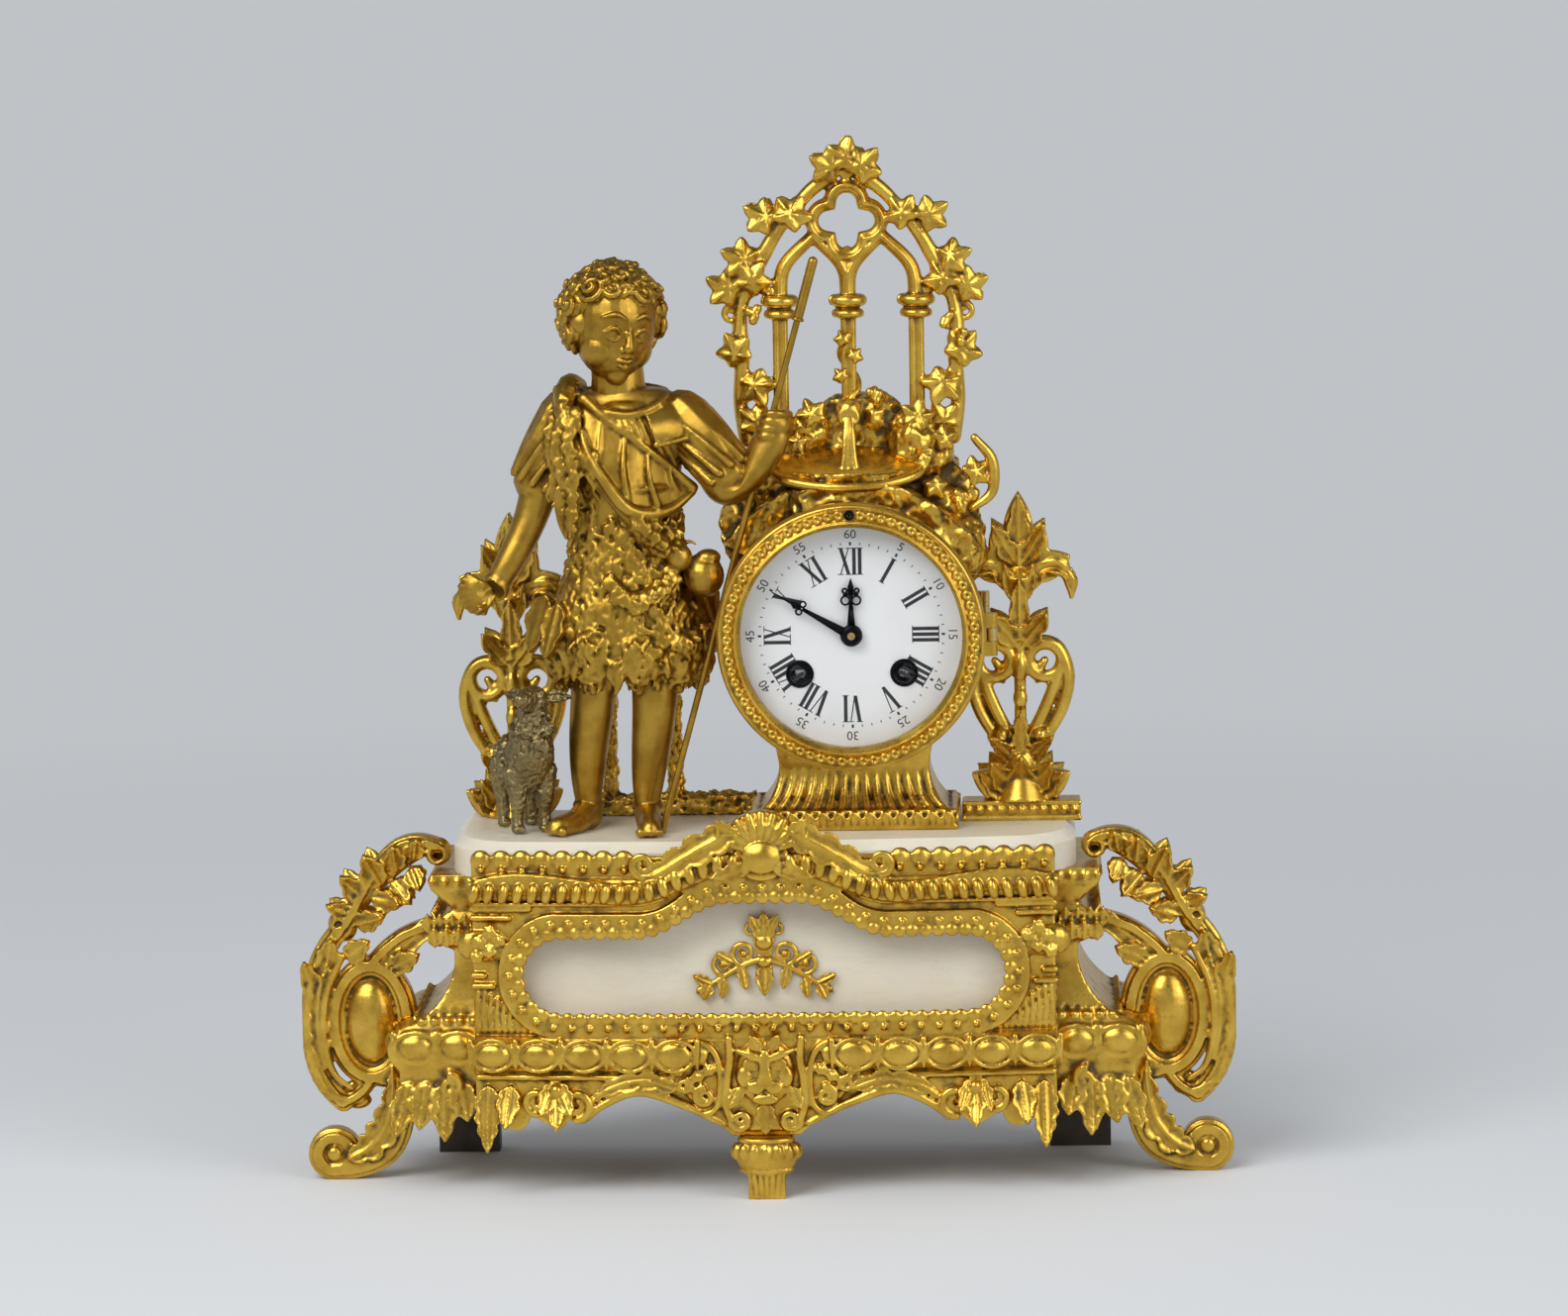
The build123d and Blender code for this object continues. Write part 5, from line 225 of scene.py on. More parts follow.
class Clay:
    """Closed shapes in millimetres that are joined into one piece."""

    def __init__(self):
        self.points = []
        self.faces = []
        self.total = 0

    def add(self, points, faces):
        points = np.asarray(points, float)
        self.faces.extend([tuple(i + self.total for i in face) for face in faces])
        self.points.append(points)
        self.total += len(points)

    def mark(self):
        return len(self.points)

    def move(self, mark, change):
        for k in range(mark, len(self.points)):
            self.points[k] = change(self.points[k])

    def node(self, name):
        """A copy of a solid of the part."""
        data = frame["nodes"][name].data
        place = np.empty(len(data.vertices) * 3)
        data.vertices.foreach_get("co", place)
        self.add(place.reshape(-1, 3) / MM, [tuple(p.vertices) for p in data.polygons])

    def ball(self, at, radii, detail=PLAIN, turn=(0, 0, 0)):
        points, faces = ball_mesh(*detail)
        radii = np.broadcast_to(np.asarray(radii, float), 3)
        spin = np.array(Euler([math.radians(a) for a in turn]).to_matrix())
        self.add((points * radii) @ spin.T + np.asarray(at, float), faces)

    def balls(self, rows, side=1, origin=(0.0, 0.0, 0.0)):
        """Balls from rows of place, half sizes and detail."""
        for at, radii, detail in rows:
            self.ball(np.add(mirrored(at, side), origin), radii, detail)

    def tube(self, path, radii, deep=1.0, sides=9, caps=True):
        """A round bar along a path; deep flattens or thickens it from front to back."""
        path = np.asarray(path, float)
        radii = taper(np.atleast_1d(radii), len(path))
        if caps:
            path, radii = rounded_ends(path, radii)
        ahead = np.gradient(path, axis=0)
        ahead /= np.linalg.norm(ahead, axis=1)[:, None]
        angle = 2 * np.pi * np.arange(sides) / sides
        points = []
        for place, forward, radius in zip(path, ahead, radii):
            side = np.cross(forward, np.array((0.0, -1.0, 0.0)))
            if np.linalg.norm(side) < LEAST_SIDE:
                side = np.cross(forward, (1.0, 0.0, 0.0))
            side = unit(side)
            out = np.cross(side, forward)
            circle = np.outer(np.cos(angle), side) + deep * np.outer(np.sin(angle), out)
            points.append(place + radius * circle)
        last = (len(points) - 1) * sides
        faces = [tuple(range(sides))[::-1], tuple(last + k for k in range(sides))]
        for row in range(0, last, sides):
            for k in range(sides):
                after = (k + 1) % sides
                faces.append((row + k, row + after, row + sides + after, row + sides + k))
        self.add(np.vstack(points), faces)

    def ring(self, path, radii, deep=1.0, sides=9):
        self.tube(path, radii, deep, sides, caps=False)

    def scrolls(self, rows, side=1, deep=1.0, origin=(0.0, 0.0, 0.0)):
        """Scrolls from rows of centre, two radii, angles (start, lean, sweep), count and thickness."""
        for at, (first, last), (start, lean, sweep), count, thick in rows:
            place = np.add(mirrored(at, side), origin)
            path = spiral(place, first, last, start + side * lean, start + side * (lean + sweep), count)
            self.tube(path, thick, deep)

    def sandwich(self, top, bottom, rows):
        """A closed plate between two grids of points, each of so many rows."""
        columns = len(top) // rows
        offset = rows * columns
        faces = []
        for row in range(rows - 1):
            for c in range(columns - 1):
                a, b = row * columns + c, row * columns + c + 1
                d, e = a + columns, b + columns
                faces.append((a, b, e, d))
                faces.append((offset + a, offset + d, offset + e, offset + b))
            for c, flip in ((0, False), (columns - 1, True)):
                a, d = row * columns + c, (row + 1) * columns + c
                edge = (a, d, offset + d, offset + a)
                faces.append(edge[::-1] if flip else edge)
        for row, flip in ((0, True), (rows - 1, False)):
            for c in range(columns - 1):
                a, b = row * columns + c, row * columns + c + 1
                edge = (a, b, offset + b, offset + a)
                faces.append(edge[::-1] if flip else edge)
        self.add(top + bottom, faces)

    def sheet(self, first, last, swell, thick):
        """A soft cloth from one edge to another that swells forward in between."""
        front = []
        for row in range(SHEET_ROWS):
            share = row / (SHEET_ROWS - 1)
            lift = np.array((0.0, -swell * math.sin(math.pi * share), 0.0))
            front.extend(a + (b - a) * share + lift for a, b in zip(first, last))
        self.sandwich([place + (0, thick, 0) for place in front], front, SHEET_ROWS)

    def frond(self, path, wide, out, lobes=0, thick=1.2, rib=0.7):
        """A leaf along a path. Its face looks out and each edge has so many lobes."""
        path = np.asarray(path, float)
        rows = len(path)
        ahead = np.gradient(path, axis=0)
        out = unit(out)
        top, bottom = [], []
        for row in range(rows):
            share = row / (rows - 1)
            forward = unit(ahead[row])
            side = unit(np.cross(forward, out))
            lift = np.cross(side, forward)
            half = wide / 2 * max(LEAF_TIP, math.sin(math.pi * share**LEAF_FULL)) ** LEAF_ROUND
            tooth = 1.0
            if lobes:
                tooth = TOOTH_LOW + TOOTH_RISE * abs(math.sin(math.pi * lobes * share)) ** TOOTH_SHARP
            for v in LEAF_ACROSS:
                reach = half * (tooth if abs(v) == 1 else min(1.0, tooth + 0.1))
                groove = 0.3 * rib if 0.5 < abs(v) < 0.7 else 0
                height = LEAF_CUP * half * v * v + rib * max(0.0, 1 - abs(v) / RIB_HALF) - groove
                place = path[row] + side * v * reach + lift * height
                top.append(place + lift * thick / 2)
                bottom.append(place - lift * thick / 2)
        self.sandwich(top, bottom, rows)

    def blade(self, at, aim, out, long, wide, curl=0.0, lobes=0, thick=1.2, rib=0.7):
        """A leaf from a point along a direction; curl is how many degrees it bends towards its face."""
        aim, out = unit(aim), unit(out)
        rows = 5 + 4 * lobes if lobes else LEAF_ROWS
        place = np.asarray(at, float)
        path = [place]
        for row in range(1, rows):
            turn = math.radians(curl) * row / (rows - 1)
            place = place + (aim * math.cos(turn) + out * math.sin(turn)) * long / (rows - 1)
            path.append(place)
        self.frond(path, wide, out, lobes, thick, rib)

    def leaves(self, rows, side=1, origin=(0.0, 0.0, 0.0), thick=1.2, rib=0.7):
        """Leaves from rows of place, direction, way the face looks, length, width, curl and teeth."""
        for at, aim, out, long, wide, curl, lobes in rows:
            place = np.add(mirrored(at, side), origin)
            self.blade(place, mirrored(aim, side), mirrored(out, side), long, wide, curl, lobes, thick, rib)

    def ivy(self, at, out, tilt, size, thick=1.1):
        """A five-pointed ivy leaf, its face looking out and its tip turned by tilt degrees from up."""
        at, out = np.asarray(at, float), unit(out)
        side = unit(np.cross((0.0, 0.0, 1.0), out))
        up = np.cross(out, side)
        top = [at + out * thick]
        bottom = [at - out * thick * 0.5]
        for ring in range(1, IVY_RINGS + 1):
            share = ring / IVY_RINGS
            for k in range(IVY_SIDES):
                angle = 2 * math.pi * k / IVY_SIDES
                run = math.degrees(min(angle, 2 * math.pi - angle))
                edge = np.interp(run, IVY_ANGLES, IVY_REACH)
                reach = size * share * (1 - share * (1 - edge))
                rib = max(0.0, 1 - min(abs(run - tip) for tip in IVY_TIPS) / IVY_RIB_TURN)
                dome = thick * (0.8 - share * share) + rib * thick * 0.7 * (1 - 0.5 * share)
                turned = angle + math.radians(tilt)
                place = at + reach * (-math.sin(turned) * side + math.cos(turned) * up)
                top.append(place + out * dome)
                bottom.append(place + out * (dome - thick))
        self.add(top + bottom, ivy_faces(len(top)))

    def slab(self, points, y_front, y_back):
        """A flat piece with the front outline (x, z)."""
        count = len(points)
        faces = [tuple(range(count)), tuple(range(2 * count - 1, count - 1, -1))]
        for k in range(count):
            after = (k + 1) % count
            faces.append((k, count + k, count + after, after))
        self.add(flat(points, y_front) + flat(points, y_back), faces)


def ivy_faces(offset):
    """Faces of an ivy leaf whose lower points start at offset."""
    faces = []
    edge = 1 + (IVY_RINGS - 1) * IVY_SIDES
    for k in range(IVY_SIDES):
        after = (k + 1) % IVY_SIDES
        faces.append((0, 1 + k, 1 + after))
        faces.append((offset, offset + 1 + after, offset + 1 + k))
        for low in range(1, edge, IVY_SIDES):
            high = low + IVY_SIDES
            faces.append((low + k, high + k, high + after, low + after))
            faces.append((offset + low + k, offset + low + after, offset + high + after, offset + high + k))
        faces.append((edge + k, offset + edge + k, offset + edge + after, edge + after))
    return faces


# Pieces
def mesh_of(name, clay):
    data = bpy.data.meshes.new(name)
    data.from_pydata((np.vstack(clay.points) * MM).tolist(), [], clay.faces)
    data.update()
    return data


def place_piece(piece, body, material, nodes=()):
    piece.data.materials.clear()
    piece.data.materials.append(material)
    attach(piece, body)
    if nodes:
        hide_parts(*nodes)
    return piece


def linked(name, data):
    piece = bpy.data.objects.new(name, data)
    bpy.context.scene.collection.objects.link(piece)
    return piece


def vertex_values(data, key):
    """Places or normals of all points of a mesh."""
    values = np.empty(len(data.vertices) * 3)
    data.vertices.foreach_get(key, values)
    return values.reshape(-1, 3)


def hollows(data):
    """Stores how deep each point lies in a hollow, for the painted shade and the dark patina in the
    recesses.
    """
    count = len(data.vertices)
    place = vertex_values(data, "co") / MM
    edges = np.empty(len(data.edges) * 2, int)
    data.edges.foreach_get("vertices", edges)
    one, two = edges.reshape(-1, 2).T
    degree = np.bincount(edges, minlength=count)
    flow = place.copy()
    for _ in range(HOLLOW_ROUNDS):
        total = np.empty_like(flow)
        for k in range(3):
            first = np.bincount(one, weights=flow[two, k], minlength=count)
            total[:, k] = first + np.bincount(two, weights=flow[one, k], minlength=count)
        flow = HOLLOW_KEPT * flow + (1 - HOLLOW_KEPT) * total / np.maximum(degree, 1)[:, None]
    depth = ((flow - place) * vertex_values(data, "normal")).sum(axis=1)
    attribute = data.attributes.new("hollow", "FLOAT", "POINT")
    attribute.data.foreach_set("value", depth.astype(np.float32))


def shade_smooth(data):
    data.polygons.foreach_set("use_smooth", np.ones(len(data.polygons), bool))


def skin_over(name, clay, voxel, soften):
    """One closed skin over all the shapes, eased so many times."""
    piece = linked(name, mesh_of(name, clay))
    skin = piece.modifiers.new("skin", "REMESH")
    skin.mode = "VOXEL"
    skin.voxel_size = voxel * MM
    ease = piece.modifiers.new("ease", "SMOOTH")
    ease.factor = 0.5
    ease.iterations = soften
    ready = piece.evaluated_get(bpy.context.evaluated_depsgraph_get())
    data = bpy.data.meshes.new_from_object(ready)
    piece.modifiers.clear()
    piece.data = data
    data.name = name
    return piece


def cast(name, clay, voxel, soften, material, nodes=(), change=None, body="case"):
    """Joins the shapes into one skin, as a cast and chased metal piece."""
    piece = skin_over(name, clay, voxel, soften)
    data = piece.data
    if change:
        moved = change(vertex_values(data, "co") / MM, vertex_values(data, "normal")) * MM
        data.vertices.foreach_set("co", moved.ravel())
        data.update()
    shade_smooth(data)
    hollows(data)
    place_piece(piece, body, material, nodes)


def smooth_piece(name, clay, body, material, nodes=()):
    """Shapes kept as they are, shaded smooth."""
    data = mesh_of(name, clay)
    shade_smooth(data)
    return place_piece(linked(name, data), body, material, nodes)


# Finishes: bright colour, deep colour (the painted shade in the hollows, and also the worn patches), dirt
# colour of the patina, depths of the patina, roughness range and grain
METALS = {
    "gilt": ((0.77, 0.50, 0.08), (0.46, 0.25, 0.03), (0.06, 0.05, 0.034), (0.04, 0.36), (0.25, 0.36), 0.12),
    "olive_gilt": ((0.53, 0.325, 0.05), (0.26, 0.135, 0.015), (0.045, 0.03, 0.012), (0.06, 0.4),
    (0.32, 0.44), 0.35),
    "pewter": ((0.36, 0.28, 0.13), (0.17, 0.12, 0.05), (0.04, 0.03, 0.016), (0.08, 0.4), (0.36, 0.48), 0.1),
    "dark_iron": ((0.12, 0.10, 0.085), (0.06, 0.05, 0.04), (0.02, 0.018, 0.015), (0.3, 0.7),
    (0.45, 0.6), 0.3),
    "brass": ((0.72, 0.52, 0.20), (0.50, 0.32, 0.10), (0.15, 0.10, 0.05), (0.5, 1.0), (0.22, 0.38), 0.12),
    "steel": ((0.55, 0.56, 0.58), (0.38, 0.38, 0.40), (0.12, 0.12, 0.12), (0.5, 1.0), (0.2, 0.34), 0.12),
    "bell_metal": ((0.66, 0.55, 0.36), (0.42, 0.32, 0.18), (0.14, 0.11, 0.07), (0.5, 1.0), (0.18, 0.3),
    0.1),
    "black_hands": (
        (0.012, 0.012, 0.016), (0.006, 0.006, 0.008), (0.003, 0.003, 0.003), (0.5, 1.0), (0.25, 0.4), 0.08)}
NOISE_RANGE = (0.3, 0.7)
PATCH_SIZE = 9.0
PATCH_RANGE = (0.4, 0.65)
PATCH_SHARE = 0.65
GRAIN_SIZE = 1.1
GRAIN_DEPTH = 0.06
STAIN_SIZE = 5.0
STAIN_RANGE = (0.3, 0.8)
STAIN_DEPTHS = (-0.25, 0.3)
# Depths of a hollow over which the colour goes from bright to deep: painted shade in the recesses
PAINTED_SHADE_DEPTHS = (-0.15, 0.45)
PATINA_SHARE = 0.85
PATINA_DULL = 0.3
STONE_MILK = (0.74, 0.70, 0.58)
STONE_BAND = (0.67, 0.61, 0.48)
STONE_WARM = (0.74, 0.66, 0.47)
STONE_VEIN = (0.60, 0.56, 0.46)


class Paint:
    """A node material around one principled shader."""

    def __init__(self, name):
        self.material = bpy.data.materials.new(name)
        self.material.use_nodes = True
        self.tree = self.material.node_tree
        self.shader = self.tree.nodes["Principled BSDF"]
        self.place = self.tree.nodes.new("ShaderNodeTexCoord").outputs["Object"]

    def node(self, kind, **settings):
        made = self.tree.nodes.new("ShaderNode" + kind)
        for key, value in settings.items():
            setattr(made, key, value)
        return made

    def join(self, source, target):
        self.tree.links.new(source, target)

    def set(self, **sockets):
        for key, value in sockets.items():
            self.shader.inputs[key.replace("_", " ")].default_value = value

    def cloud(self, size, detail=4.0, rough=0.55, stretch=(1, 1, 1)):
        """Noise whose patches are about size millimetres across."""
        mapping = self.node("Mapping")
        mapping.inputs["Scale"].default_value = stretch
        self.join(self.place, mapping.inputs["Vector"])
        made = self.node("TexNoise")
        made.inputs["Scale"].default_value = 1 / (size * MM)
        made.inputs["Detail"].default_value = detail
        made.inputs["Roughness"].default_value = rough
        self.join(mapping.outputs["Vector"], made.inputs["Vector"])
        return made.outputs["Fac"]

    def ramp(self, source, low, high, first, last):
        """Values from first to last as the source goes from low to high."""
        made = self.node("MapRange", clamp=True)
        for key, value in (("From Min", low), ("From Max", high), ("To Min", first), ("To Max", last)):
            made.inputs[key].default_value = value
        self.join(source, made.inputs["Value"])
        return made.outputs["Result"]

    def mix(self, factor, first, last):
        made = self.node("Mix", data_type="RGBA")
        self.join(factor, made.inputs["Factor"])
        for key, value in (("A", first), ("B", last)):
            socket = [s for s in made.inputs if s.name == key and s.type == "RGBA"][0]
            if isinstance(value, tuple):
                socket.default_value = (*value, 1.0)
            else:
                self.join(value, socket)
        return [s for s in made.outputs if s.type == "RGBA"][0]

    def math(self, kind, first, second):
        made = self.node("Math", operation=kind)
        for socket, value in zip(made.inputs, (first, second)):
            if isinstance(value, (int, float)):
                socket.default_value = value
            else:
                self.join(value, socket)
        return made.outputs["Value"]

    def colour(self, source):
        self.join(source, self.shader.inputs["Base Color"])

    def tone(self, source, first, last):
        """A colour that wanders between two with a noise."""
        self.colour(self.mix(self.ramp(source, *NOISE_RANGE, 0.0, 1.0), first, last))

    def rough(self, source):
        self.join(source, self.shader.inputs["Roughness"])

    def gloss(self, source, first, last):
        """A roughness that wanders between two values with a noise."""
        self.rough(self.ramp(source, *NOISE_RANGE, first, last))

    def bump(self, source, strength, distance):
        made = self.node("Bump")
        made.inputs["Strength"].default_value = strength
        made.inputs["Distance"].default_value = distance * MM
        self.join(source, made.inputs["Height"])
        self.join(made.outputs["Normal"], self.shader.inputs["Normal"])


def metal(name):
    """Metal with painted shade in the hollows, dull patches and dark patina in the recesses."""
    bright, deep, dirt, patina, roughness, grain = METALS[name]
    paint = Paint(name)
    paint.set(Metallic=1.0)
    hollow = paint.node("Attribute", attribute_name="hollow").outputs["Fac"]
    fine = paint.cloud(GRAIN_SIZE)
    # Painted shade: the deeper a point lies in a hollow, the more its colour turns from bright to deep
    warm = paint.mix(paint.ramp(hollow, *PAINTED_SHADE_DEPTHS, 0.0, 1.0), bright, deep)
    worn = paint.mix(paint.ramp(paint.cloud(PATCH_SIZE), *PATCH_RANGE, 0.0, PATCH_SHARE), warm, deep)
    stain = paint.ramp(paint.cloud(STAIN_SIZE), *STAIN_RANGE, *STAIN_DEPTHS)
    dark = paint.ramp(paint.math("ADD", hollow, stain), *patina, 0.0, PATINA_SHARE)
    paint.colour(paint.mix(dark, worn, dirt))
    shine = paint.ramp(fine, *NOISE_RANGE, *roughness)
    paint.rough(paint.math("ADD", shine, paint.math("MULTIPLY", dark, PATINA_DULL)))
    paint.bump(fine, grain, GRAIN_DEPTH)
    return paint.material


def stone():
    """Milky alabaster with faint veins and scratches."""
    paint = Paint("alabaster")
    paint.set(Subsurface_Weight=0.35, Subsurface_Scale=0.006, Subsurface_Radius=(1.0, 0.85, 0.7))
    paint.set(Specular_IOR_Level=0.45)
    bands = paint.cloud(60.0, 6.0, 0.6, (1.0, 1.0, 2.2))
    veins = paint.cloud(24.0, 8.0, 0.7, (0.6, 1.0, 1.8))
    thin = paint.ramp(paint.math("ABSOLUTE", paint.math("SUBTRACT", veins, 0.5), 0.0), 0.0, 0.035, 1.0, 0.0)
    milk = paint.mix(paint.ramp(bands, 0.35, 0.7, 0.0, 1.0), STONE_MILK, STONE_BAND)
    warm = paint.mix(paint.ramp(paint.cloud(35.0), 0.5, 0.8, 0.0, 0.5), milk, STONE_WARM)
    paint.colour(paint.mix(paint.math("MULTIPLY", thin, 0.3), warm, STONE_VEIN))
    scratch = paint.cloud(2.0, 3.0, 0.6, (0.15, 1.0, 1.6))
    paint.gloss(scratch, 0.26, 0.42)
    paint.bump(scratch, 0.12, 0.1)
    return paint.material


def enamel():
    paint = Paint("enamel")
    paint.set(Coat_Weight=0.6, Coat_Roughness=0.05, Specular_IOR_Level=0.5)
    tone = paint.cloud(22.0)
    paint.tone(tone, (0.90, 0.91, 0.91), (0.86, 0.87, 0.87))
    paint.gloss(paint.cloud(3.0), 0.14, 0.22)
    paint.bump(tone, 0.03, 0.1)
    return paint.material


def ink():
    paint = Paint("dial_ink")
    tone = paint.cloud(2.0)
    paint.tone(tone, (0.012, 0.012, 0.014), (0.03, 0.03, 0.034))
    paint.gloss(tone, 0.3, 0.45)
    return paint.material


def clear_glass():
    paint = Paint("clear_glass")
    paint.set(Transmission_Weight=1.0, IOR=1.12, Specular_IOR_Level=0.5)
    tone = paint.cloud(30.0)
    paint.tone(tone, (1.0, 1.0, 1.0), (0.985, 0.99, 0.99))
    paint.gloss(tone, 0.0, 0.01)
    return paint.material


GILT = metal("gilt")
OLIVE = metal("olive_gilt")
PEWTER = metal("pewter")
BLUED = metal("black_hands")
INK = ink()
SLOT_PAINT = {
    "gilt_bronze": GILT, "olive_gilt": OLIVE, "pewter": PEWTER, "alabaster": stone(),
    "dark_iron": metal("dark_iron"),
    "enamel": enamel(), "black_hands": BLUED, "clear_glass": clear_glass(),
    "bell_metal": metal("bell_metal"),
    "steel": metal("steel"), "brass_work": metal("brass")}


def paint_nodes():
    """Every solid of the part takes the finish of its slot."""
    for entry in frame["record"]["subparts"]:
        node = frame["nodes"][entry["node"]]
        slot = entry["material_slot"]
        node.data.materials.clear()
        node.data.materials.append(SLOT_PAINT[slot])


paint_nodes()


# Front casting: its relief is drawn on a flat front at depth 0 and then laid on the bow
BOW_RADIUS = 870.0
FACE_Y = -44.0
RELIEF_PLAIN = -48.0
RELIEF_SOFT = 3.0
RELIEF_SHARE = 0.78
OPENING_LOW = 64.5
OPENING_HIGH = 93.5
OPENING_PEAK = 106.0
OPENING_HALF = 70.5
OPENING_LOBE = 85.5
OPENING_POINTS = 14
RISE_OUT = 44.0
RISE_IN = 13.0
RISE_POINTS = 12
RIM_WIDE = 7.6
RIM_OUT = 2.4
RIM_PITCH = 6.4
EDGE_PITCH = 4.6
GADROON_Z = 108.5
GADROON_CREST = 118.5
GADROON_OUT = 3.4
GADROON_PITCH = 5.2
GADROON_LEAN = 12
GADROON_RAIL = 4.1
STRIP_Z = 116.5
FRONT_TOP = 121.0
FRONT_HALF = 101.0
OVOLO_Z = 51.2
OVOLO_OUT = 5.0
OVAL_PITCH = 16.0
OVAL_FIRST = 31.5
OVAL_COUNT = 5
OVAL_WIDE = 6.0
OVAL_TALL = 4.4
OVAL_DEEP = 2.4
OVAL_RING = (1.3, 1.2)
DART_HALF = np.array((0, 0, 5.0))
PETAL_REACH = 1.5
PETAL_HEART = 0.9

# Lion-like mask
MASK_FLOOR = 1.0
MASK_HALF = 34.0
MASK_TOP = 57.5
MASK_EYE = (4.8, -5.8, 48.2)
MASK_EYE_HALF = (2.6, 1.7)
MASK_NOSE = ((0, -6.4, 52), (0, -8.2, 47), (0, -9.2, 43.6))
MASK_BROW = ((1.4, -7.4, 50), (5, -7.6, 51.4), (9.8, -4.6, 53))
MASK_BALLS = (
    ((0, -2.6, 45), (10.2, 3.4, 11.5), LARGE), ((0, -9.0, 42.8), (3.0, 1.8, 2.0), PLAIN),
    ((0, -6.0, 35.6), (4.8, 2.0, 1.9), PLAIN))
MASK_SIDE_BALLS = (
    ((4.8, -5.2, 48.2), (1.9, 1.5, 1.2), PLAIN), ((3.3, -7.2, 39.9), (3.2, 2.2, 2.3), PLAIN),
    ((7.2, -4.8, 43.6), (2.8, 2.4, 3.8), PLAIN))
MASK_BEARD = (((0, -4.4, 34), (0, -0.1, -1.0), FRONT, 11.0, 7.0, 10, 3),)
MASK_LEAVES = (
    ((2.0, -4.6, 53), (0.6, -0.2, 1.0), FRONT_UP, 6.5, 4.4, 20, 2),
    ((8.6, -3.6, 40), (0.5, -0.1, -1.0), FRONT, 9.0, 4.6, 20, 2))

# Cartouche round the mask
PLATE = ((34, 56), (33, 43), (26, 35), (15, 27), (9, 24))
PLATE_DEPTHS = (-2.4, -0.4)
STRAP = ((12.6, 57), (12.2, 50), (13.4, 42), (13.8, 34), (12.2, 28.4))
FLOWER_FRAME = ((32.6, 55), (25, 56), (19.4, 54), (16.4, 49), (15.6, 41), (17, 33), (21.3, 30.2), (27, 33))
CARTOUCHE_BOSS = ((24.0, -3.2, 50.4), (4.6, 2.2, 3.4), 30)
CARTOUCHE_FLOWERS = ((19.6, 46), (30, 50.5), (23.5, 43.8), (30.4, 46))
CARTOUCHE_SCROLLS = (
    ((8.8, -3.6, 28.0), (3.6, 0.9), (90, -110, -470), 30, (1.4, 1.2, 0.9)),
    ((21.4, -3.4, 36.4), (3.6, 0.9), (100, 0, -520), 28, (1.2, 1.1, 0.8)),
    ((28.4, -3.4, 40.4), (2.8, 0.8), (60, 0, 480), 24, (1.0, 0.9, 0.7)))

# Crest over the panel
CREST_Z = 122.5
CREST_LONG = 13.5
CREST_RIBS = 9
CREST_ROOT = (5.0, 4.0)
CREST_TURNS = (18, 162)
CREST_DEPTHS = (-4.4, -5.2, -3.4)
CREST_BOSS_DROP = 1.5
CREST_BOSS = (7.0, 4.2, 5.8)
CREST_RING = (8.6, 7.4)
CREST_ARM = ((8, -3.4, 130.5), (15, -4.6, 127.5), (26, -4.4, 121.5), (36, -3.4, 115.5), (41, -3.2, 114.4))
CREST_SCROLLS = (((41.5, -3.4, 118.4), (4.2, 1.2), (-90, 0, 480), 30, (1.6, 1.3, 1.0)),)
CREST_LEAVES = (
    ((10, -3.6, 128), (0.8, -0.3, 0.9), FRONT, 10.0, 6.0, 40, 3),
    ((4, -4.0, 117.5), (1.0, -0.2, -0.25), FRONT, 15.0, 5.5, 10, 3))

# Apron below the egg band
APRON_EDGE = ((15, 26.5), (28, 33.0), (44, 38.0), (56, 34.0), (64, 28.0))
APRON_FROND = ((30, 38.5), (42, 42.0), (54, 39.5), (63, 33.5))
APRON_RAIL = ((33, 43.0), (101, 43.0))
APRON_SCROLLS = (
    ((66.5, -2.2, 33.5), (5.2, 1.2), (-90, 0, -520), 34, (1.8, 1.5, 1.0)),
    ((80.5, -2.0, 34.5), (4.4, 1.0), (-90, 0, 480), 30, (1.6, 1.3, 0.9)))
APRON_LEAVES = (
    ((73.5, -1.2, 41), (-0.5, -0.25, -1.0), FRONT, 13, 7.5, 20, 3),
    ((73.5, -1.2, 41), (0.0, -0.25, -1.0), FRONT, 17, 7.5, 20, 3),
    ((73.5, -1.2, 41), (0.5, -0.25, -1.0), FRONT, 13, 7.5, 20, 3),
    ((89.5, -1.2, 40), (0.15, -0.2, -1.0), FRONT, 15.5, 8.0, 18, 3))
APRON_CORNER = (((97.5, -1.0, 40), (0.02, -0.15, -1.0), FRONT, 23.5, 9.0, 10, 5),)
APRON_BALLS = (((73.5, -3.0, 38.5), (2.3, 1.8, 2.3), PLAIN),)

# Corners beside the ends of the panel
FLUTES_X = np.arange(82.0, 102.0, 2.3)
FLUTE_LOW = 59.5
FLUTE_BOW = 0.6
FLUTE_TOPS = (61.0, 73.0)
FLUTE_RISE = 13.5
FLUTE_RUN = (78.0, 22.0)
CORNER_END = 102.0
CORNER_RIBS = ((95.0, 75.2), (98.0, 79.0), (89.0, 99.4), (82.0, 102.6))
CORNER_ROLL = ((95.0, 89.5), (CORNER_END, 89.5))
CORNER_FLOWERS = ((92.5, 92, 30), (96, 88, -20), (96, 95, 60), (99.5, 91.5, 10), (100.5, 86, -50))


def bow_depth(points):
    return FACE_Y + points[:, 0] ** 2 / (2 * BOW_RADIUS)


def bowed(points):
    """Lays a relief on the bowed front and eases its highest points back to the front of the part."""
    points = points.copy()
    points[:, 1] += bow_depth(points)
    proud = np.maximum(RELIEF_PLAIN - points[:, 1], 0.0)
    points[:, 1] += proud - RELIEF_SOFT * (1 - np.exp(-proud / RELIEF_SOFT))
    return points


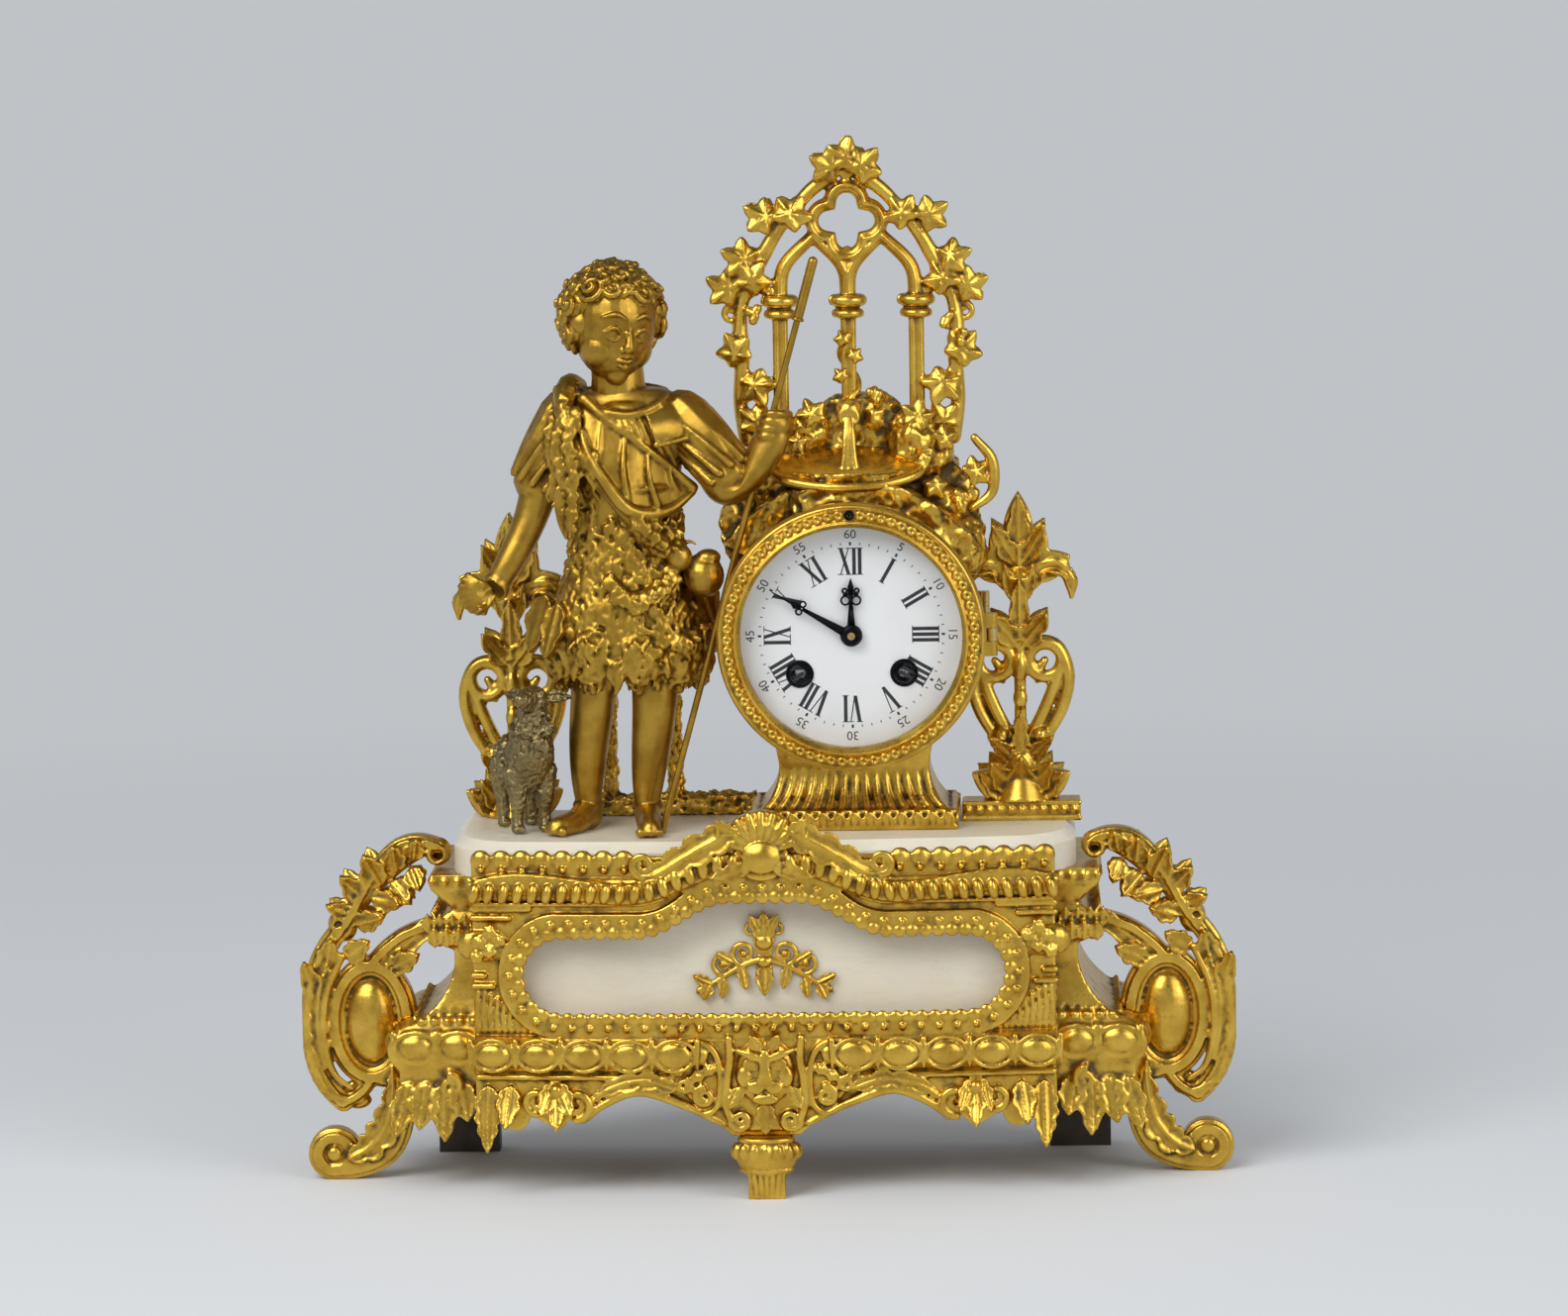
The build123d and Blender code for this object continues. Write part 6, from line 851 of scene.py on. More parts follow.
def mask_room(points):
    """Sets the egg band back behind the mask."""
    points = points.copy()
    middle = (np.abs(points[:, 0]) < MASK_HALF) & (points[:, 2] < MASK_TOP)
    points[:, 1] = np.where(middle, np.maximum(points[:, 1], bow_depth(points) - MASK_FLOOR), points[:, 1])
    return points


def both_halves(points, out):
    """A front view line from the middle to the right, continued to the left, out before the flat front."""
    right = np.asarray(points, float)
    return flat(np.vstack([right[::-1] * (-1, 1), right]), -out)


def rise(low, high):
    """The line that swells up over the middle, from the side inwards."""
    steps = np.linspace(0, 1, RISE_POINTS)
    return [(RISE_OUT + (RISE_IN - RISE_OUT) * t, low + (high - low) * t * t * (3 - 2 * t)) for t in steps]


def opening_line(grow):
    """The edge of the panel opening, or a line that runs outside it by grow."""
    low, high, peak = OPENING_LOW - grow, OPENING_HIGH + grow, OPENING_PEAK + grow
    half, lobe = OPENING_HALF + grow / 2, OPENING_LOBE + grow
    tall = (high - low) / 2
    x, z = (lobe**2 - half**2 - tall**2) / (2 * (lobe - half)), (low + high) / 2
    radius = lobe - x
    swing = math.asin(tall / radius)
    angles = np.linspace(-swing, swing, OPENING_POINTS)
    arc = [(x + radius * math.cos(a), z + radius * math.sin(a)) for a in angles]
    return [(0, low), (half, low)] + arc + rise(high, peak) + [(0, peak)]


def gadroon_line():
    return [(0, GADROON_CREST)] + rise(GADROON_Z, GADROON_CREST)[::-1] + [(FRONT_HALF, GADROON_Z)]


def flower(clay, x, z, depths, petals, lean, radii):
    """Petals round a berry; depths has that of the petals and that of the berry."""
    for petal in range(petals):
        angle = math.radians(lean + FULL_TURN / petals * petal)
        at = (x + PETAL_REACH * math.cos(angle), depths[0], z + PETAL_REACH * math.sin(angle))
        clay.ball(at, radii, SMALL)
    clay.ball((x, depths[1], z), PETAL_HEART, SMALL)


def mask(clay):
    """A plain lion-like ornament mask, as old furniture has."""
    clay.balls(MASK_BALLS)
    clay.tube(through(MASK_NOSE, 8), (1.5, 1.9, 2.6), sides=12)
    clay.leaves(MASK_BEARD)
    for side in SIDES:
        clay.tube(through([mirrored(p, side) for p in MASK_BROW], 9), (1.2, 1.6, 0.8), sides=10)
        clay.ring(ellipse(*mirrored(MASK_EYE, side), *MASK_EYE_HALF, 21), 0.5, sides=6)
        clay.balls(MASK_SIDE_BALLS, side)
        clay.leaves(MASK_LEAVES, side)


def cartouche(clay):
    """Scrolled straps and flower panels on either side of the mask."""
    clay.slab([(-x, z) for x, z in PLATE] + list(PLATE[::-1]), *PLATE_DEPTHS)
    at, radii, lean = CARTOUCHE_BOSS
    for side in SIDES:
        clay.tube(through(flat(STRAP, -3.4, side), 24), (1.4, 1.6, 1.5), deep=1.2)
        clay.tube(through(flat(FLOWER_FRAME, -3.0, side), 36), (0.9, 1.2, 1.2, 0.9))
        clay.scrolls(CARTOUCHE_SCROLLS, side)
        clay.ball(mirrored(at, side), radii, ROUND, turn=(0, side * lean, 0))
        for x, z in CARTOUCHE_FLOWERS:
            flower(clay, side * x, z, (-3.2, -4.4), 6, 0, (1.1, 1.3, 1.1))


def crest(clay):
    """Shell, oval boss and the two leafy arms over the panel."""
    low, middle, high = CREST_DEPTHS
    for turn in np.radians(np.linspace(*CREST_TURNS, CREST_RIBS)):
        way = np.array((math.cos(turn), math.sin(turn)))
        start, end = way * CREST_ROOT, way * CREST_LONG
        rib = [(*start, low), (*(start + end) / 2, middle), (*end, high)]
        clay.tube(through([(x, y, CREST_Z + z) for x, z, y in rib], 6), (0.8, 1.4, 1.7))
    clay.ball((0, middle, CREST_Z - CREST_BOSS_DROP), CREST_BOSS, (10, 20))
    clay.ring(ellipse(0, -3.6, CREST_Z - CREST_BOSS_DROP, *CREST_RING), 1.1)
    for side in SIDES:
        arm = through([mirrored(p, side) for p in CREST_ARM], 25)
        clay.frond(arm, 11.0, FRONT_UP, 6, thick=2.0, rib=1.2)
        clay.tube(arm, (1.0, 1.6, 1.4, 1.0))
        clay.scrolls(CREST_SCROLLS, side)
        clay.leaves(CREST_LEAVES, side)


def ovals(clay, places):
    """Oval bosses with darts between them; a place has a point, the way out and the way along."""
    turns = np.linspace(0, 2 * np.pi, 26)[:, None]
    for place in places:
        at, out, run = (np.asarray(part, float) for part in place)
        turn = (0, 0, math.degrees(math.atan2(run[1], run[0])))
        clay.ball(at, (OVAL_WIDE, OVAL_DEEP, OVAL_TALL), (9, 16), turn)
        across = run * (OVAL_WIDE + OVAL_RING[0]) * np.cos(turns)
        upward = np.array((0, 0, OVAL_TALL + OVAL_RING[1])) * np.sin(turns)
        clay.ring(at + across + upward + out * 0.2, 0.75, sides=6)
        for end in SIDES:
            dart = at + run * (OVAL_PITCH / 2) * end
            edge = [dart + DART_HALF - out * 0.5, dart + out * 0.7, dart - DART_HALF - out * 0.5]
            clay.tube(edge, (1.3, 0.8, 0.5), sides=6)


def apron(clay):
    """Scrolls, leaves and drops along the lower edge."""
    for side in SIDES:
        clay.tube(through(flat(APRON_EDGE, -1.4, side), 30), (1.2, 1.7, 1.7, 1.4))
        clay.frond(through(flat(APRON_FROND, -1.6, side), 21), 6.5, FRONT, 5)
        clay.tube(through(flat(APRON_RAIL, -1.2, side), 12), 1.2)
        clay.scrolls(APRON_SCROLLS, side)
        clay.leaves(APRON_LEAVES, side, thick=1.6)
        clay.leaves(APRON_CORNER, side, thick=2.0)
        clay.balls(APRON_BALLS, side)


def corners(clay):
    """Fluted hollow, ribs and flowered swelling beside the ends of the panel frame."""
    for side in SIDES:
        for x in FLUTES_X:
            reach = max(0.0, (x - FLUTE_RUN[0]) / FLUTE_RUN[1])
            top = min(FLUTE_TOPS[1], FLUTE_TOPS[0] + FLUTE_RISE * reach)
            flute = ((x, FLUTE_LOW), (x + FLUTE_BOW, (FLUTE_LOW + top) / 2), (x, top))
            clay.tube(flat(flute, -0.4, side), (1.1, 0.9, 0.8))
        for start, z in CORNER_RIBS:
            clay.tube(flat(((start, z), (CORNER_END, z)), -0.6, side), 1.1)
        clay.tube(flat(CORNER_ROLL, 0.4, side), 5.6, deep=0.6, sides=14)
        for x, z, lean in CORNER_FLOWERS:
            flower(clay, side * x, z, (-2.6, -3.4), 5, lean, (1.2, 1.0, 1.2))


def frame_beads(clay):
    """Beads and scallops round the panel opening, and the gadroons above it."""
    for at in along(both_halves(opening_line(RIM_WIDE * 0.52), RIM_OUT), RIM_PITCH)[0]:
        clay.ball(at, (1.35, 1.3, 1.35), BEAD)
    for at in along(both_halves(opening_line(0.7), RIM_OUT - 0.5), EDGE_PITCH)[0]:
        clay.ball(at, (2.5, 1.3, 2.5), (5, 10))
    line = both_halves(gadroon_line(), GADROON_OUT)
    for at, ahead in zip(*along(line, GADROON_PITCH)):
        lean = math.degrees(math.atan2(ahead[2], ahead[0])) + (GADROON_LEAN if at[0] > 0 else -GADROON_LEAN)
        clay.ball(at, (2.1, 2.5, 3.9), (8, 10), (0, -lean, 0))
    for rail in (-GADROON_RAIL, GADROON_RAIL):
        clay.tube([(x, -1.6, z + rail) for x, _, z in line], 0.9, sides=6)


def top_edge(clay):
    """Beads and scallops along the upper edge."""
    for side in SIDES:
        for x in np.arange(48.0, FRONT_HALF, 7.2):
            clay.ball((side * x, -1.0, STRIP_Z), (1.3, 1.5, 1.3), BEAD)
            clay.ball((side * (x + 0.2), 1.2, FRONT_TOP - 1.6), (3.9, 2.2, 3.9), (6, 12))


def front_look():
    clay = Clay()
    clay.node("front_casting")
    clay.move(0, mask_room)
    mark = clay.mark()
    for side in SIDES:
        places = [side * (OVAL_FIRST + OVAL_PITCH * step) for step in range(OVAL_COUNT)]
        ovals(clay, [((x, -OVOLO_OUT + 0.6, OVOLO_Z), FRONT, (1, 0, 0)) for x in places])
    frame_beads(clay)
    top_edge(clay)
    high = clay.mark()
    crest(clay)
    mask(clay)
    cartouche(clay)
    clay.move(high, lambda points: points * (1, RELIEF_SHARE, 1))
    apron(clay)
    corners(clay)
    clay.move(mark, bowed)
    cast("front_casting_look", clay, FINE_VOXEL, 2, GILT, ["front_casting"])


front_look()


# Base body ornament
WAIST_HALF = 110.0
WAIST_FRONT = -20.0
FRONT_OUT_SHARE = 0.3
PLINTH_OUT = 20.0
OVOLO_SIDE = 24.0
FLUTE_OUT = 15.0
BULGE_OUT = 6.0
CORNICE_OUT = 8.0
CORNICE_Z = 109.5
FLUTE_BEAD_Z = 60.2
CORNER_OVALS = (109.0, 124.0)
SIDE_OVALS = np.arange(-15.0, 45.0, OVAL_PITCH)
SIDE_BEADS = np.arange(-19.0, 46.0, 4.6)
CORNICE_BEADS = np.arange(103.5, 118.0, 4.6)
FLUTE_BEADS = np.arange(103.5, 125.0, 4.6)
SCALES_X = np.arange(103.5, 117.0, 4.4)
SCALE_ROWS = ((86.0, 0.0, 0.0), (91.0, 2.2, 2.3))
SCALE = (8.0, 5.0, 20)
DROP_Z = 38.5
CORNER_DROPS = ((108, -0.15, 14), (114, 0.0, 21), (120, 0.2, 17), (126, 0.3, 20))
CORNER_SCROLLS = (((112, -0.8, 37.5), (4.2, 1.0), (90, 0, 470), 28, (1.5, 1.2, 0.9)),)
SIDE_DROPS = ((-18, 17), (-3, 12), (12, 9), (27, 12), (42, 16))


def front_depth(out):
    """Front of a side moulding that stands out by out at the sides."""
    return WAIST_FRONT - out * FRONT_OUT_SHARE


def base_ovals(clay, side):
    depth = front_depth(OVOLO_SIDE) + 0.8
    ovals(clay, [((side * x, depth, OVOLO_Z), FRONT, (1, 0, 0)) for x in CORNER_OVALS])
    end = side * (WAIST_HALF + OVOLO_SIDE - 0.6)
    ovals(clay, [((end, y, OVOLO_Z), (side, 0, 0), (0, 1, 0)) for y in SIDE_OVALS])


def scales(clay, side):
    """Two rows of scales on the swelling above the hollow."""
    for low, front_shift, side_shift in SCALE_ROWS:
        for x in SCALES_X:
            at = (side * (x + front_shift), front_depth(BULGE_OUT) + 1.0, low)
            clay.blade(at, (0, -0.25, 1.0), (0, -1, 0.1), *SCALE, thick=1.1)
        for y in SIDE_BEADS:
            at = (side * (WAIST_HALF + BULGE_OUT - 1.4), y + side_shift, low)
            clay.blade(at, (side * 0.25, 0, 1.0), (side, 0, 0.1), *SCALE, thick=1.1)


def base_beads(clay, side):
    """Beads above and below the hollow, at the side and in front."""
    for y in SIDE_BEADS:
        clay.ball((side * (WAIST_HALF + CORNICE_OUT), y + 1.0, CORNICE_Z), (1.2, 1.4, 1.4), SMALL)
        clay.ball((side * (WAIST_HALF + FLUTE_OUT - 0.4), y + 1.0, FLUTE_BEAD_Z), (1.2, 1.5, 1.5), SMALL)
    for x in CORNICE_BEADS:
        clay.ball((side * x, front_depth(CORNICE_OUT), CORNICE_Z), (1.4, 1.2, 1.4), SMALL)
    for x in FLUTE_BEADS:
        clay.ball((side * x, front_depth(FLUTE_OUT) + 0.4, FLUTE_BEAD_Z), (1.5, 1.2, 1.5), SMALL)


def base_drops(clay, side):
    """Leaves and scrolls that hang from the lower edge."""
    depth = front_depth(PLINTH_OUT)
    for x, lean, long in CORNER_DROPS:
        at = (side * x, depth + 0.4, DROP_Z)
        clay.blade(at, (side * lean, -0.1, -1.0), FRONT, long, 9.5, 12, 3, thick=2.4)
    clay.scrolls(CORNER_SCROLLS, side, origin=(0, depth, 0))
    for y, long in SIDE_DROPS:
        at = (side * (WAIST_HALF + PLINTH_OUT - 1.2), y, DROP_Z - 0.5)
        clay.blade(at, (side * 0.1, 0, -1.0), (side, 0, 0), long, 11, 12, 3, thick=2.4)


def base_look():
    clay = Clay()
    clay.node("base_body")
    for side in SIDES:
        base_ovals(clay, side)
        scales(clay, side)
        base_beads(clay, side)
        base_drops(clay, side)
    cast("base_body_look", clay, COARSE_VOXEL, 1, GILT, ["base_body"])


base_look()


# Gilt mount on the panel, drawn from a point in its middle
PANEL_FACE = -34.0
MOUNT_THICK = 1.0
MOUNT_AT = np.array((0.0, PANEL_FACE - MOUNT_THICK, 84.0))
MOUNT_VOXEL = 0.32
MOUNT_STEM = ((0, -13), (3.2, -7), (2.2, -1), (4, 6), (0, 16), (-4, 6), (-2.2, -1), (-3.2, -7))
MOUNT_ARM = ((1.5, 0, -1), (8, 0, -3.4), (15, 0, -7.5), (23.4, 0, -12.5))
MOUNT_LEAVES = (
    ((0, -0.2, 6), (-0.55, -0.06, 1.0), FRONT, 10.5, 4.6, 8, 2),
    ((0, -0.2, 6), (0.0, -0.06, 1.0), FRONT, 10.5, 4.6, 8, 2),
    ((0, -0.2, 6), (0.55, -0.06, 1.0), FRONT, 10.5, 4.6, 8, 2),
    ((0, -0.2, -3), (0, -0.06, -1.0), FRONT, 11.0, 6.0, 8, 3))
MOUNT_BALLS = (((0, -0.8, 5), (3.0, 1.4, 2.6), PLAIN), ((0, -0.8, -2), (2.4, 1.3, 2.0), PLAIN))
MOUNT_SCROLLS = (
    ((7.2, 0, 1.2), (4.6, 1.0), (-90, 0, 500), 30, (1.1, 0.9, 0.7)),
    ((14.5, 0, -2.4), (4.0, 0.9), (-90, 0, 480), 28, (1.0, 0.8, 0.6)),
    ((4.6, 0, 9.4), (2.8, 0.8), (90, 110, -420), 24, (0.9, 0.7, 0.5)))
MOUNT_SIDE_LEAVES = (
    ((8, -0.1, -4), (-0.2, -0.04, -1.0), FRONT, 8, 4.0, 6, 2),
    ((14, -0.1, -8), (0.15, -0.04, -1.0), FRONT, 7, 4.0, 6, 2),
    ((19, -0.1, -10), (0.5, -0.04, -1.0), FRONT, 6, 4.0, 6, 2),
    ((19, -0.1, -9.5), (1.0, -0.04, 0.5), FRONT, 7, 4.0, 6, 2),
    ((11, -0.1, -2), (0.8, -0.04, 0.5), FRONT, 7, 4.0, 6, 2))
MOUNT_SIDE_BALLS = (
    ((7.2, -0.6, 1.2), 1.3, SMALL), ((14.5, -0.6, -2.4), 1.2, SMALL),
    ((22.6, -0.4, -11.6), (1.6, 1.1, 1.2), SMALL))


def mount_look():
    clay = Clay()
    clay.slab([(x, MOUNT_AT[2] + z) for x, z in MOUNT_STEM], MOUNT_AT[1], PANEL_FACE)
    clay.leaves(MOUNT_LEAVES, origin=MOUNT_AT)
    clay.balls(MOUNT_BALLS, origin=MOUNT_AT)
    for side in SIDES:
        arm = [MOUNT_AT + mirrored(p, side) for p in MOUNT_ARM]
        clay.tube(through(arm, 20), (1.3, 1.2, 0.8), deep=0.9)
        clay.scrolls(MOUNT_SCROLLS, side, 0.9, MOUNT_AT)
        clay.leaves(MOUNT_SIDE_LEAVES, side, MOUNT_AT)
        clay.balls(MOUNT_SIDE_BALLS, side, MOUNT_AT)
    cast("panel_mount_look", clay, MOUNT_VOXEL, 1, GILT, ["panel_mount"])


mount_look()


# Front foot
FOOT_Y = -44.5
FOOT_WAIST = 10.5
FOOT_SHARE = 0.88
FOOT_BOSSES = 16
FOOT_BOSS_RING = (16.6, 10.8, 5.3)
FOOT_RINGS = ((21.0, 9.4, 5.4), (12.4, 8.4, 4.8), (10.2, 7.4, 4.4))
FOOT_RIBS = (-4.4, -2.2, 0.0, 2.2, 4.4)
FOOT_BLOCK = ((-5.4, 0), (5.4, 0), (6.6, 9.8), (-6.6, 9.8))
FOOT_BLOCK_DEEP = 3.3


def drawn_in(points):
    """Makes room for the bosses round the foot."""
    points = points.copy()
    share = np.where(points[:, 2] > FOOT_WAIST, FOOT_SHARE, 1.0)
    points[:, 0] *= share
    points[:, 1] = FOOT_Y + (points[:, 1] - FOOT_Y) * share
    return points


def foot_look():
    clay = Clay()
    clay.node("front_foot")
    clay.move(0, drawn_in)
    z, wide, deep = FOOT_BOSS_RING
    for at in level_ring(0, FOOT_Y, z, wide, deep, FOOT_BOSSES + 1)[:-1]:
        clay.ball(at, (2.0, 1.4, 3.0), (8, 12))
    for z, wide, deep in FOOT_RINGS:
        clay.ring(level_ring(0, FOOT_Y, z, wide, deep, 41), 0.9, sides=8)
    for x in FOOT_RIBS:
        clay.tube([(x * 0.8, FOOT_Y - 3.5, 1.4), (x, FOOT_Y - 3.7, 8.5)], 0.8, sides=6)
    clay.slab(FOOT_BLOCK, FOOT_Y - FOOT_BLOCK_DEEP, FOOT_Y + FOOT_BLOCK_DEEP)
    cast("front_foot_look", clay, FINE_VOXEL, 1, GILT, ["front_foot"])


foot_look()


# Scroll brackets, drawn at the right end
BRACKET_AT = np.array((0.0, -3.0, 0.0))
BRACKET_LEG = ((154, 3.6), (147, 4.6), (139, 10), (133, 20), (130, 32), (129, 42))
BRACKET_OUTER = ((148, 29), (157, 33), (162, 46), (163, 60), (160, 76), (153, 87))
BRACKET_INNER = ((149, 33.5), (154.5, 38), (157.6, 47), (158.2, 58), (156.4, 69), (151, 81))
BRACKET_SPRAY = ((150, 88), (146, 97), (138, 106), (128, 114), (118, 119))
BRACKET_TIE = ((142, 77), (130, 84), (118, 92), (112, 94))
BRACKET_STUB = ((141, 37), (135, 40), (130, 45))
BRACKET_BEADS = ((153, 27.6), (160, 34), (163.8, 44), (164.8, 56), (163.6, 68))
BRACKET_LEG_FROND = ((151, 8), (143, 12), (137, 20), (134, 31), (134, 41))
BRACKET_OUTER_FROND = ((158, 40), (160, 52), (160, 66), (156, 80))
BRACKET_BEAD_PITCH = 4.0
BRACKET_BEAD_OUT = 2.6
BOSS_AT = (141.5, 57)
BOSS_OUT = 1.2
BOSS_HALF = (9.0, 5.4, 15.0)
BOSS_RING = (9.8, 15.8)
BOSS_LOOP = (12.6, 19.4)
BOSS_LOOP_TURNS = np.radians(np.linspace(-120, 200, 14))
BRACKET_EYE = (((155.5, -4.6, 9.6), (2.8, 1.8, 2.8), PLAIN),)
BRACKET_SCROLLS = (
    ((155.5, 0, 9.6), (6.3, 1.6), (-100, 0, 560), 40, (3.3, 3.0, 2.0)),
    ((147.5, 0, 31), (4.6, 1.2), (-40, 0, 480), 28, (1.9, 1.6, 1.1)),
    ((116.6, 0, 117.2), (3.8, 1.2), (70, 0, 470), 28, (1.9, 1.6, 1.2)))
BRACKET_CURL = (((151.6, 0, 91.6), (4.2, 1.2), (-60, 0, -480), 30, (2.4, 2.0, 1.4)),)
SPRAY_LEAVES = (
    ((147, 95), (0.95, 0.5), 11, 7), ((143, 101), (0.75, 0.9), 13, 8), ((137, 106), (0.45, 1.0), 14, 9),
    ((131, 111), (0.1, 1.0), 11, 8), ((125, 115), (-0.2, 1.0), 9, 7), ((146, 92), (-0.9, 0.3), 12, 8),
    ((140, 101), (-0.8, -0.1), 12, 8), ((133, 107), (-0.6, -0.6), 11, 8), ((126, 112), (-0.4, -0.9), 9, 7))
BRACKET_LEAVES = (
    ((161, -2.4, 66), (0.25, -0.15, 1.0), FRONT, 15, 8, 30, 3),
    ((157, -2.4, 76), (-0.2, -0.15, 1.0), FRONT, 13, 8, 30, 3),
    ((150, -2.4, 80), (-0.8, -0.15, 0.6), FRONT, 12, 8, 30, 3),
    ((134, -2.4, 76), (-0.9, -0.15, 0.5), FRONT, 13, 8, 30, 3))


def bracket_scrolls(clay, side):
    """The main scrolls, bars and fronds."""
    def line(points, count):
        return through(flat(points, BRACKET_AT[1], side), count)

    clay.scrolls(BRACKET_SCROLLS, side, 1.5, BRACKET_AT)
    clay.scrolls(BRACKET_CURL, side, 1.4, BRACKET_AT)
    clay.balls(BRACKET_EYE, side, BRACKET_AT)
    outer, tie = line(BRACKET_OUTER, 32), line(BRACKET_TIE, 20)
    clay.tube(line(BRACKET_LEG, 30), (3.2, 3.8, 4.6, 4.4), deep=1.2)
    clay.tube(outer, (2.2, 3.6, 3.8, 3.6, 2.6), deep=1.2)
    clay.tube(line(BRACKET_SPRAY, 26), (2.6, 2.8, 2.4, 1.6), deep=1.2)
    clay.tube(tie, (1.8, 2.2, 2.0), deep=1.3)
    clay.tube(line(BRACKET_STUB, 12), (1.8, 2.0, 2.2), deep=1.3)
    clay.tube(line(BRACKET_INNER, 30) + (0, -4.6, 0), (0.9, 1.5, 1.6, 1.3))
    clay.tube(outer + (1.4 * side, -4.2, 0), (0.9, 1.3, 1.4, 1.2))
    clay.frond(line(BRACKET_LEG_FROND, 25) + (0, -5.0, 0), 11.0, FRONT, 6, thick=2.2, rib=1.3)
    clay.frond(tie + (0, -2.8, 0), 8.0, FRONT, 4, thick=1.6)
    clay.frond(line(BRACKET_OUTER_FROND, 25) + (0, -3.8, 0), 7.5, FRONT, 6, thick=1.8, rib=1.1)
    for at in along(line(BRACKET_BEADS, 28), BRACKET_BEAD_PITCH)[0]:
        for out in (-BRACKET_BEAD_OUT, BRACKET_BEAD_OUT):
            clay.ball(at + (0, out, 0), (1.8, 2.4, 1.8), BERRY)


def bracket_boss(clay, side):
    """The oval boss in its loop."""
    x, z = BOSS_AT
    y = BRACKET_AT[1]
    loop = [(x + BOSS_LOOP[0] * math.cos(a), z + BOSS_LOOP[1] * math.sin(a)) for a in BOSS_LOOP_TURNS]
    clay.tube(through(flat(loop, y, side), 46), (1.6, 2.6, 2.8, 2.4, 1.5), deep=1.4)
    for out in (-BOSS_OUT, BOSS_OUT):
        clay.ball((side * x, y + out, z), BOSS_HALF, LARGE)
    ring = ellipse(x, y - 1.0, z, *BOSS_RING, 34)
    clay.ring(ring * (side, 1, 1), 1.0, sides=6)


def bracket_leaves(clay, side):
    clay.leaves(BRACKET_LEAVES, side, BRACKET_AT, thick=2.0)
    for out in SIDES:
        rows = [((x, out * 2.0, z), (aim, out * 0.2, up), (0, out, 0), long, wide, 35, 3)
                for (x, z), (aim, up), long, wide in SPRAY_LEAVES]
        clay.leaves(rows, side, BRACKET_AT, thick=2.0, rib=1.0)


def in_box(points):
    """Keeps a bracket inside the sides and above the floor of the part."""
    points = points.copy()
    points[:, 0] = np.clip(points[:, 0], cad_low[0] / MM + TRIM_INSIDE, cad_high[0] / MM - TRIM_INSIDE)
    points[:, 2] = np.maximum(points[:, 2], 0.0)
    return points


def bracket_look(side, name):
    clay = Clay()
    clay.node(name)
    bracket_scrolls(clay, side)
    bracket_boss(clay, side)
    bracket_leaves(clay, side)
    clay.move(0, in_box)
    cast(name + "_look", clay, MIDDLE_VOXEL, 1, GILT, [name])


bracket_look(1, "scroll_bracket_right")
bracket_look(-1, "scroll_bracket_left")


# Dial, hands and bezel
DIAL_FACE = -19.0
HOURS = ("XII", "I", "II", "III", "IIII", "V", "VI", "VII", "VIII", "IX", "X", "XI")
NUMERAL_RING = 26.0
NUMERAL_HALF = 4.6
NUMERAL_THICK = 1.25
NUMERAL_THIN = 0.42
SERIF_HALF = 0.16
SERIF_WIDE = 2.1
LETTER_WIDE = {"I": 2.0, "V": 4.8, "X": 4.6}
V_LEFT, V_FOOT, V_RIGHT = -1.5, 0.2, 1.6
X_HALF = 1.4
FIGURE_RING = 35.4
FIGURE_SIZE = 4.4
TICK_RING = 32.2
MINUTE_TICK = (0.34, 0.9)
HOUR_TICK = (0.8, 1.2)
INK_THICK = 0.06
WINDING_X = 18.3
WINDING_Z = DRUM_Z - 13.5
WINDING_RIM = 4.2
# Radii of the dark rings painted as shade inside the winding holes
WINDING_SHADE_RADII = np.arange(2.45, WINDING_RIM, 0.55)
HAND_THICK = 0.6
HAND_WIRE = 0.36

# Hands: outlines and rings (across, outward), seen with the hand at twelve
HOUR_HAND_Y = -20.6
HOUR_HAND_TURN = 0.0
HOUR_HAND = (
    ((-1.5, 2.5), (1.5, 2.5), (0.75, 10.5), (-0.75, 10.5)),
    ((-0.7, 10), (0.7, 10), (0.7, 14.6), (-0.7, 14.6)),
    ((-2.9, 14.2), (2.9, 14.2), (2.4, 15.2), (-2.4, 15.2)),
    ((-0.9, 15), (0.9, 15), (1.1, 17.2), (0, 20.4), (-1.1, 17.2)))
HOUR_RINGS = ((-1.9, 12.4, 1.5), (1.9, 12.4, 1.5), (-2.1, 15.8, 0.8), (2.1, 15.8, 0.8))
HOUR_HUB = (3.2, 0.75)
MINUTE_HAND_Y = -22.2
MINUTE_HAND_TURN = -60.0
MINUTE_HAND = (
    ((-1.6, 2.2), (1.6, 2.2), (1.2, 9), (0.6, 19.6), (-0.6, 19.6), (-1.2, 9)),
    ((0, 20), (1.5, 22.4), (0, 24.8), (-1.5, 22.4)), ((-0.5, 24), (0.5, 24), (0.16, 32), (-0.16, 32)))
MINUTE_RINGS = ((-1.5, 20.2, 1.0), (1.5, 20.2, 1.0))
MINUTE_HUB = (2.3, 1.2)

# Bezel
BEZEL_FACE = -30.0
BEAD_RING = 43.4
BEAD_COUNT = 72
BEAD_LOOP = 1.12
BEZEL_ROLLS = ((0.0, 1.5, 1.62, 14), (-2.7, 0.7, 0.7, 8), (2.5, 2.2, 0.8, 8))
SCREW_LOOP = 1.3
SCREW_HEAD = (1.2, 0.5, 1.2)


def on_dial(points, angle, radius):
    """Local points (across, outward) moved to a place on the dial, upright when seen from the middle."""
    turn = math.radians(angle)
    moved = []
    for across, outward in points:
        reach = radius + outward
        x = DRUM_X + reach * math.sin(turn) + across * math.cos(turn)
        moved.append((x, DRUM_Z + reach * math.cos(turn) - across * math.sin(turn)))
    return moved


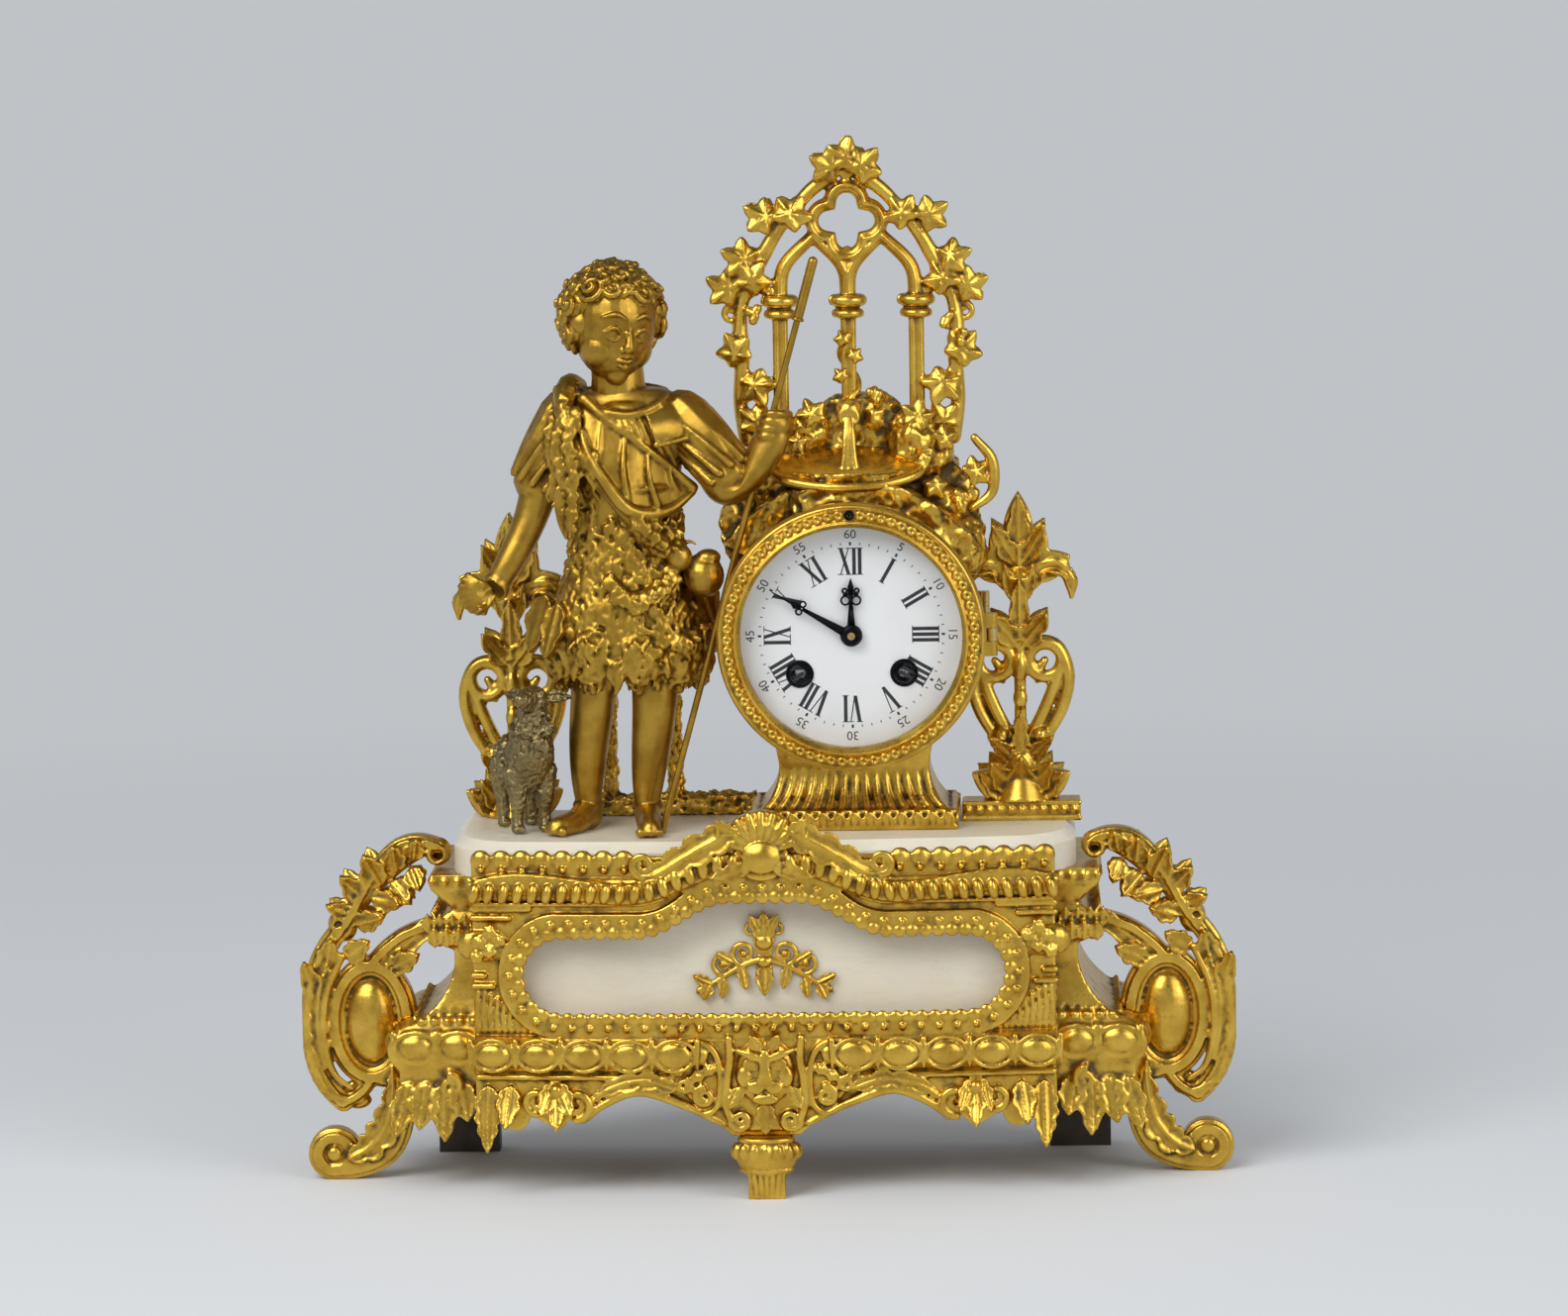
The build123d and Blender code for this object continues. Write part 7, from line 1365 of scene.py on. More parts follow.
def bar(low, high, wide):
    """A slanted stroke between two points with level ends."""
    (x, z), (top_x, top_z) = low, high
    half = wide / 2
    return [(x - half, z), (x + half, z), (top_x + half, top_z), (top_x - half, top_z)]


def letter_strokes(letter, x):
    """Strokes of one letter of a numeral, and the places of its serifs."""
    low, high = -NUMERAL_HALF, NUMERAL_HALF
    if letter == "I":
        return [bar((x, low), (x, high), NUMERAL_THICK)], [(x, low), (x, high)]
    if letter == "V":
        thick = bar((x, low), (x + V_LEFT, high), NUMERAL_THICK)
        thin = bar((x + V_FOOT, low), (x + V_RIGHT, high), NUMERAL_THIN)
        return [thick, thin], [(x + V_LEFT, high), (x + V_RIGHT, high)]
    thick = bar((x + X_HALF, low), (x - X_HALF, high), NUMERAL_THICK)
    thin = bar((x - X_HALF, low), (x + X_HALF, high), NUMERAL_THIN)
    return [thick, thin], [(x + side * X_HALF, z) for z in (high, low) for side in SIDES]


def roman(letters):
    """Strokes of a roman numeral that is centred."""
    strokes = []
    start = -sum(LETTER_WIDE[letter] for letter in letters) / 2
    for letter in letters:
        lines, feet = letter_strokes(letter, start + LETTER_WIDE[letter] / 2)
        strokes += lines
        strokes += [bar((x, z - SERIF_HALF), (x, z + SERIF_HALF), SERIF_WIDE) for x, z in feet]
        start += LETTER_WIDE[letter]
    return strokes


def minute_figures(clay, text, angle):
    """Small upright figures for the minutes, from the built-in typeface."""
    words = bpy.data.curves.new("figures", "FONT")
    words.body = text
    words.size = FIGURE_SIZE
    words.align_x = "CENTER"
    words.align_y = "CENTER"
    holder = linked("figures", words)
    data = bpy.data.meshes.new_from_object(holder.evaluated_get(bpy.context.evaluated_depsgraph_get()))
    points = on_dial([(v.co.x, v.co.y) for v in data.vertices], angle, FIGURE_RING)
    clay.add(flat(points, DIAL_FACE - INK_THICK), [tuple(p.vertices) for p in data.polygons])
    bpy.data.objects.remove(holder)
    bpy.data.meshes.remove(data)
    bpy.data.curves.remove(words)


def numerals_look():
    clay = Clay()
    depths = (DIAL_FACE - INK_THICK, DIAL_FACE)
    for hour, letters in enumerate(HOURS):
        for stroke in roman(letters):
            clay.slab(on_dial(stroke, hour * 30, NUMERAL_RING), *depths)
        minute_figures(clay, str(hour * 5 if hour else 60), hour * 30)
    for minute in range(60):
        wide, long = MINUTE_TICK if minute % 5 else HOUR_TICK
        clay.slab(on_dial(bar((0, -long / 2), (0, long / 2), wide), minute * 6, TICK_RING), *depths)
    place_piece(linked("dial_numerals", mesh_of("dial_numerals", clay)), "case", INK)


def winding_look():
    """Rims of the two winding holes, and dark rings inside them as painted shade."""
    clay = Clay()
    for side in SIDES:
        x = DRUM_X + side * WINDING_X
        clay.ring(ellipse(x, DIAL_FACE - 0.35, WINDING_Z, WINDING_RIM, WINDING_RIM, 37), 0.75, deep=0.6)
        # Painted shade: dark rings stepped back inside each hole, where the hole lies in shadow
        for radius in WINDING_SHADE_RADII:
            y = DIAL_FACE + 0.6 + 0.35 * (WINDING_RIM - radius)
            clay.ring(ellipse(x, y, WINDING_Z, radius, radius, 37), 0.42)
    smooth_piece("winding_rims_and_painted_shade", clay, "case", BLUED)


def hand_look(name, body, outlines, rings, hub, angle, y):
    """A pierced hand with its hub, replacing the plain solid of the same name."""
    clay = Clay()
    for outline in outlines:
        clay.slab(on_dial(outline, angle, 0), y - HAND_THICK / 2, y + HAND_THICK / 2)
    for across, outward, radius in rings:
        (x, z), = on_dial([(across, outward)], angle, 0)
        clay.ring(ellipse(x, y, z, radius, radius, 21), HAND_WIRE, sides=8)
    clay.ring(ellipse(DRUM_X, y, DRUM_Z, hub[0], hub[0], 25), hub[1], deep=0.5)
    smooth_piece(name + "_look", clay, body, BLUED, [name])


def bezel_look():
    clay = Clay()
    for grow, y, thick, sides in BEZEL_ROLLS:
        radius = BEAD_RING + grow
        clay.ring(ellipse(DRUM_X, BEZEL_FACE + y, DRUM_Z, radius, radius, 145), thick, sides=sides)
    for bead in range(BEAD_COUNT):
        (x, z), = on_dial([(0, 0)], FULL_TURN * bead / BEAD_COUNT, BEAD_RING)
        clay.ring(ellipse(x, BEZEL_FACE - 0.2, z, BEAD_LOOP, BEAD_LOOP, 15), 0.62, sides=7)
    cast("bezel_beads", clay, BEAD_VOXEL, 0, GILT, body="bezel_door")
    knob = Clay()
    x, z = DRUM_X, DRUM_Z + BEAD_RING
    knob.ring(ellipse(x, BEZEL_FACE - 0.6, z, SCREW_LOOP, SCREW_LOOP, 17), 0.6, sides=8)
    knob.ball((x, BEZEL_FACE - 0.2, z), SCREW_HEAD, BERRY)
    smooth_piece("bezel_screw", knob, "bezel_door", BLUED)


numerals_look()
winding_look()
hand_look("hour_hand", "hour_group", HOUR_HAND, HOUR_RINGS, HOUR_HUB, HOUR_HAND_TURN, HOUR_HAND_Y)
hand_look(
    "minute_hand", "minute_group", MINUTE_HAND, MINUTE_RINGS, MINUTE_HUB, MINUTE_HAND_TURN, MINUTE_HAND_Y)
bezel_look()


# Pedestal under the drum
PEDESTAL_FRONT = -14.0
PEDESTAL_BACK = 30.0
PEDESTAL_HALF = 35.3
PEDESTAL_LEAF_Z = SLAB_TOP + 1.0
PEDESTAL_LEAF = (6.0, 5.4, 10)
PEDESTAL_LEAVES_X = np.arange(-33.0, 34.0, 5.5)
PEDESTAL_LEAVES_Y = np.arange(-11.0, 29.0, 5.5)
PEDESTAL_FLUTES = np.linspace(-1, 1, 15)
PEDESTAL_FLUTE = ((32, 1.0, 6.5), (27, 5.0, 13), (25, 6.6, 22), (26.5, 5.4, 31))
PEDESTAL_RAILS = ((SLAB_TOP + 6.6, 0.0), (SLAB_TOP + 0.9, 0.4))


def pedestal_leaves(clay):
    for x in DRUM_X + PEDESTAL_LEAVES_X:
        for y, out in ((PEDESTAL_FRONT - 0.2, -1), (PEDESTAL_BACK + 0.2, 1)):
            clay.blade((x, y, PEDESTAL_LEAF_Z), (0, out * 0.08, 1.0), (0, out, 0), *PEDESTAL_LEAF)
    for y in PEDESTAL_LEAVES_Y:
        for side in SIDES:
            at = (DRUM_X + side * (PEDESTAL_HALF + 0.1), y, PEDESTAL_LEAF_Z)
            clay.blade(at, (side * 0.08, 0, 1.0), (side, 0, 0), *PEDESTAL_LEAF)


def pedestal_look():
    clay = Clay()
    clay.node("pedestal")
    pedestal_leaves(clay)
    for share in PEDESTAL_FLUTES:
        flute = [(DRUM_X + x * share, PEDESTAL_FRONT + y, SLAB_TOP + z) for x, y, z in PEDESTAL_FLUTE]
        clay.tube(through(flute, 12), (1.5, 1.2, 1.0, 1.0), sides=7)
    for z, grow in PEDESTAL_RAILS:
        half, front, back = PEDESTAL_HALF + grow, PEDESTAL_FRONT - grow, PEDESTAL_BACK + grow
        corner = [(-half, front), (half, front), (half, back), (-half, back)]
        for a, b in zip(corner, corner[1:] + corner[:1]):
            clay.tube([(DRUM_X + a[0], a[1], z), (DRUM_X + b[0], b[1], z)], 1.0, sides=6)
    cast("pedestal_look", clay, MIDDLE_VOXEL, 1, GILT, ["pedestal"])


pedestal_look()


# Rock, fountain and arch; places are given from the middle of the drum across
ARCH_Y = 8.0
ROCK_AT = np.array((DRUM_X, 0.0, 0.0))
ROCK_BALLS = (
    ((-30, 8, 232), (9, 10, 9), (9, 14)), ((32, 6, 238), (12, 12, 10), (9, 14)),
    ((41, 2, 224), (8, 10, 12), (9, 14)),
    ((-22, 10, 246), (9, 8, 12), (9, 14)), ((22, 2, 262), (10, 10, 12), (9, 14)),
    ((-14, 6, 264), (9, 8, 10), (9, 14)),
    ((10, 8, 270), (9, 8, 9), (9, 14)), ((30, 8, 254), (8, 9, 10), (9, 14)))
ROCK_GAP = 0.6
ROCK_LEFT = -21.0
ROCK_LEFT_FRONT = -4.0
ROCK_FRONT = -18.8
ROUGH_MIDDLE = 0.45
BASIN_TILT = 25.0
BASIN_AT = np.array((DRUM_X - 1.0, -3.6, 252.2))
BASIN_HALF = (27.0, 15.0, 4.6)
BASIN_RIM = (26.6, 14.6)
ROCK_IVY = (
    (-13, 3, 271, 25, 7.0), (-18, 1, 261, 70, 5.5), (24, 3, 270, -15, 7.5), (33, 1, 262, -70, 6.0),
    (36, 4, 232, -100, 7.0),
    (44, 1, 250, -60, 7.0), (30, 6, 246, -150, 5.5), (-30, 1, 240, 60, 5.5), (42, 0, 220, -120, 6.0))
ROCK_BUNCHES = (
    ((25, -4.5, 256), 4.6, 16, 11), ((9.5, 1.0, 277), 2.6, 7, 12), ((39, -3.0, 240), 3.4, 9, 13))
ROCK_HOOP = ((44, 0, 262), (50, 1, 254), (50, 1, 243), (43, 0, 237))
SPOUT = (((0, -3.4, 272.5), (4.8, 4.6, 4.6), ROUND),)
SPOUT_MOUTH = (-6.6, 270.5, 3.0)
WATER_STRANDS = (-1.3, 0.0, 1.3)
WATER_FALL = ((0.7, -7.0, 270), (1, -9.4, 264), (1.3, -10.4, 257), (2.0, -11.2, 250))
WRAP_TURNS = np.linspace(-1.2, 6.5, 40)
WRAP_IVY = ((-2.5, 284, 40), (2.0, 291, -40), (-2.0, 297, 20))
COLUMNS = (-24.0, 0.0, 24.0)
COLUMN_ENDS = (264, 312)
SHAFT_ENDS = (266, 308)
SHAFT_OFFS = ((-1.5, -1.4), (-1.5, 1.4), (1.5, -1.4), (1.5, 1.4))
COLUMN_RINGS = ((306.0, 4.2, 1.7), (310.6, 4.8, 2.2), (268.5, 3.6, 1.5))
LANCET_MIDDLE = 12.0
LANCET_SHARE = 0.86
LANCET_HEIGHTS = (310, 322.5, 333.5)
LANCET_EDGE = 2.3
ARCH_STEM = (
    (36.5, 262), (38.5, 276), (37.6, 290), (38.2, 301), (36.5, 312), (30, 326), (24, 336), (14, 348),
    (6.5, 354), (0, 360))
ARCH_TIES = (((12.8, 338.5), (18.4, 340.3), (24, 336)), ((24, 311.5), (30.2, 315), (36.5, 312)))
ARCH_SCROLLS = (((41.0, 0, 306), (3.6, 1.0), (90, 60, -430), 24, (1.3, 1.1, 0.8)),)
ROSE_Z = 338.5
ROSE_REACH = (8.0, 4.2, 0.8)
ROSE_LINES = ((0.0, 0.0, 2.5), (2.6, 0.6, 0.7), (-2.6, 0.6, 0.7))
ARCH_LEAVES = (
    (36.5, 262, 30), (36.5, 312, -60), (36.5, 312, 25), (36.5, 287, -30), (36.5, 287, 150),
    (24, 336, -50), (24, 336, 40), (30.2, 324, -75))
ARCH_TOP_LEAVES = ((0, 354, 0), (0, 354, -55), (0, 354, 55))
ARCH_LEAF_REACH = 6.6
ARCH_LEAF_SIZE = (8.0, 9.2)
ARCH_BERRIES = ((-33, 306), (34, 303), (39, 297))


def rocky(size, strength):
    """Moves points out and in like rough rock."""
    def change(place, normal):
        lift = [noise.turbulence(Vector(p) / size, 3, False) for p in place]
        return place + normal * ((np.array(lift) - ROUGH_MIDDLE) * strength)[:, None]
    return change


def rock_room(points):
    """Keeps the rock off the drum, the bezel, the arm and the staff."""
    points = points.copy()
    across, up = points[:, 0] - DRUM_X, points[:, 2] - DRUM_Z
    run = np.hypot(across, up)
    least = DRUM_RADIUS + ROCK_GAP
    grow = np.where(run < least, least / np.maximum(run, 1.0), 1.0)
    points[:, 0] = DRUM_X + across * grow
    points[:, 2] = DRUM_Z + up * grow
    front = np.where(points[:, 0] < DRUM_X + ROCK_LEFT, ROCK_LEFT_FRONT, ROCK_FRONT)
    points[:, 1] = np.maximum(points[:, 1], front)
    return points


def rock_look():
    clay = Clay()
    clay.node("rock_fountain")
    clay.balls(ROCK_BALLS, origin=ROCK_AT)
    clay.move(0, rock_room)
    cast("rock_fountain_look", clay, COARSE_VOXEL, 2, GILT, ["rock_fountain"], rocky(7.0, 1.6))


def bunch(clay, at, size, count, seed):
    """Grapes or berries in a hanging cluster."""
    rng = np.random.default_rng(SEED + seed)
    for step in range(count):
        drop = step / count
        spread = size * (1 - 0.75 * drop)
        off = (rng.uniform(-spread, spread), rng.uniform(-1.6, 0.4), size * (0.9 - 2.0 * drop))
        clay.ball(np.asarray(at) + off, rng.uniform(1.4, 1.9), BERRY)


def basin(clay):
    """Tilted shell basin with a rolled rim."""
    tilt = math.radians(BASIN_TILT)
    clay.ball(BASIN_AT, BASIN_HALF, (14, 40), (BASIN_TILT, 0, 0))
    rim = []
    for angle in np.linspace(0, 2 * np.pi, 61):
        across, deep = BASIN_RIM[0] * math.cos(angle), BASIN_RIM[1] * math.sin(angle)
        rim.append(BASIN_AT + (across, deep * math.cos(tilt), deep * math.sin(tilt) + 0.6))
    clay.ring(rim, 1.9)


def fountain(clay):
    """Spout with its stream of water."""
    clay.balls(SPOUT, origin=ROCK_AT)
    y, z, radius = SPOUT_MOUTH
    clay.ring(ellipse(DRUM_X, y, z, radius, radius, 25), 1.0)
    for strand in WATER_STRANDS:
        fall = [(DRUM_X + strand * spread, y, z) for spread, y, z in WATER_FALL]
        clay.tube(through(fall, 14), (0.9, 1.1, 1.4))


def rock_foliage():
    clay = Clay()
    basin(clay)
    for u, front, z, turn, size in ROCK_IVY:
        clay.ivy((DRUM_X + u, -front, z), (0.01 * u, -1, 0.2), turn, size, 1.3)
    for at, size, count, seed in ROCK_BUNCHES:
        bunch(clay, ROCK_AT + at, size, count, seed)
    clay.tube(through([ROCK_AT + p for p in ROCK_HOOP], 20), (1.6, 2.2, 2.0, 1.4))
    fountain(clay)
    wrap = [(DRUM_X + 3.2 * math.sin(a), ARCH_Y - 3.4 * math.cos(a), 275 + 3.6 * a) for a in WRAP_TURNS]
    clay.tube(wrap, (1.6, 1.4, 1.1))
    for u, z, turn in WRAP_IVY:
        clay.ivy((DRUM_X + u, ARCH_Y - 4.6, z), (0, -1, 0.15), turn, 4.0)
    cast("rock_foliage", clay, MIDDLE_VOXEL, 1, GILT)


def arch_point(u, z, front=0.0):
    return np.array((DRUM_X + u, ARCH_Y - front, z))


def arch_line(points, count, side=1, front=0.0):
    return through([arch_point(side * u, z, front) for u, z in points], count)


def arch_columns(clay):
    turns = np.linspace(0, 2 * np.pi, 24)
    for x in COLUMNS:
        clay.tube([arch_point(x, z) for z in COLUMN_ENDS], 2.4)
        for off, front in SHAFT_OFFS:
            clay.tube([arch_point(x + off, z, front) for z in SHAFT_ENDS], 1.3, sides=8)
        for z, radius, thick in COLUMN_RINGS:
            clay.ring([arch_point(x + radius * math.cos(a), z, radius * math.sin(a)) for a in turns], thick)


def lancets(clay, side):
    """The two pointed arches over the columns."""
    for start in (0.0, 2 * LANCET_MIDDLE):
        bend = LANCET_MIDDLE + (start - LANCET_MIDDLE) * LANCET_SHARE
        points = list(zip((start, bend, LANCET_MIDDLE), LANCET_HEIGHTS))
        clay.tube(arch_line(points, 24, side), (2.8, 2.7, 2.4))
        for front in (-LANCET_EDGE, LANCET_EDGE):
            clay.tube(arch_line(points, 24, side, front), (0.8, 0.8, 0.7), sides=6)


def arch_tracery(clay):
    for side in SIDES:
        lancets(clay, side)
        clay.tube(arch_line(ARCH_STEM, 60, side), (3.0, 2.5, 3.1, 2.4, 2.9, 2.4, 2.8, 2.3))
        for tie in ARCH_TIES:
            clay.tube(arch_line(tie, 9, side), 1.8)
        clay.scrolls(ARCH_SCROLLS, side, origin=arch_point(0, 0))
    clay.tube([arch_point(0, 350), arch_point(0, 362)], 1.9)
    clay.ball(arch_point(0, 324), (2.4, 2.0, 6.0))
    least, swing, sharp = ROSE_REACH
    for front, swell, thick in ROSE_LINES:
        rose = []
        for a in np.linspace(0, 2 * np.pi, 97):
            reach = least + swell + swing * abs(math.cos(2 * a)) ** sharp
            rose.append(arch_point(reach * math.cos(a), ROSE_Z + reach * math.sin(a), front))
        clay.ring(rose, thick)


def arch_leaves(clay):
    leaves = list(ARCH_TOP_LEAVES)
    for side in SIDES:
        leaves += [(side * u, z, side * tilt) for u, z, tilt in ARCH_LEAVES]
    rng = np.random.default_rng(SEED + 8)
    for u, z, tilt in leaves:
        turn = math.radians(tilt)
        at = arch_point(u - ARCH_LEAF_REACH * math.sin(turn), z + ARCH_LEAF_REACH * math.cos(turn), 3.4)
        size = rng.uniform(*ARCH_LEAF_SIZE)
        out = (rng.uniform(-0.35, 0.35), -1, rng.uniform(-0.2, 0.35))
        clay.ivy(at, out, tilt + rng.uniform(-12, 12), size, 1.5)
        out = (rng.uniform(-0.2, 0.2), 1, rng.uniform(-0.1, 0.3))
        clay.ivy(at + (0, 4.4, 0), out, -tilt, size - 0.6, 1.3)
        clay.tube([arch_point(u, z), at], 1.2, sides=6)
    for u, z in ARCH_BERRIES:
        bunch(clay, arch_point(u, z, 3.5), 2.4, 6, int(abs(u)))


def below_top(points):
    """Keeps the arch under the top of the part."""
    points = points.copy()
    points[:, 2] = np.minimum(points[:, 2], cad_high[2] / MM - TRIM_INSIDE)
    return points


def arch_look():
    clay = Clay()
    arch_columns(clay)
    arch_tracery(clay)
    arch_leaves(clay)
    clay.move(0, below_top)
    cast("gothic_arch_look", clay, MIDDLE_VOXEL, 1, GILT, ["gothic_arch"])


rock_look()
rock_foliage()
arch_look()


# Foliage ornaments at the ends, drawn from the middle of their foot
FLANKER_RIGHT = np.array((91.0, 11.0, SLAB_TOP + 7.0))
FLANKER_LEFT = np.array((-91.0, 30.0, SLAB_TOP))
FLANKER_LOW_LEAVES = ((-1.5, 17), (-0.8, 18), (0.0, 17), (0.8, 18), (1.5, 17))
FLANKER_SIDE_LEAVES = (
    ((2, 13), 1.6, (0.9, 0.2), (15, 6.0, 35, 3), 1.6),
    ((1.0, 55), 1.6, (0.75, 0.15), (17, 8.0, 45, 2), 1.6),
    ((1.0, 84), 1.4, (0.55, 0.15), (19, 7.5, 40, 2), 1.6),
    ((0.8, 70), 1.4, (0.3, 0.1), (16, 6.0, 25, 0), 1.4))
FLANKER_MIDDLE_LEAVES = (
    ((0, 60), 2.6, (0, 0.05), (20, 7.0, 25, 2), 1.6), ((0, 84), 2.0, (0, 0.02), (25.5, 8.0, 6, 3), 1.6),
    ((0, 17), 2.6, (0, 0.1), (15, 6.0, 15, 2), 1.4))
FLANKER_BERRIES = (((7.0, 2.0, 23), 2.9, PLAIN), ((-7.0, 2.0, 23), 2.9, PLAIN))
FLANKER_BUDS = (((0, 2.2, 36), (2.6, 2.2, 4.0), PLAIN), ((0, 2.2, 47), (2.4, 2.0, 5.4), PLAIN))
FLANKER_SCROLL = (
    (1.5, 10), (7.5, 20), (14.5, 32), (17.0, 44), (13.5, 54), (6.5, 56), (3.4, 50.5), (6.4, 46.5),
    (8.8, 49.4))
FLANKER_INNER = ((2.0, 15), (6.5, 26), (10.8, 37), (9.6, 43), (6.0, 42))
FLANKER_DROOP = ((1.5, 72), (6.5, 81), (13.5, 82.5), (18.0, 78), (18.6, 71))
FLANKER_RINGS = ((61, 3.6), (57.5, 3.0), (69, 2.6))
FLANKER_BEADS = np.arange(-19.0, 19.5, 3.8)
FLANKER_BEAD_AT = (7.0, -3.0)
FLANKER_RAILS = (-6.4, -0.6)
FLANKER_RAIL = (20.6, -6.8)


def flanker_leaves(clay, origin, front):
    """Leaves, berries and buds on the front or the back."""
    for lean, long in FLANKER_LOW_LEAVES:
        at = origin + (lean * 2, front * 2.0, 1.5)
        clay.blade(at, (lean, front * 0.35, 1.0), (0, front, 0.2), long, 9.0, 50, 3, thick=1.8)
    rows = [(row, side) for side in SIDES for row in FLANKER_SIDE_LEAVES]
    for ((u, z), out, (lean, tip), leaf, thick), side in rows + [(row, 1) for row in FLANKER_MIDDLE_LEAVES]:
        at = origin + (side * u, front * out, z)
        clay.blade(at, (side * lean, front * tip, 1.0), (0, front, 0), *leaf, thick=thick)
    for (u, out, z), radii, detail in FLANKER_BERRIES + FLANKER_BUDS:
        clay.ball(origin + (u, front * out, z), radii, detail)


def flanker_scrolls(clay, origin, side):
    """The lyre scroll, its inner scroll and the drooping leaf of one side."""
    def line(points, count):
        return through([origin + (side * u, 0, z) for u, z in points], count)

    clay.tube(line(FLANKER_SCROLL, 52), (1.6, 2.4, 2.6, 2.5, 2.1, 1.5), deep=1.15)
    clay.tube(line(FLANKER_INNER, 30), (1.1, 1.5, 1.4, 1.0), deep=1.1)
    droop = line(FLANKER_DROOP, 21)
    clay.frond(droop, 8.5, (side * 0.4, -0.8, 1.0), 3, thick=2.0, rib=1.0)
    clay.frond(droop, 7.5, (side * 0.4, 0.8, 1.0), 3, thick=2.0, rib=1.0)


def flanker_foot(clay, origin):
    """Beads and rails on the block below the right ornament."""
    out, low = FLANKER_BEAD_AT
    for u in FLANKER_BEADS:
        for front in SIDES:
            clay.ball(origin + (u, front * out, low), 1.4, SMALL)
    half, y = FLANKER_RAIL
    for z in FLANKER_RAILS:
        clay.tube([origin + (-half, y, z), origin + (half, y, z)], 0.9, sides=6)


def flanker_look(name, origin, on_block):
    clay = Clay()
    clay.node(name)
    for front in SIDES:
        flanker_leaves(clay, origin, front)
    for side in SIDES:
        flanker_scrolls(clay, origin, side)
    for z, radius in FLANKER_RINGS:
        clay.ring(np.add(level_ring(0, 0, z, radius, radius, 18), origin), 1.0, sides=6)
    if on_block:
        flanker_foot(clay, origin)
    else:
        clay.move(0, standing)
    cast(name + "_look", clay, MIDDLE_VOXEL, 1, GILT, [name])


def standing(points):
    """Keeps a piece on the slab."""
    points = points.copy()
    points[:, 2] = np.maximum(points[:, 2], SLAB_TOP)
    return points


flanker_look("flanker_right", FLANKER_RIGHT, True)
flanker_look("flanker_left", FLANKER_LEFT, False)


# Dress of the child; places are given from the point between the feet
TUNIC_HEIGHTS = (54.0, 62.0, 78.0, 100.0, 118.0, 136.0, 150.0)
TUNIC_HALVES = (27.0, 27.0, 25.0, 19.5, 19.0, 21.0, 20.0)
TUNIC_DEPTHS = (17.0, 17.0, 16.5, 13.5, 13.5, 14.5, 12.0)
TUNIC_SHIFT = 1.0
TUNIC_EDGE = 0.97
WOOL_TRIES = 6500
WOOL_PAST = (4, 5)
WOOL_HEIGHTS = (56, 150)
WOOL_SHOULDER = 139
WOOL_BACK = 4
NECK_LINE = (127, 0.85, 20)
FOLD_FROM = (-9, 113)
GOURD_FREE = (((28, -7, 93), 12), ((20, -11.5, 98), 6.5))
HEM_LOCKS = 34
HEM_AT = (62.0, 64)
HEM_SHARE = 0.98
HEM_TWIN = 1.2
TUFTS = ((-2.5, 62, 11, 9), (3.5, 63, 8, 8), (-9, 66, 6, 8), (10, 66, 6, 8))
TUFT_LEAN = 0.16
LOCK_POINTS = 6
LOCK_WAVE = 5.2
RUFF_PITCH = 1.6
RUFF_LOCKS = 4
PELT_EDGE = ((-12, 154, 2.0), (-4, 147, 2.2), (8, 138, 2.2), (18, 129, 2.0), (25, 122, 1.5))
PELT_HEM = (
    (-13, 150, 4.0), (-12, 139, 6.5), (-5, 126, 7.4), (4, 115.5, 7.2), (16, 114.5, 4.5), (25, 120.5, 2.0))
PELT_FOLDS = (
    ((-6, 148), (-6, 128), 4.6), ((2, 142), (3, 118), 6.2), ((10, 136), (13, 117), 5.6),
    ((17, 130), (21, 119), 3.6))
PELT_CREASE = ((3, 122, 6.0), (12, 123, 4.4), (21, 122.5, 2.6))
PELT_BAND = ((6, -19, 112), (12, -17.2, 107), (19, -12.5, 101))
PELT_SASH = ((-4, 91, 1.6), (2, 84, 1.6), (10, 85.5, 1.6), (16, 90.5, 1.6), (19, 97, 1.6))
PELT_SHOULDER = ((-15, 9, 157), (-18, 1, 158.5), (-19.5, -8, 154), (-19, -13, 147))
PELT_STRIPS = ((-21, -13, 117, 2.4), (-17, -15, 112, 2.2), (-24, -9, 121, 1.9))
PELT_TAIL = (((-20.5, -13, 120), (0.08, -0.05, -1), FRONT, 15, 5.5, 5, 0),)
PELT_FLAPS = (
    ((-22, -9, 82), (-0.25, -0.1, -1), (-22 / 30, -1, 0), 20, 9.5, 4, 3),
    ((-27, 2, 84), (-0.3, 0.1, -1), (-27 / 30, -1, 0), 22, 11, 4, 3),
    ((24, 5, 96), (0.25, 0.1, -1), (24 / 30, -1, 0), 30, 10, 4, 3))
SHIRT_CHEST = (((1.5, 0.5, 147.5), (21.0, 12.6, 10.6), (12, 24)),)
SHIRT_NECK = (
    (-13, -5, 154), (-7, -12.5, 150.5), (3, -14.5, 148.5), (11, -12.5, 150.5), (16, -5, 154),
    (14, 7, 155.5), (1, 10, 157),
    (-12, 6, 155.5), (-13, -5, 154))
SHIRT_PLEATS = 10
PLEAT_MIDDLE = 0.4
COLLAR_TOP = ((9, -13.5, 150), (15, -7, 154), (15.5, 2, 155.5), (12, 9, 156))
COLLAR_LOW = ((13, -16, 138), (21, -13.5, 139.5), (29, -8, 142), (32, 0, 143.5), (27, 9, 146))
SLEEVES = ((-1, (-19, 0, 147), (-30, 0, 125)), (1, (22, -1, 146), (37, -7, 128)))
SLEEVE_FOLDS = 11
SLEEVE_RADIUS = 10.3

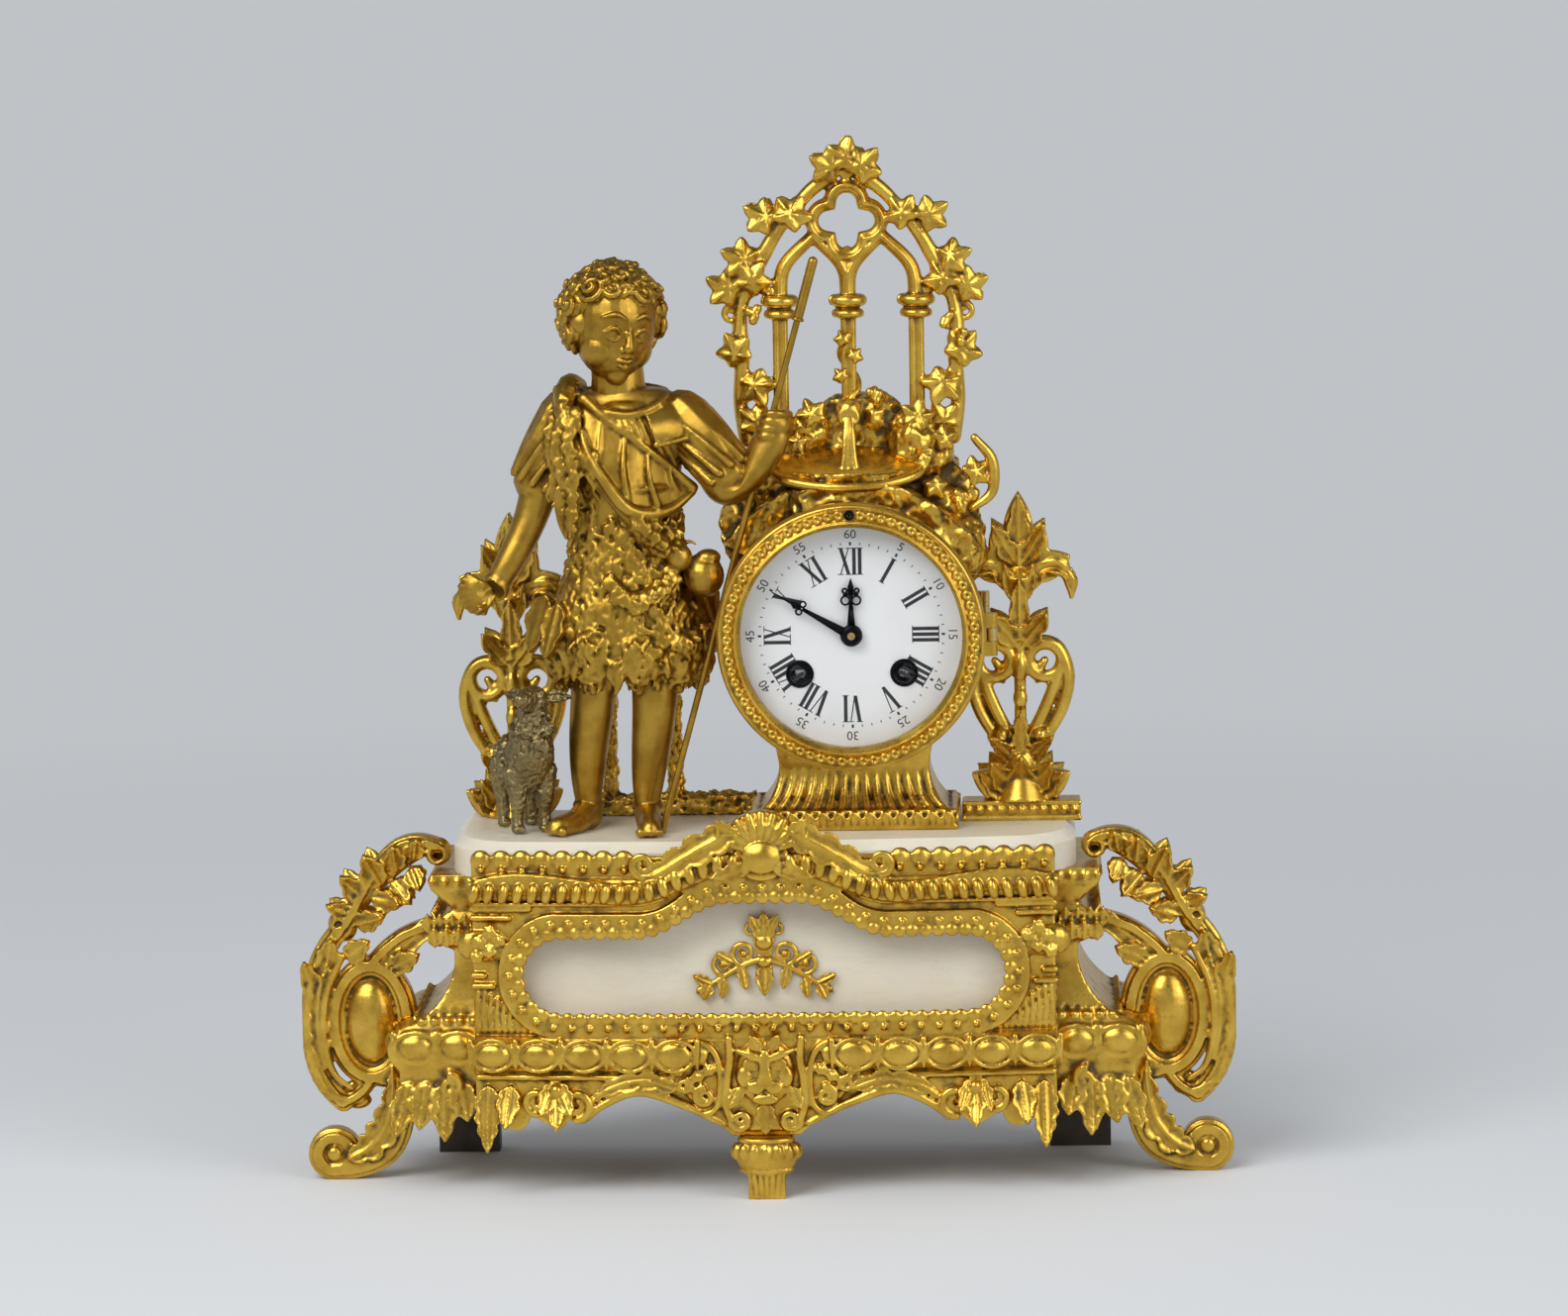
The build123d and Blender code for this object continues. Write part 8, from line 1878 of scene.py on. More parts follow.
# Limbs, shell and gourd of the child: side, knee, calf, ankle, start and end of the toes
LEGS = (
    (-1, (-12, -5.2, 47), (-14, 4.5, 32), (-14.5, 4, 9), (-19, -6, 3.4), (-25, -14, 3.0)),
    (1, (10, -10.2, 45), (8, 2.0, 30), (6.5, 0, 9), (7.5, -9, 3.4), (8.5, -20, 3.0)))
KNEE = (4.6, 3.6, 5.2)
CALF = (5.6, 5.6, 10.0)
ANKLE_HALF = 4.0
GRIP_HEIGHT = 144
GRIP_FINGERS = 4
GRIP_PITCH = 2.7
GRIP_FINGER = ((5.6, 2.2, -0.6), (3.4, -3.4, 0.2), (-0.6, -4.4, 0.5), (-3.4, -1.6, 0.2))
GRIP_THUMB = ((5, -1, -6), (1.5, -3.6, -6.6), (-2.2, -3.4, -5.2))
GRIP_PALM = (((3.6, 3.4, -0.6), (5.0, 4.4, 6.0), PLAIN),)
PALM_AT = (-45, -6, 87)
PALM_AIM = unit((-0.5, -0.4, -1))
PALM_BEND = unit((-0.4, -0.9, 0.2))
PALM_SPREAD = unit((0.2, -1, 0.2))
FINGER_LONG = 8.0
SHELL_AT = (-46.5, -9, 88)
SHELL_RIBS = 9
GOURD_BALLS = (
    ((28.5, -8, 91), (7.2, 6.6, 7.6), ROUND), ((30.0, -8, 97.6), (4.6, 4.4, 3.0), (8, 12)),
    ((20, -11.5, 98), (4.8, 4.6, 5.0), (9, 14)))
GOURD_NECK = ((20, -12, 102), (19, -12.5, 106), (16, -13, 109))


def body_half(height):
    """Half width and half depth of the tunic at a height above the slab."""
    return np.interp(height, TUNIC_HEIGHTS, TUNIC_HALVES), np.interp(height, TUNIC_HEIGHTS, TUNIC_DEPTHS)


def on_tunic(x, height, out=0.0):
    """A place on the front of the tunic, out millimetres before its cloth."""
    wide, deep = body_half(height)
    share = min(TUNIC_EDGE, abs(x - TUNIC_SHIFT) / wide)
    return FEET + (x, -deep * math.sqrt(1 - share * share) - out, height)


def tunic_line(rows, count):
    return through([on_tunic(*row) for row in rows], count)


def feet_line(points, count):
    return through(from_feet(points), count)


def on_skin(name, count, rng):
    """Seeded places spread evenly over a solid, with the way out of the solid at each."""
    data = frame["nodes"][name].data
    data.calc_loop_triangles()
    faces = data.loop_triangles
    corner = np.array([[data.vertices[i].co[:] for i in face.vertices] for face in faces]) / MM
    one, two = corner[:, 1] - corner[:, 0], corner[:, 2] - corner[:, 0]
    cross = np.cross(one, two)
    size = np.linalg.norm(cross, axis=1)
    pick = rng.choice(len(size), count, p=size / size.sum())
    first, second = rng.uniform(0, 1, count), rng.uniform(0, 1, count)
    over = first + second > 1
    first, second = np.where(over, 1 - first, first), np.where(over, 1 - second, second)
    places = corner[pick, 0] + one[pick] * first[:, None] + two[pick] * second[:, None]
    return places, cross[pick] / np.maximum(size[pick], 1e-9)[:, None]


def lock(clay, at, aim, long, wide, rng):
    """A small wavy lock of wool that follows a direction."""
    aim = np.asarray(aim)
    across = unit(np.cross(aim, (0.3, 1.0, 0.2)))
    bend = rng.uniform(0.5, 1.2) * rng.choice((-1, 1))
    phase = rng.uniform(0, 1.5)
    curl = []
    for share in np.linspace(0, 1, LOCK_POINTS):
        wave = across * bend * math.sin(phase + LOCK_WAVE * share)
        curl.append(np.asarray(at) + aim * long * share + wave)
    clay.tube(curl, (wide * 0.9, wide, wide * 0.9, wide * 0.5), sides=6)


def woolly(place):
    """Whether wool grows at a place of the figure."""
    x, y, height = place
    wide, deep = body_half(height)
    if abs(x - TUNIC_SHIFT) > wide + WOOL_PAST[0] or abs(y) > deep + WOOL_PAST[1]:
        return False
    if not WOOL_HEIGHTS[0] <= height <= WOOL_HEIGHTS[1]:
        return False
    if any(math.dist(place, middle) < radius for middle, radius in GOURD_FREE):
        return False
    bare = height > NECK_LINE[0] - NECK_LINE[1] * (x - NECK_LINE[2]) or height > WOOL_SHOULDER
    folded = x > FOLD_FROM[0] and height > FOLD_FROM[1]
    return y >= WOOL_BACK or not (bare or folded)


def fleece(clay):
    """Short curly wool all over the pelt, with a ragged hem."""
    rng = np.random.default_rng(SEED)
    for place, normal in zip(*on_skin("boy_figure", WOOL_TRIES, rng)):
        if not woolly(place - FEET):
            continue
        down = np.array((rng.uniform(-0.7, 0.7), rng.uniform(-0.7, 0.7), -1.0))
        aim = unit(down - normal * float(down @ normal))
        lock(clay, place + normal * 0.4, aim, rng.uniform(4.0, 6.5), rng.uniform(0.8, 1.1), rng)
    ragged_hem(clay, rng)


def ragged_hem(clay, rng):
    """Longer locks along the hem and a few tufts in front."""
    wide, deep = np.multiply(body_half(HEM_AT[0]), HEM_SHARE)
    for at in level_ring(TUNIC_SHIFT, 0, HEM_AT[1], wide, deep, HEM_LOCKS + 1)[:-1]:
        drop = 5 + rng.uniform(0, 4)
        for twin in (-HEM_TWIN, HEM_TWIN):
            lock(clay, FEET + at + (twin, 0, 0), unit((twin * 0.12, 0, -1.0)), drop, 1.8, rng)
    for x, high, long, wide in TUFTS:
        for step in range(-2, 3):
            at = on_tunic(x + step * wide / 6, high, 1.2)
            drop = long * (1 - abs(step) * TUFT_LEAN)
            lock(clay, at, unit((-step * TUFT_LEAN, -0.05, -1.0)), drop, 1.7, rng)


def ruff(clay, path, radius, rng, long):
    """A roll of wool along a path."""
    clay.tube(path, radius)
    for at in along(path, RUFF_PITCH)[0]:
        for _ in range(RUFF_LOCKS):
            out = unit((rng.uniform(-0.7, 0.7), -1.0, rng.uniform(-0.9, 0.9)))
            aim = unit(out * 0.3 + np.array((rng.uniform(-0.6, 0.6), 0, -0.7)))
            lock(clay, at + out * (np.max(radius) - 0.5), aim, long * rng.uniform(0.7, 1.2), 1.0, rng)


def pelt_fold(clay):
    """The rolled edge of the pelt and the smooth fold that hangs over it."""
    edge, hem = tunic_line(PELT_EDGE, 25), tunic_line(PELT_HEM, 25)
    clay.tube(edge, (2.6, 1.6, 1.4, 1.4, 2.0))
    clay.sheet(edge, hem, 0.5, 5.0)
    for high, low, out in PELT_FOLDS:
        middle = ((high[0] + low[0]) / 2 - 1.0, (high[1] + low[1]) / 2)
        clay.tube(tunic_line(((*high, 2.4), (*middle, out), (*low, out)), 11), (0.5, 1.1, 1.5), sides=8)
    clay.tube(hem[3:], (1.2, 2.0, 2.4, 2.3, 1.4))
    clay.tube(tunic_line(PELT_CREASE, 9), (0.5, 1.1, 0.5))


def pelt(clay):
    """The pelt slung from one shoulder, with its strips and flaps."""
    rng = np.random.default_rng(SEED + 3)
    pelt_fold(clay)
    ruff(clay, feet_line(PELT_BAND, 13), (1.4, 2.0, 1.6), rng, 3.0)
    ruff(clay, tunic_line(PELT_SASH, 22), (2.0, 3.2, 3.0, 2.6, 2.0), rng, 3.4)
    ruff(clay, feet_line(PELT_SHOULDER, 15), (3.0, 3.8, 4.0, 3.0), rng, 3.6)
    for x, y, low, wide in PELT_STRIPS:
        strip = ((x + 2, y, 150), (x - 0.5, y - 1, 140), (x + 0.8, y - 1, 128), (x, y, low))
        ruff(clay, feet_line(strip, 17), (wide, wide, wide * 0.9, wide * 0.7), rng, 3.0)
    clay.leaves(PELT_TAIL, origin=FEET, thick=2.2)
    clay.leaves(PELT_FLAPS, origin=FEET, thick=3.0)


def sleeve(clay, side, start, end):
    """A short puffed sleeve with twisted folds."""
    start, end = FEET + start, FEET + end
    ahead = unit(end - start)
    across = unit(np.cross(ahead, (0.0, 1.0, 0.0)))
    front = np.cross(across, ahead)
    clay.tube(through([start, (start + end) / 2 + (0, 0, 1.0), end], 9), (10.4, 10.3, 8.6))
    for fold in range(SLEEVE_FOLDS):
        line = []
        for share in np.linspace(0.15, 1.04, 7):
            turned = 2 * math.pi * fold / SLEEVE_FOLDS + 0.5 * share * side
            out = math.cos(turned) * across + math.sin(turned) * front
            line.append(start + (end - start) * share + out * (SLEEVE_RADIUS - 1.4 * share))
        clay.tube(line, (0.5, 1.3, 1.5), sides=7)


def shirt(clay):
    """Gathered shirt with a wide neck, a falling collar on one shoulder and short sleeves."""
    clay.balls(SHIRT_CHEST, origin=FEET)
    clay.ring(feet_line(SHIRT_NECK, 49), 1.5)
    for share in np.linspace(0, 1, SHIRT_PLEATS):
        away = abs(share - PLEAT_MIDDLE)
        high = FEET + (-5 + 19 * share, -14.6 + 6.5 * away, 149 + 5.5 * away)
        low = on_tunic(-3 + 29 * share, 141 - 14 * share, 0.4)
        clay.tube(through([high, (high + low) / 2 + (0, -1.8, 0), low], 9), (0.8, 1.2, 0.6), sides=7)
    low = feet_line(COLLAR_LOW, 21)
    clay.sheet(feet_line(COLLAR_TOP, 21), low, 2.6, 2.2)
    clay.tube(low, 1.1)
    for side, start, end in SLEEVES:
        sleeve(clay, side, start, end)


def fingers(clay, palm, aim, bend, spread, long):
    """Four fingers and a thumb from a palm."""
    for finger in range(4):
        root = palm + spread * (finger - 1.5) * 2.3 + aim * 3.2
        middle = root + aim * long * 0.5 + bend * long * 0.15
        end = root + aim * long * 0.7 + bend * long * 0.6
        clay.tube(through([root, middle, end], 7), (1.35, 1.3, 1.0), sides=7)
    root = palm - spread * 3.8
    middle = root + aim * long * 0.45 - spread * 0.6
    end = root + aim * long * 0.75 + bend * long * 0.35
    clay.tube(through([root, middle, end], 7), (1.6, 1.4, 1.1), sides=7)


def leg(clay, side, knee, calf, ankle, toe_from, toe_to):
    """Knee, calf, ankles, sole and toes of one leg."""
    clay.ball(FEET + knee, KNEE)
    clay.ball(FEET + calf, CALF)
    for across in (-ANKLE_HALF, ANKLE_HALF):
        clay.ball(FEET + (ankle[0] + across, ankle[1], 8.5), 1.8)
    aim = unit(np.subtract(toe_to, toe_from) * (1, 1, 0))
    across = np.array((-aim[1], aim[0], 0.0))
    sole = [FEET + (ankle[0], ankle[1], 7.0), FEET + toe_from, FEET + toe_to - aim * 2]
    clay.tube(through(sole, 9), (5.0, 4.6, 4.0), sides=10)
    for toe in range(-2, 3):
        size = 1.9 if toe == -2 * side else 1.35
        at = FEET + toe_to + across * toe * 1.75 + aim * (1.6 - abs(toe) * 0.4)
        clay.ball(at + (0, 0, -0.9), size, SMALL)


def grip(clay):
    """The raised hand round the staff."""
    way = unit(STAFF_TIP - STAFF_FOOT)
    middle = STAFF_FOOT + way * ((FEET[2] + GRIP_HEIGHT - STAFF_FOOT[2]) / way[2])
    for finger in range(GRIP_FINGERS):
        root = middle + way * (finger - 1.5) * GRIP_PITCH
        clay.tube(through([root + p for p in GRIP_FINGER], 11), (1.7, 1.55, 1.45, 1.1), sides=8)
    clay.balls(GRIP_PALM, origin=middle)
    clay.tube(through([middle + p for p in GRIP_THUMB], 8), (2.0, 1.6, 1.3), sides=8)


def limbs(clay):
    for row in LEGS:
        leg(clay, *row)
    grip(clay)
    fingers(clay, FEET + PALM_AT, PALM_AIM, PALM_BEND, PALM_SPREAD, FINGER_LONG)


def shell(clay):
    hinge = FEET + SHELL_AT
    for rib in range(SHELL_RIBS):
        angle = math.radians(150 + 13 * rib)
        aim = np.array((math.cos(angle), -0.1, math.sin(angle)))
        end = hinge + aim * (11.0 - 0.12 * (rib - 4) ** 2)
        clay.tube(through([hinge, (hinge + end) / 2 + (0, -2.6, 0), end], 7), (0.8, 1.5, 1.3), sides=7)


def gourd(clay):
    clay.balls(GOURD_BALLS, origin=FEET)
    clay.tube(feet_line(GOURD_NECK, 7), (1.5, 1.2, 1.0))


def small_head(points):
    """Draws the head of the solid in, so that the face and hair cover it."""
    middle = FEET + HEAD
    share = np.where(points[:, 2] > middle[2] - CHIN_DROP, HEAD_CORE, 1.0)[:, None]
    return middle + (points - middle) * share


def body_look():
    clay = Clay()
    clay.node("boy_figure")
    clay.move(0, small_head)
    for part in (limbs, shirt, fleece, pelt, shell, gourd):
        part(clay)
    clay.move(0, standing)
    cast("boy_look", clay, MIDDLE_VOXEL, 2, OLIVE, ["boy_figure"])


# Head of the child: an egg with a jaw, and features (across, high, out) on its front
FORWARD = unit((0.46, -0.88, -0.14))
RIGHT = unit(np.cross(FORWARD, (0.10, 0.0, 1.0)))
UP = np.cross(RIGHT, FORWARD)
HEAD_WIDE = 15.0
HEAD_HIGH = 21.0
HEAD_CORE = 0.9
CHIN_DROP = 20.0
JAW_AT = -10.0
JAW_OUT = 3.6
JAW_WIDE = 10.8
JAW_HIGH = 10.4
CHIN = (0, -17.0, -3.6)
NOSE = ((0, -0.6, -0.7), (0, -3.6, 0.4), (0, -6.6, 1.7))
NOSE_TIP = (0, -6.8, 1.3)
UPPER_LIP = (
    (-3.9, -12.3, -0.4), (-1.6, -11.5, 0.6), (0, -11.9, 0.7), (1.6, -11.5, 0.6), (3.9, -12.3, -0.4))
LOWER_LIP = ((-3.0, -13.2, -0.3), (0, -14.0, 0.7), (3.0, -13.2, -0.3))
NECK = ((0, 0, -8), (0.5, 2.0, -20), (1.0, 3.5, -30))
CHEEK = (5.4, -8.8, -7.9)
NOSTRIL = (1.8, -7.9, 0.2)
EYE = (5.4, -2.4, -1.4)
UPPER_LID = ((2.4, -2.6, 0.2), (5.4, -0.2, 0.9), (8.6, -2.2, 0.3))
LOWER_LID = ((2.8, -3.2, 0.1), (5.4, -4.6, 0.6), (8.2, -3.2, 0.2))
BROW = ((2.0, 3.2, -0.2), (5.6, 4.6, 0.3), (9.4, 3.0, 0.1))
SOCKETS = ((5.4, -2.2, 1.2, 3.6), (4.8, -12.4, 0.8, 1.5))
HAIR_CURLS = 140
HAIR_HALF = np.array((15.4, 15.4, 19.0))
CURL_POINTS = 20
CURL_TURN = 10.0
FOREHEAD_LOCKS = ((-3.0, 13.0, 1.0), (2.2, 11.6, -1.0), (7.0, 13.2, -1.0))


def on_face(across, high, lift):
    """A place on the front of the head, lift millimetres before the skin of a plain egg with a jaw."""
    egg = math.sqrt(max(0.0, HEAD_WIDE**2 * (1 - (high / HEAD_HIGH) ** 2) - across**2))
    jaw_run = JAW_WIDE**2 * (1 - ((high - JAW_AT) / JAW_HIGH) ** 2) - across**2
    jaw = JAW_OUT + math.sqrt(jaw_run) if jaw_run > 0 else 0.0
    return FEET + HEAD + RIGHT * across + UP * high + FORWARD * (max(egg, jaw) + lift)


def face_line(rows, count, side=1):
    return through([on_face(*mirrored(row, side)) for row in rows], count)


def face(clay):
    """A plain calm child's face: eyes at half height, nose and mouth at the thirds below."""
    middle = FEET + HEAD
    clay.ball(middle, (HEAD_WIDE, HEAD_WIDE, HEAD_HIGH), (18, 28))
    clay.ball(middle + UP * JAW_AT + FORWARD * JAW_OUT, (JAW_WIDE, JAW_WIDE, JAW_HIGH), LARGE)
    clay.ball(on_face(*CHIN), 4.4, (11, 16))
    clay.tube(face_line(NOSE, 9), (1.1, 1.3, 1.8))
    clay.ball(on_face(*NOSE_TIP), 2.1, (9, 14))
    clay.tube(face_line(UPPER_LIP, 13), (0.4, 0.9, 0.8, 0.9, 0.4))
    clay.tube(face_line(LOWER_LIP, 9), (0.4, 1.2, 0.4))
    clay.tube(through([middle + p for p in NECK], 9), (8.6, 8.6, 10.0), sides=16)
    for side in SIDES:
        clay.ball(on_face(*mirrored(CHEEK, side)), 7.9, (15, 24))
        clay.ball(on_face(*mirrored(NOSTRIL, side)), 1.15)
        clay.ball(on_face(*mirrored(EYE, side)), (2.5, 2.5, 2.1), (9, 14))
        clay.tube(face_line(UPPER_LID, 9, side), (0.5, 0.95, 0.5))
        clay.tube(face_line(LOWER_LID, 9, side), (0.4, 0.65, 0.4))
        clay.tube(face_line(BROW, 9, side), (0.6, 0.9, 0.6))


def sockets(place, normal):
    """Sets the eyes back under the brows and draws in the corners of the mouth."""
    moved = place.copy()
    for side in SIDES:
        for across, high, depth, reach in SOCKETS:
            away = np.linalg.norm(place - on_face(side * across, high, 0.0), axis=1)
            moved -= FORWARD * (depth * np.exp(-(away / reach) ** 2))[:, None]
    return moved


def curl(clay, at, way, rng):
    """One spiral curl that grows out of the head."""
    grow = rng.uniform(0.8, 1.2)
    clay.ball(at - way * 2.0, 4.2, (7, 10))
    side = unit(np.cross(way, (0.3, 0.2, 1.0)))
    other = np.cross(way, side)
    phase = rng.uniform(0, 6.28)
    path = []
    for share in np.linspace(0, 1, CURL_POINTS):
        angle = phase + share * CURL_TURN
        radius = (4.2 - 3.4 * share) * grow
        around = radius * (math.cos(angle) * side + math.sin(angle) * other)
        path.append(at + way * (0.2 + 2.4 * share * grow) + around)
    clay.tube(path, (1.2, 1.25, 1.0), sides=7)


def hair(clay):
    """Curls spread evenly over the head, apart from the face and the neck."""
    rng = np.random.default_rng(SEED + 5)
    for step in range(HAIR_CURLS):
        lift = 1 - 2 * (step + 0.5) / HAIR_CURLS
        turn = step * math.pi * (3 - math.sqrt(5))
        wide = math.sqrt(1 - lift * lift)
        way = RIGHT * wide * math.cos(turn) + FORWARD * wide * math.sin(turn) + UP * lift
        ahead, top = float(way @ FORWARD), float(way @ UP)
        if (ahead > 0.12 and top < 0.66 - 0.24 * (1 - ahead)) or top < -0.5:
            continue
        puff = 1.0 + 0.16 * max(0.0, 1 - abs(top - 0.1) * 1.4) * (ahead < 0.5)
        curl(clay, FEET + HEAD + way * HAIR_HALF * puff, way, rng)
    for across, high, turn in FOREHEAD_LOCKS:
        root = on_face(across, high + 3.0, 0.6)
        path = []
        for share in np.linspace(0, 1, 14):
            swing = RIGHT * 2.4 * (1 - share) * math.sin(turn * 6 * share)
            path.append(root + swing - UP * (5.0 * share) + FORWARD * 1.2 * math.sin(3 * share))
        clay.tube(path, (1.5, 1.4, 0.7), sides=8)


def head_look():
    clay = Clay()
    face(clay)
    cast("boy_head", clay, HEAD_VOXEL, 7, OLIVE, change=sockets)
    clay = Clay()
    hair(clay)
    cast("boy_hair", clay, HEAD_VOXEL, 1, OLIVE)


body_look()
head_look()


# Lamb, drawn facing the front and then turned
LAMB_AT = np.array((-85.5, -2.0, SLAB_TOP))
LAMB_TURN = 20.0
LAMB_BODY_AT = np.array((0, 1, 25))
LAMB_BODY = np.array((9.9, 14.4, 9.9))
LAMB_NECK = ((0, -6, 22), (0, -10.5, 30), (0, -13, 38), (0, -14.5, 45))
LAMB_HEAD = np.array((0.0, -14.5, 47.6))
LAMB_AIM = unit((-0.62, -0.72, 0.22))
LAMB_SIDE = unit(np.cross(LAMB_AIM, (0, 0, 1)))
LAMB_UP = np.cross(LAMB_SIDE, LAMB_AIM)
LAMB_HEAD_HALF = (5.7, 5.9, 5.6)
LAMB_BOW = ((0, -19.6, 37), (4, -20.6, 38.6), (7.4, -18.0, 36.5))
LAMB_BOW_END = ((0, -20.0, 36), (2.2, -21.4, 31.5), (3.4, -21.0, 27.5))
LAMB_BELL = (((0, -20.4, 33.4), (2.8, 2.6, 3.0), PLAIN),)
LAMB_TAIL = ((0, 14, 27), (0.6, 17, 23), (0.4, 17.4, 16))
LAMB_LEGS = ((-9.0, -1.5), (9.0, 1.5))
LAMB_LEG_X = 5.0
LAMB_WOOL = 420
LAMB_NECK_WOOL = 220

# Features of the lamb's head: sideways, onward and upward from its middle
LAMB_MUZZLE = ((0, 0, 0.6), (0, 5.0, 0.4), (0, 9.2, -0.6))
LAMB_JAW = ((0, 0, -3.0), (0, 4.4, -2.4), (0, 8.2, -2.3))
LAMB_EAR = (4.6, -1.4, 1.6)
LAMB_EYE = (4.0, 3.0, 1.8)
LAMB_LID = ((3.6, 4.6, 2.6), (4.6, 3.2, 3.2), (4.9, 1.6, 2.4))
LAMB_NOSTRIL = (1.4, 11.6, -0.2)


def on_lamb(out, on, up, side=1):
    return LAMB_HEAD + LAMB_SIDE * side * out + LAMB_AIM * on + LAMB_UP * up


def lamb_line(rows, count, side=1):
    return through([on_lamb(*row, side) for row in rows], count)


def lamb_head(clay):
    clay.ball(LAMB_HEAD, LAMB_HEAD_HALF, (12, 18))
    clay.tube(lamb_line(LAMB_MUZZLE, 9), (5.0, 4.2, 3.0), sides=14)
    clay.tube(lamb_line(LAMB_JAW, 9), (3.6, 2.9, 2.0), sides=12)
    for side in SIDES:
        aim = LAMB_SIDE * side - LAMB_AIM * 0.25 + LAMB_UP * 0.15
        clay.blade(on_lamb(*LAMB_EAR, side), aim, LAMB_AIM + LAMB_UP * 0.4, 8.6, 5.0, -15, 0, thick=1.8)
        clay.ball(on_lamb(*LAMB_EYE, side), (1.3, 1.3, 1.0), (7, 10))
        clay.tube(lamb_line(LAMB_LID, 7, side), (0.4, 0.7, 0.4))
        clay.ball(on_lamb(*LAMB_NOSTRIL, side), 0.75, SMALL)


def lamb_body(clay):
    """Body, neck, legs, tail and the ribbon with its bell."""
    clay.ball(LAMB_BODY_AT, LAMB_BODY, (16, 24))
    clay.tube(through(LAMB_NECK, 16), (9.0, 8.6, 6.6, 5.4), sides=18)
    for side in SIDES:
        x = side * LAMB_LEG_X
        for y, step in LAMB_LEGS:
            shank = [(x, y, 22), (x, y + step * 0.6, 12), (x, y, 7.5), (x, y, 2)]
            clay.tube(through(shank, 14), (5.0, 3.2, 2.3, 2.3), sides=12)
            clay.ball((x, y - 0.8, 1.8), (2.7, 3.4, 2.0), PLAIN)
        clay.frond(through([mirrored(p, side) for p in LAMB_BOW], 9), 4.8, FRONT, thick=1.6)
        clay.frond(through([mirrored(p, side) for p in LAMB_BOW_END], 9), 3.2, FRONT, thick=1.3)
    turns = np.linspace(0, 2 * np.pi, 24)
    collar = [(7.3 * math.cos(a), -12.6 + 7.3 * math.sin(a), 37.5 + 1.8 * math.sin(a)) for a in turns]
    clay.ring(collar, 1.2, sides=6)
    clay.balls(LAMB_BELL)
    clay.tube(through(LAMB_TAIL, 7), (2.4, 2.6, 1.4))


def lamb_wool(clay):
    rng = np.random.default_rng(SEED + 2)
    for _ in range(LAMB_WOOL):
        lift = rng.uniform(-1, 1)
        turn = rng.uniform(0, 2 * math.pi)
        wide = math.sqrt(1 - lift * lift)
        way = np.array((wide * math.cos(turn), wide * math.sin(turn), lift))
        clay.ball(way * LAMB_BODY + LAMB_BODY_AT, rng.uniform(0.7, 1.2), DOT)
    for _ in range(LAMB_NECK_WOOL):
        share, angle = rng.uniform(0, 1), rng.uniform(0, 2 * math.pi)
        radius = 9.0 - 3.2 * share
        at = (radius * math.cos(angle), -7 - 7.0 * share + radius * math.sin(angle), 22 + 22 * share)
        clay.ball(at, rng.uniform(0.7, 1.1), DOT)


def lamb_look():
    clay = Clay()
    lamb_body(clay)
    lamb_head(clay)
    lamb_wool(clay)
    turn = math.radians(LAMB_TURN)
    spin = np.array(((math.cos(turn), -math.sin(turn), 0), (math.sin(turn), math.cos(turn), 0), (0, 0, 1)))
    clay.move(0, lambda points: points @ spin.T + LAMB_AT)
    clay.move(0, standing)
    cast("lamb_look", clay, LAMB_VOXEL, 1, PEWTER, ["lamb"], rocky(1.5, 0.42))


lamb_look()


# Rustic support behind the child, with the stubs of its twigs
STUBS = ((-60, 6.8), (-44, 5.9), (-20, 7.0), (-12, 6.1))
STUB_LOW = 6.0
STUB_FRONT = 25.5
STUB_BACK = 32.0


def support_look():
    clay = Clay()
    clay.node("rustic_support")
    for x, high in STUBS:
        clay.ball((x, STUB_FRONT, SLAB_TOP + STUB_LOW), (2.4, 1.8, 2.0))
        clay.ball((x, STUB_BACK, SLAB_TOP + high), (2.2, 1.8, 1.8))
    cast("support_look", clay, COARSE_VOXEL, 1, GILT, ["rustic_support"], rocky(3.0, 1.2))


support_look()


# Stage
PAPER = (0.74, 0.76, 0.78)
PAPER_SHADE = 0.97
BACKGROUND = (0.52, 0.54, 0.565)
CEILING = (0.10, 0.105, 0.115)
SKY_HEIGHT = 0.7
ROOM_LIGHT = (0.55, 0.57, 0.60, 1.0)
ROOM_STRENGTH = 0.62
FLOOR_RADIUS = 40000.0
FLOOR_SIDES = 64
FLOOR_NEAR = 150.0
FLOOR_FAR = 1200.0
CAMERA_FAR = 2300.0
CAMERA_TURN = 2.0
CAMERA_HIGH = 480.0
CAMERA_REACH = 100.0
LOOK_AT = (0.0, 0.0, 190.0)
LENS = 150.5
SENSOR = 36.0
ROLL = 1.0
SHIFT_X = 0.0139
SHIFT_Y = -0.0092

# Lamps: place, size, power and aim
LAMPS = {
    "key": ((-900, -1300, 1500), (1500, 1100), 31.0, (0, 0, 150)),
    "fill": ((1300, -1100, 900), (1100, 1300), 12.0, (0, 0, 150)),
    "top": ((0, -100, 1900), (1200, 900), 1.2, (0, 0, 100))}


def seen(tree):
    """One for a ray from the camera, off metal or through glass, and nought for a ray that only lights."""
    path = tree.nodes.new("ShaderNodeLightPath")
    share = path.outputs["Is Camera Ray"]
    for name in ("Is Glossy Ray", "Is Transmission Ray"):
        either = tree.nodes.new("ShaderNodeMath")
        either.operation = "MAXIMUM"
        tree.links.new(share, either.inputs[0])
        tree.links.new(path.outputs[name], either.inputs[1])
        share = either.outputs["Value"]
    return share


def mix_shaders(tree, factor, first, last, output):
    """Joins two shaders by a factor and sends them to the output node."""
    both = tree.nodes.new("ShaderNodeMixShader")
    for socket, source in zip(both.inputs, (factor, first, last)):
        tree.links.new(source, socket)
    tree.links.new(both.outputs["Shader"], tree.nodes[output].inputs["Surface"])


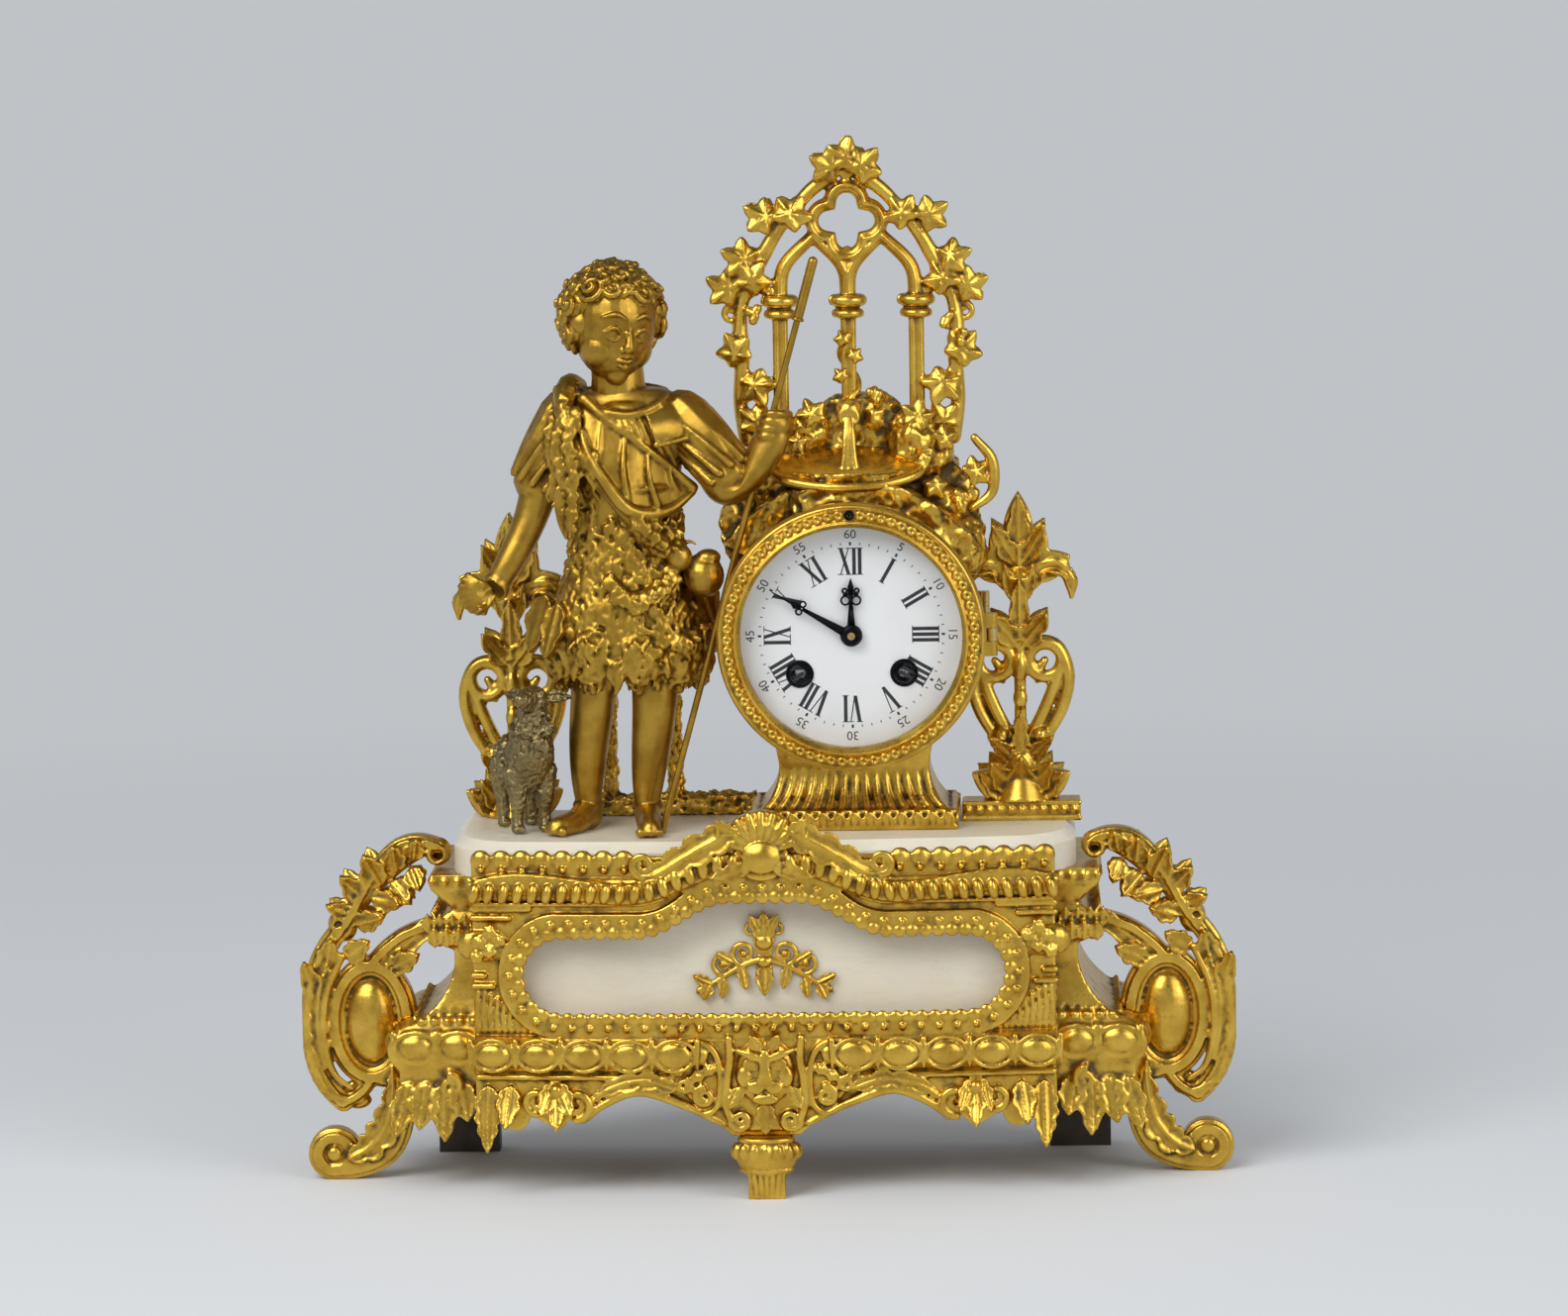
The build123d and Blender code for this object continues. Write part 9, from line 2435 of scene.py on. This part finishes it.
def pale(name, colour):
    """A floor that takes the shadow near the object and turns into the pale background far from it."""
    paint = Paint(name)
    paint.tone(paint.cloud(900.0, 2.0), colour, tuple(c * PAPER_SHADE for c in colour))
    paint.set(Roughness=0.9, Specular_IOR_Level=0.1)
    length = paint.node("VectorMath", operation="LENGTH")
    paint.join(paint.place, length.inputs[0])
    away = paint.ramp(length.outputs["Value"], FLOOR_NEAR * MM, FLOOR_FAR * MM, 0.0, 1.0)
    glow = paint.node("Emission")
    glow.inputs["Color"].default_value = (*BACKGROUND, 1.0)
    share = paint.math("MULTIPLY", away, seen(paint.tree))
    near, far = paint.shader.outputs["BSDF"], glow.outputs["Emission"]
    mix_shaders(paint.tree, share, near, far, "Material Output")
    return paint.material


def stage():
    clay = Clay()
    rim = level_ring(0, 0, 0, FLOOR_RADIUS, FLOOR_RADIUS, FLOOR_SIDES + 1)[:-1]
    clay.add(rim, [tuple(range(FLOOR_SIDES))])
    data = mesh_of("floor", clay)
    data.materials.append(pale("paper", PAPER))
    linked("floor", data)


def aim_from(at, target):
    return (Vector(target) - Vector(at)).to_track_quat("-Z", "Y")


def lamp(name, at, size, power, target):
    light = bpy.data.lights.new(name, "AREA")
    light.shape = "RECTANGLE"
    light.size = size[0] * MM
    light.size_y = size[1] * MM
    light.energy = power
    made = linked(name, light)
    made.location = Vector(at) * MM
    made.rotation_mode = "QUATERNION"
    made.rotation_quaternion = aim_from(at, target)


def room():
    """Light from all round, and a pale background that darkens upwards where it is seen."""
    world = bpy.data.worlds.new("room")
    world.use_nodes = True
    tree = world.node_tree
    light = tree.nodes["Background"]
    light.inputs["Color"].default_value = ROOM_LIGHT
    light.inputs["Strength"].default_value = ROOM_STRENGTH
    split = tree.nodes.new("ShaderNodeSeparateXYZ")
    tree.links.new(tree.nodes.new("ShaderNodeTexCoord").outputs["Generated"], split.inputs["Vector"])
    height = tree.nodes.new("ShaderNodeMapRange")
    height.inputs["From Max"].default_value = SKY_HEIGHT
    tree.links.new(split.outputs["Z"], height.inputs["Value"])
    fade = tree.nodes.new("ShaderNodeMix")
    fade.data_type = "RGBA"
    tree.links.new(height.outputs["Result"], fade.inputs[0])
    fade.inputs[6].default_value = (*BACKGROUND, 1.0)
    fade.inputs[7].default_value = (*CEILING, 1.0)
    view = tree.nodes.new("ShaderNodeBackground")
    tree.links.new(fade.outputs[2], view.inputs["Color"])
    mix_shaders(tree, seen(tree), light.outputs["Background"], view.outputs["Background"], "World Output")
    bpy.context.scene.world = world


def camera():
    data = bpy.data.cameras.new("camera")
    data.lens = LENS
    data.sensor_width = SENSOR
    data.shift_x = SHIFT_X
    data.shift_y = SHIFT_Y
    data.clip_end = CAMERA_REACH
    made = linked("camera", data)
    turn = math.radians(CAMERA_TURN)
    at = Vector((CAMERA_FAR * math.sin(turn), -CAMERA_FAR * math.cos(turn), CAMERA_HIGH))
    made.location = at * MM
    made.rotation_mode = "QUATERNION"
    made.rotation_quaternion = aim_from(at, LOOK_AT) @ Euler((0, 0, math.radians(-ROLL))).to_quaternion()
    bpy.context.scene.camera = made


stage()
room()
for lamp_name, settings in LAMPS.items():
    lamp(lamp_name, *settings)
camera()
bpy.context.scene.view_settings.view_transform = "Standard"
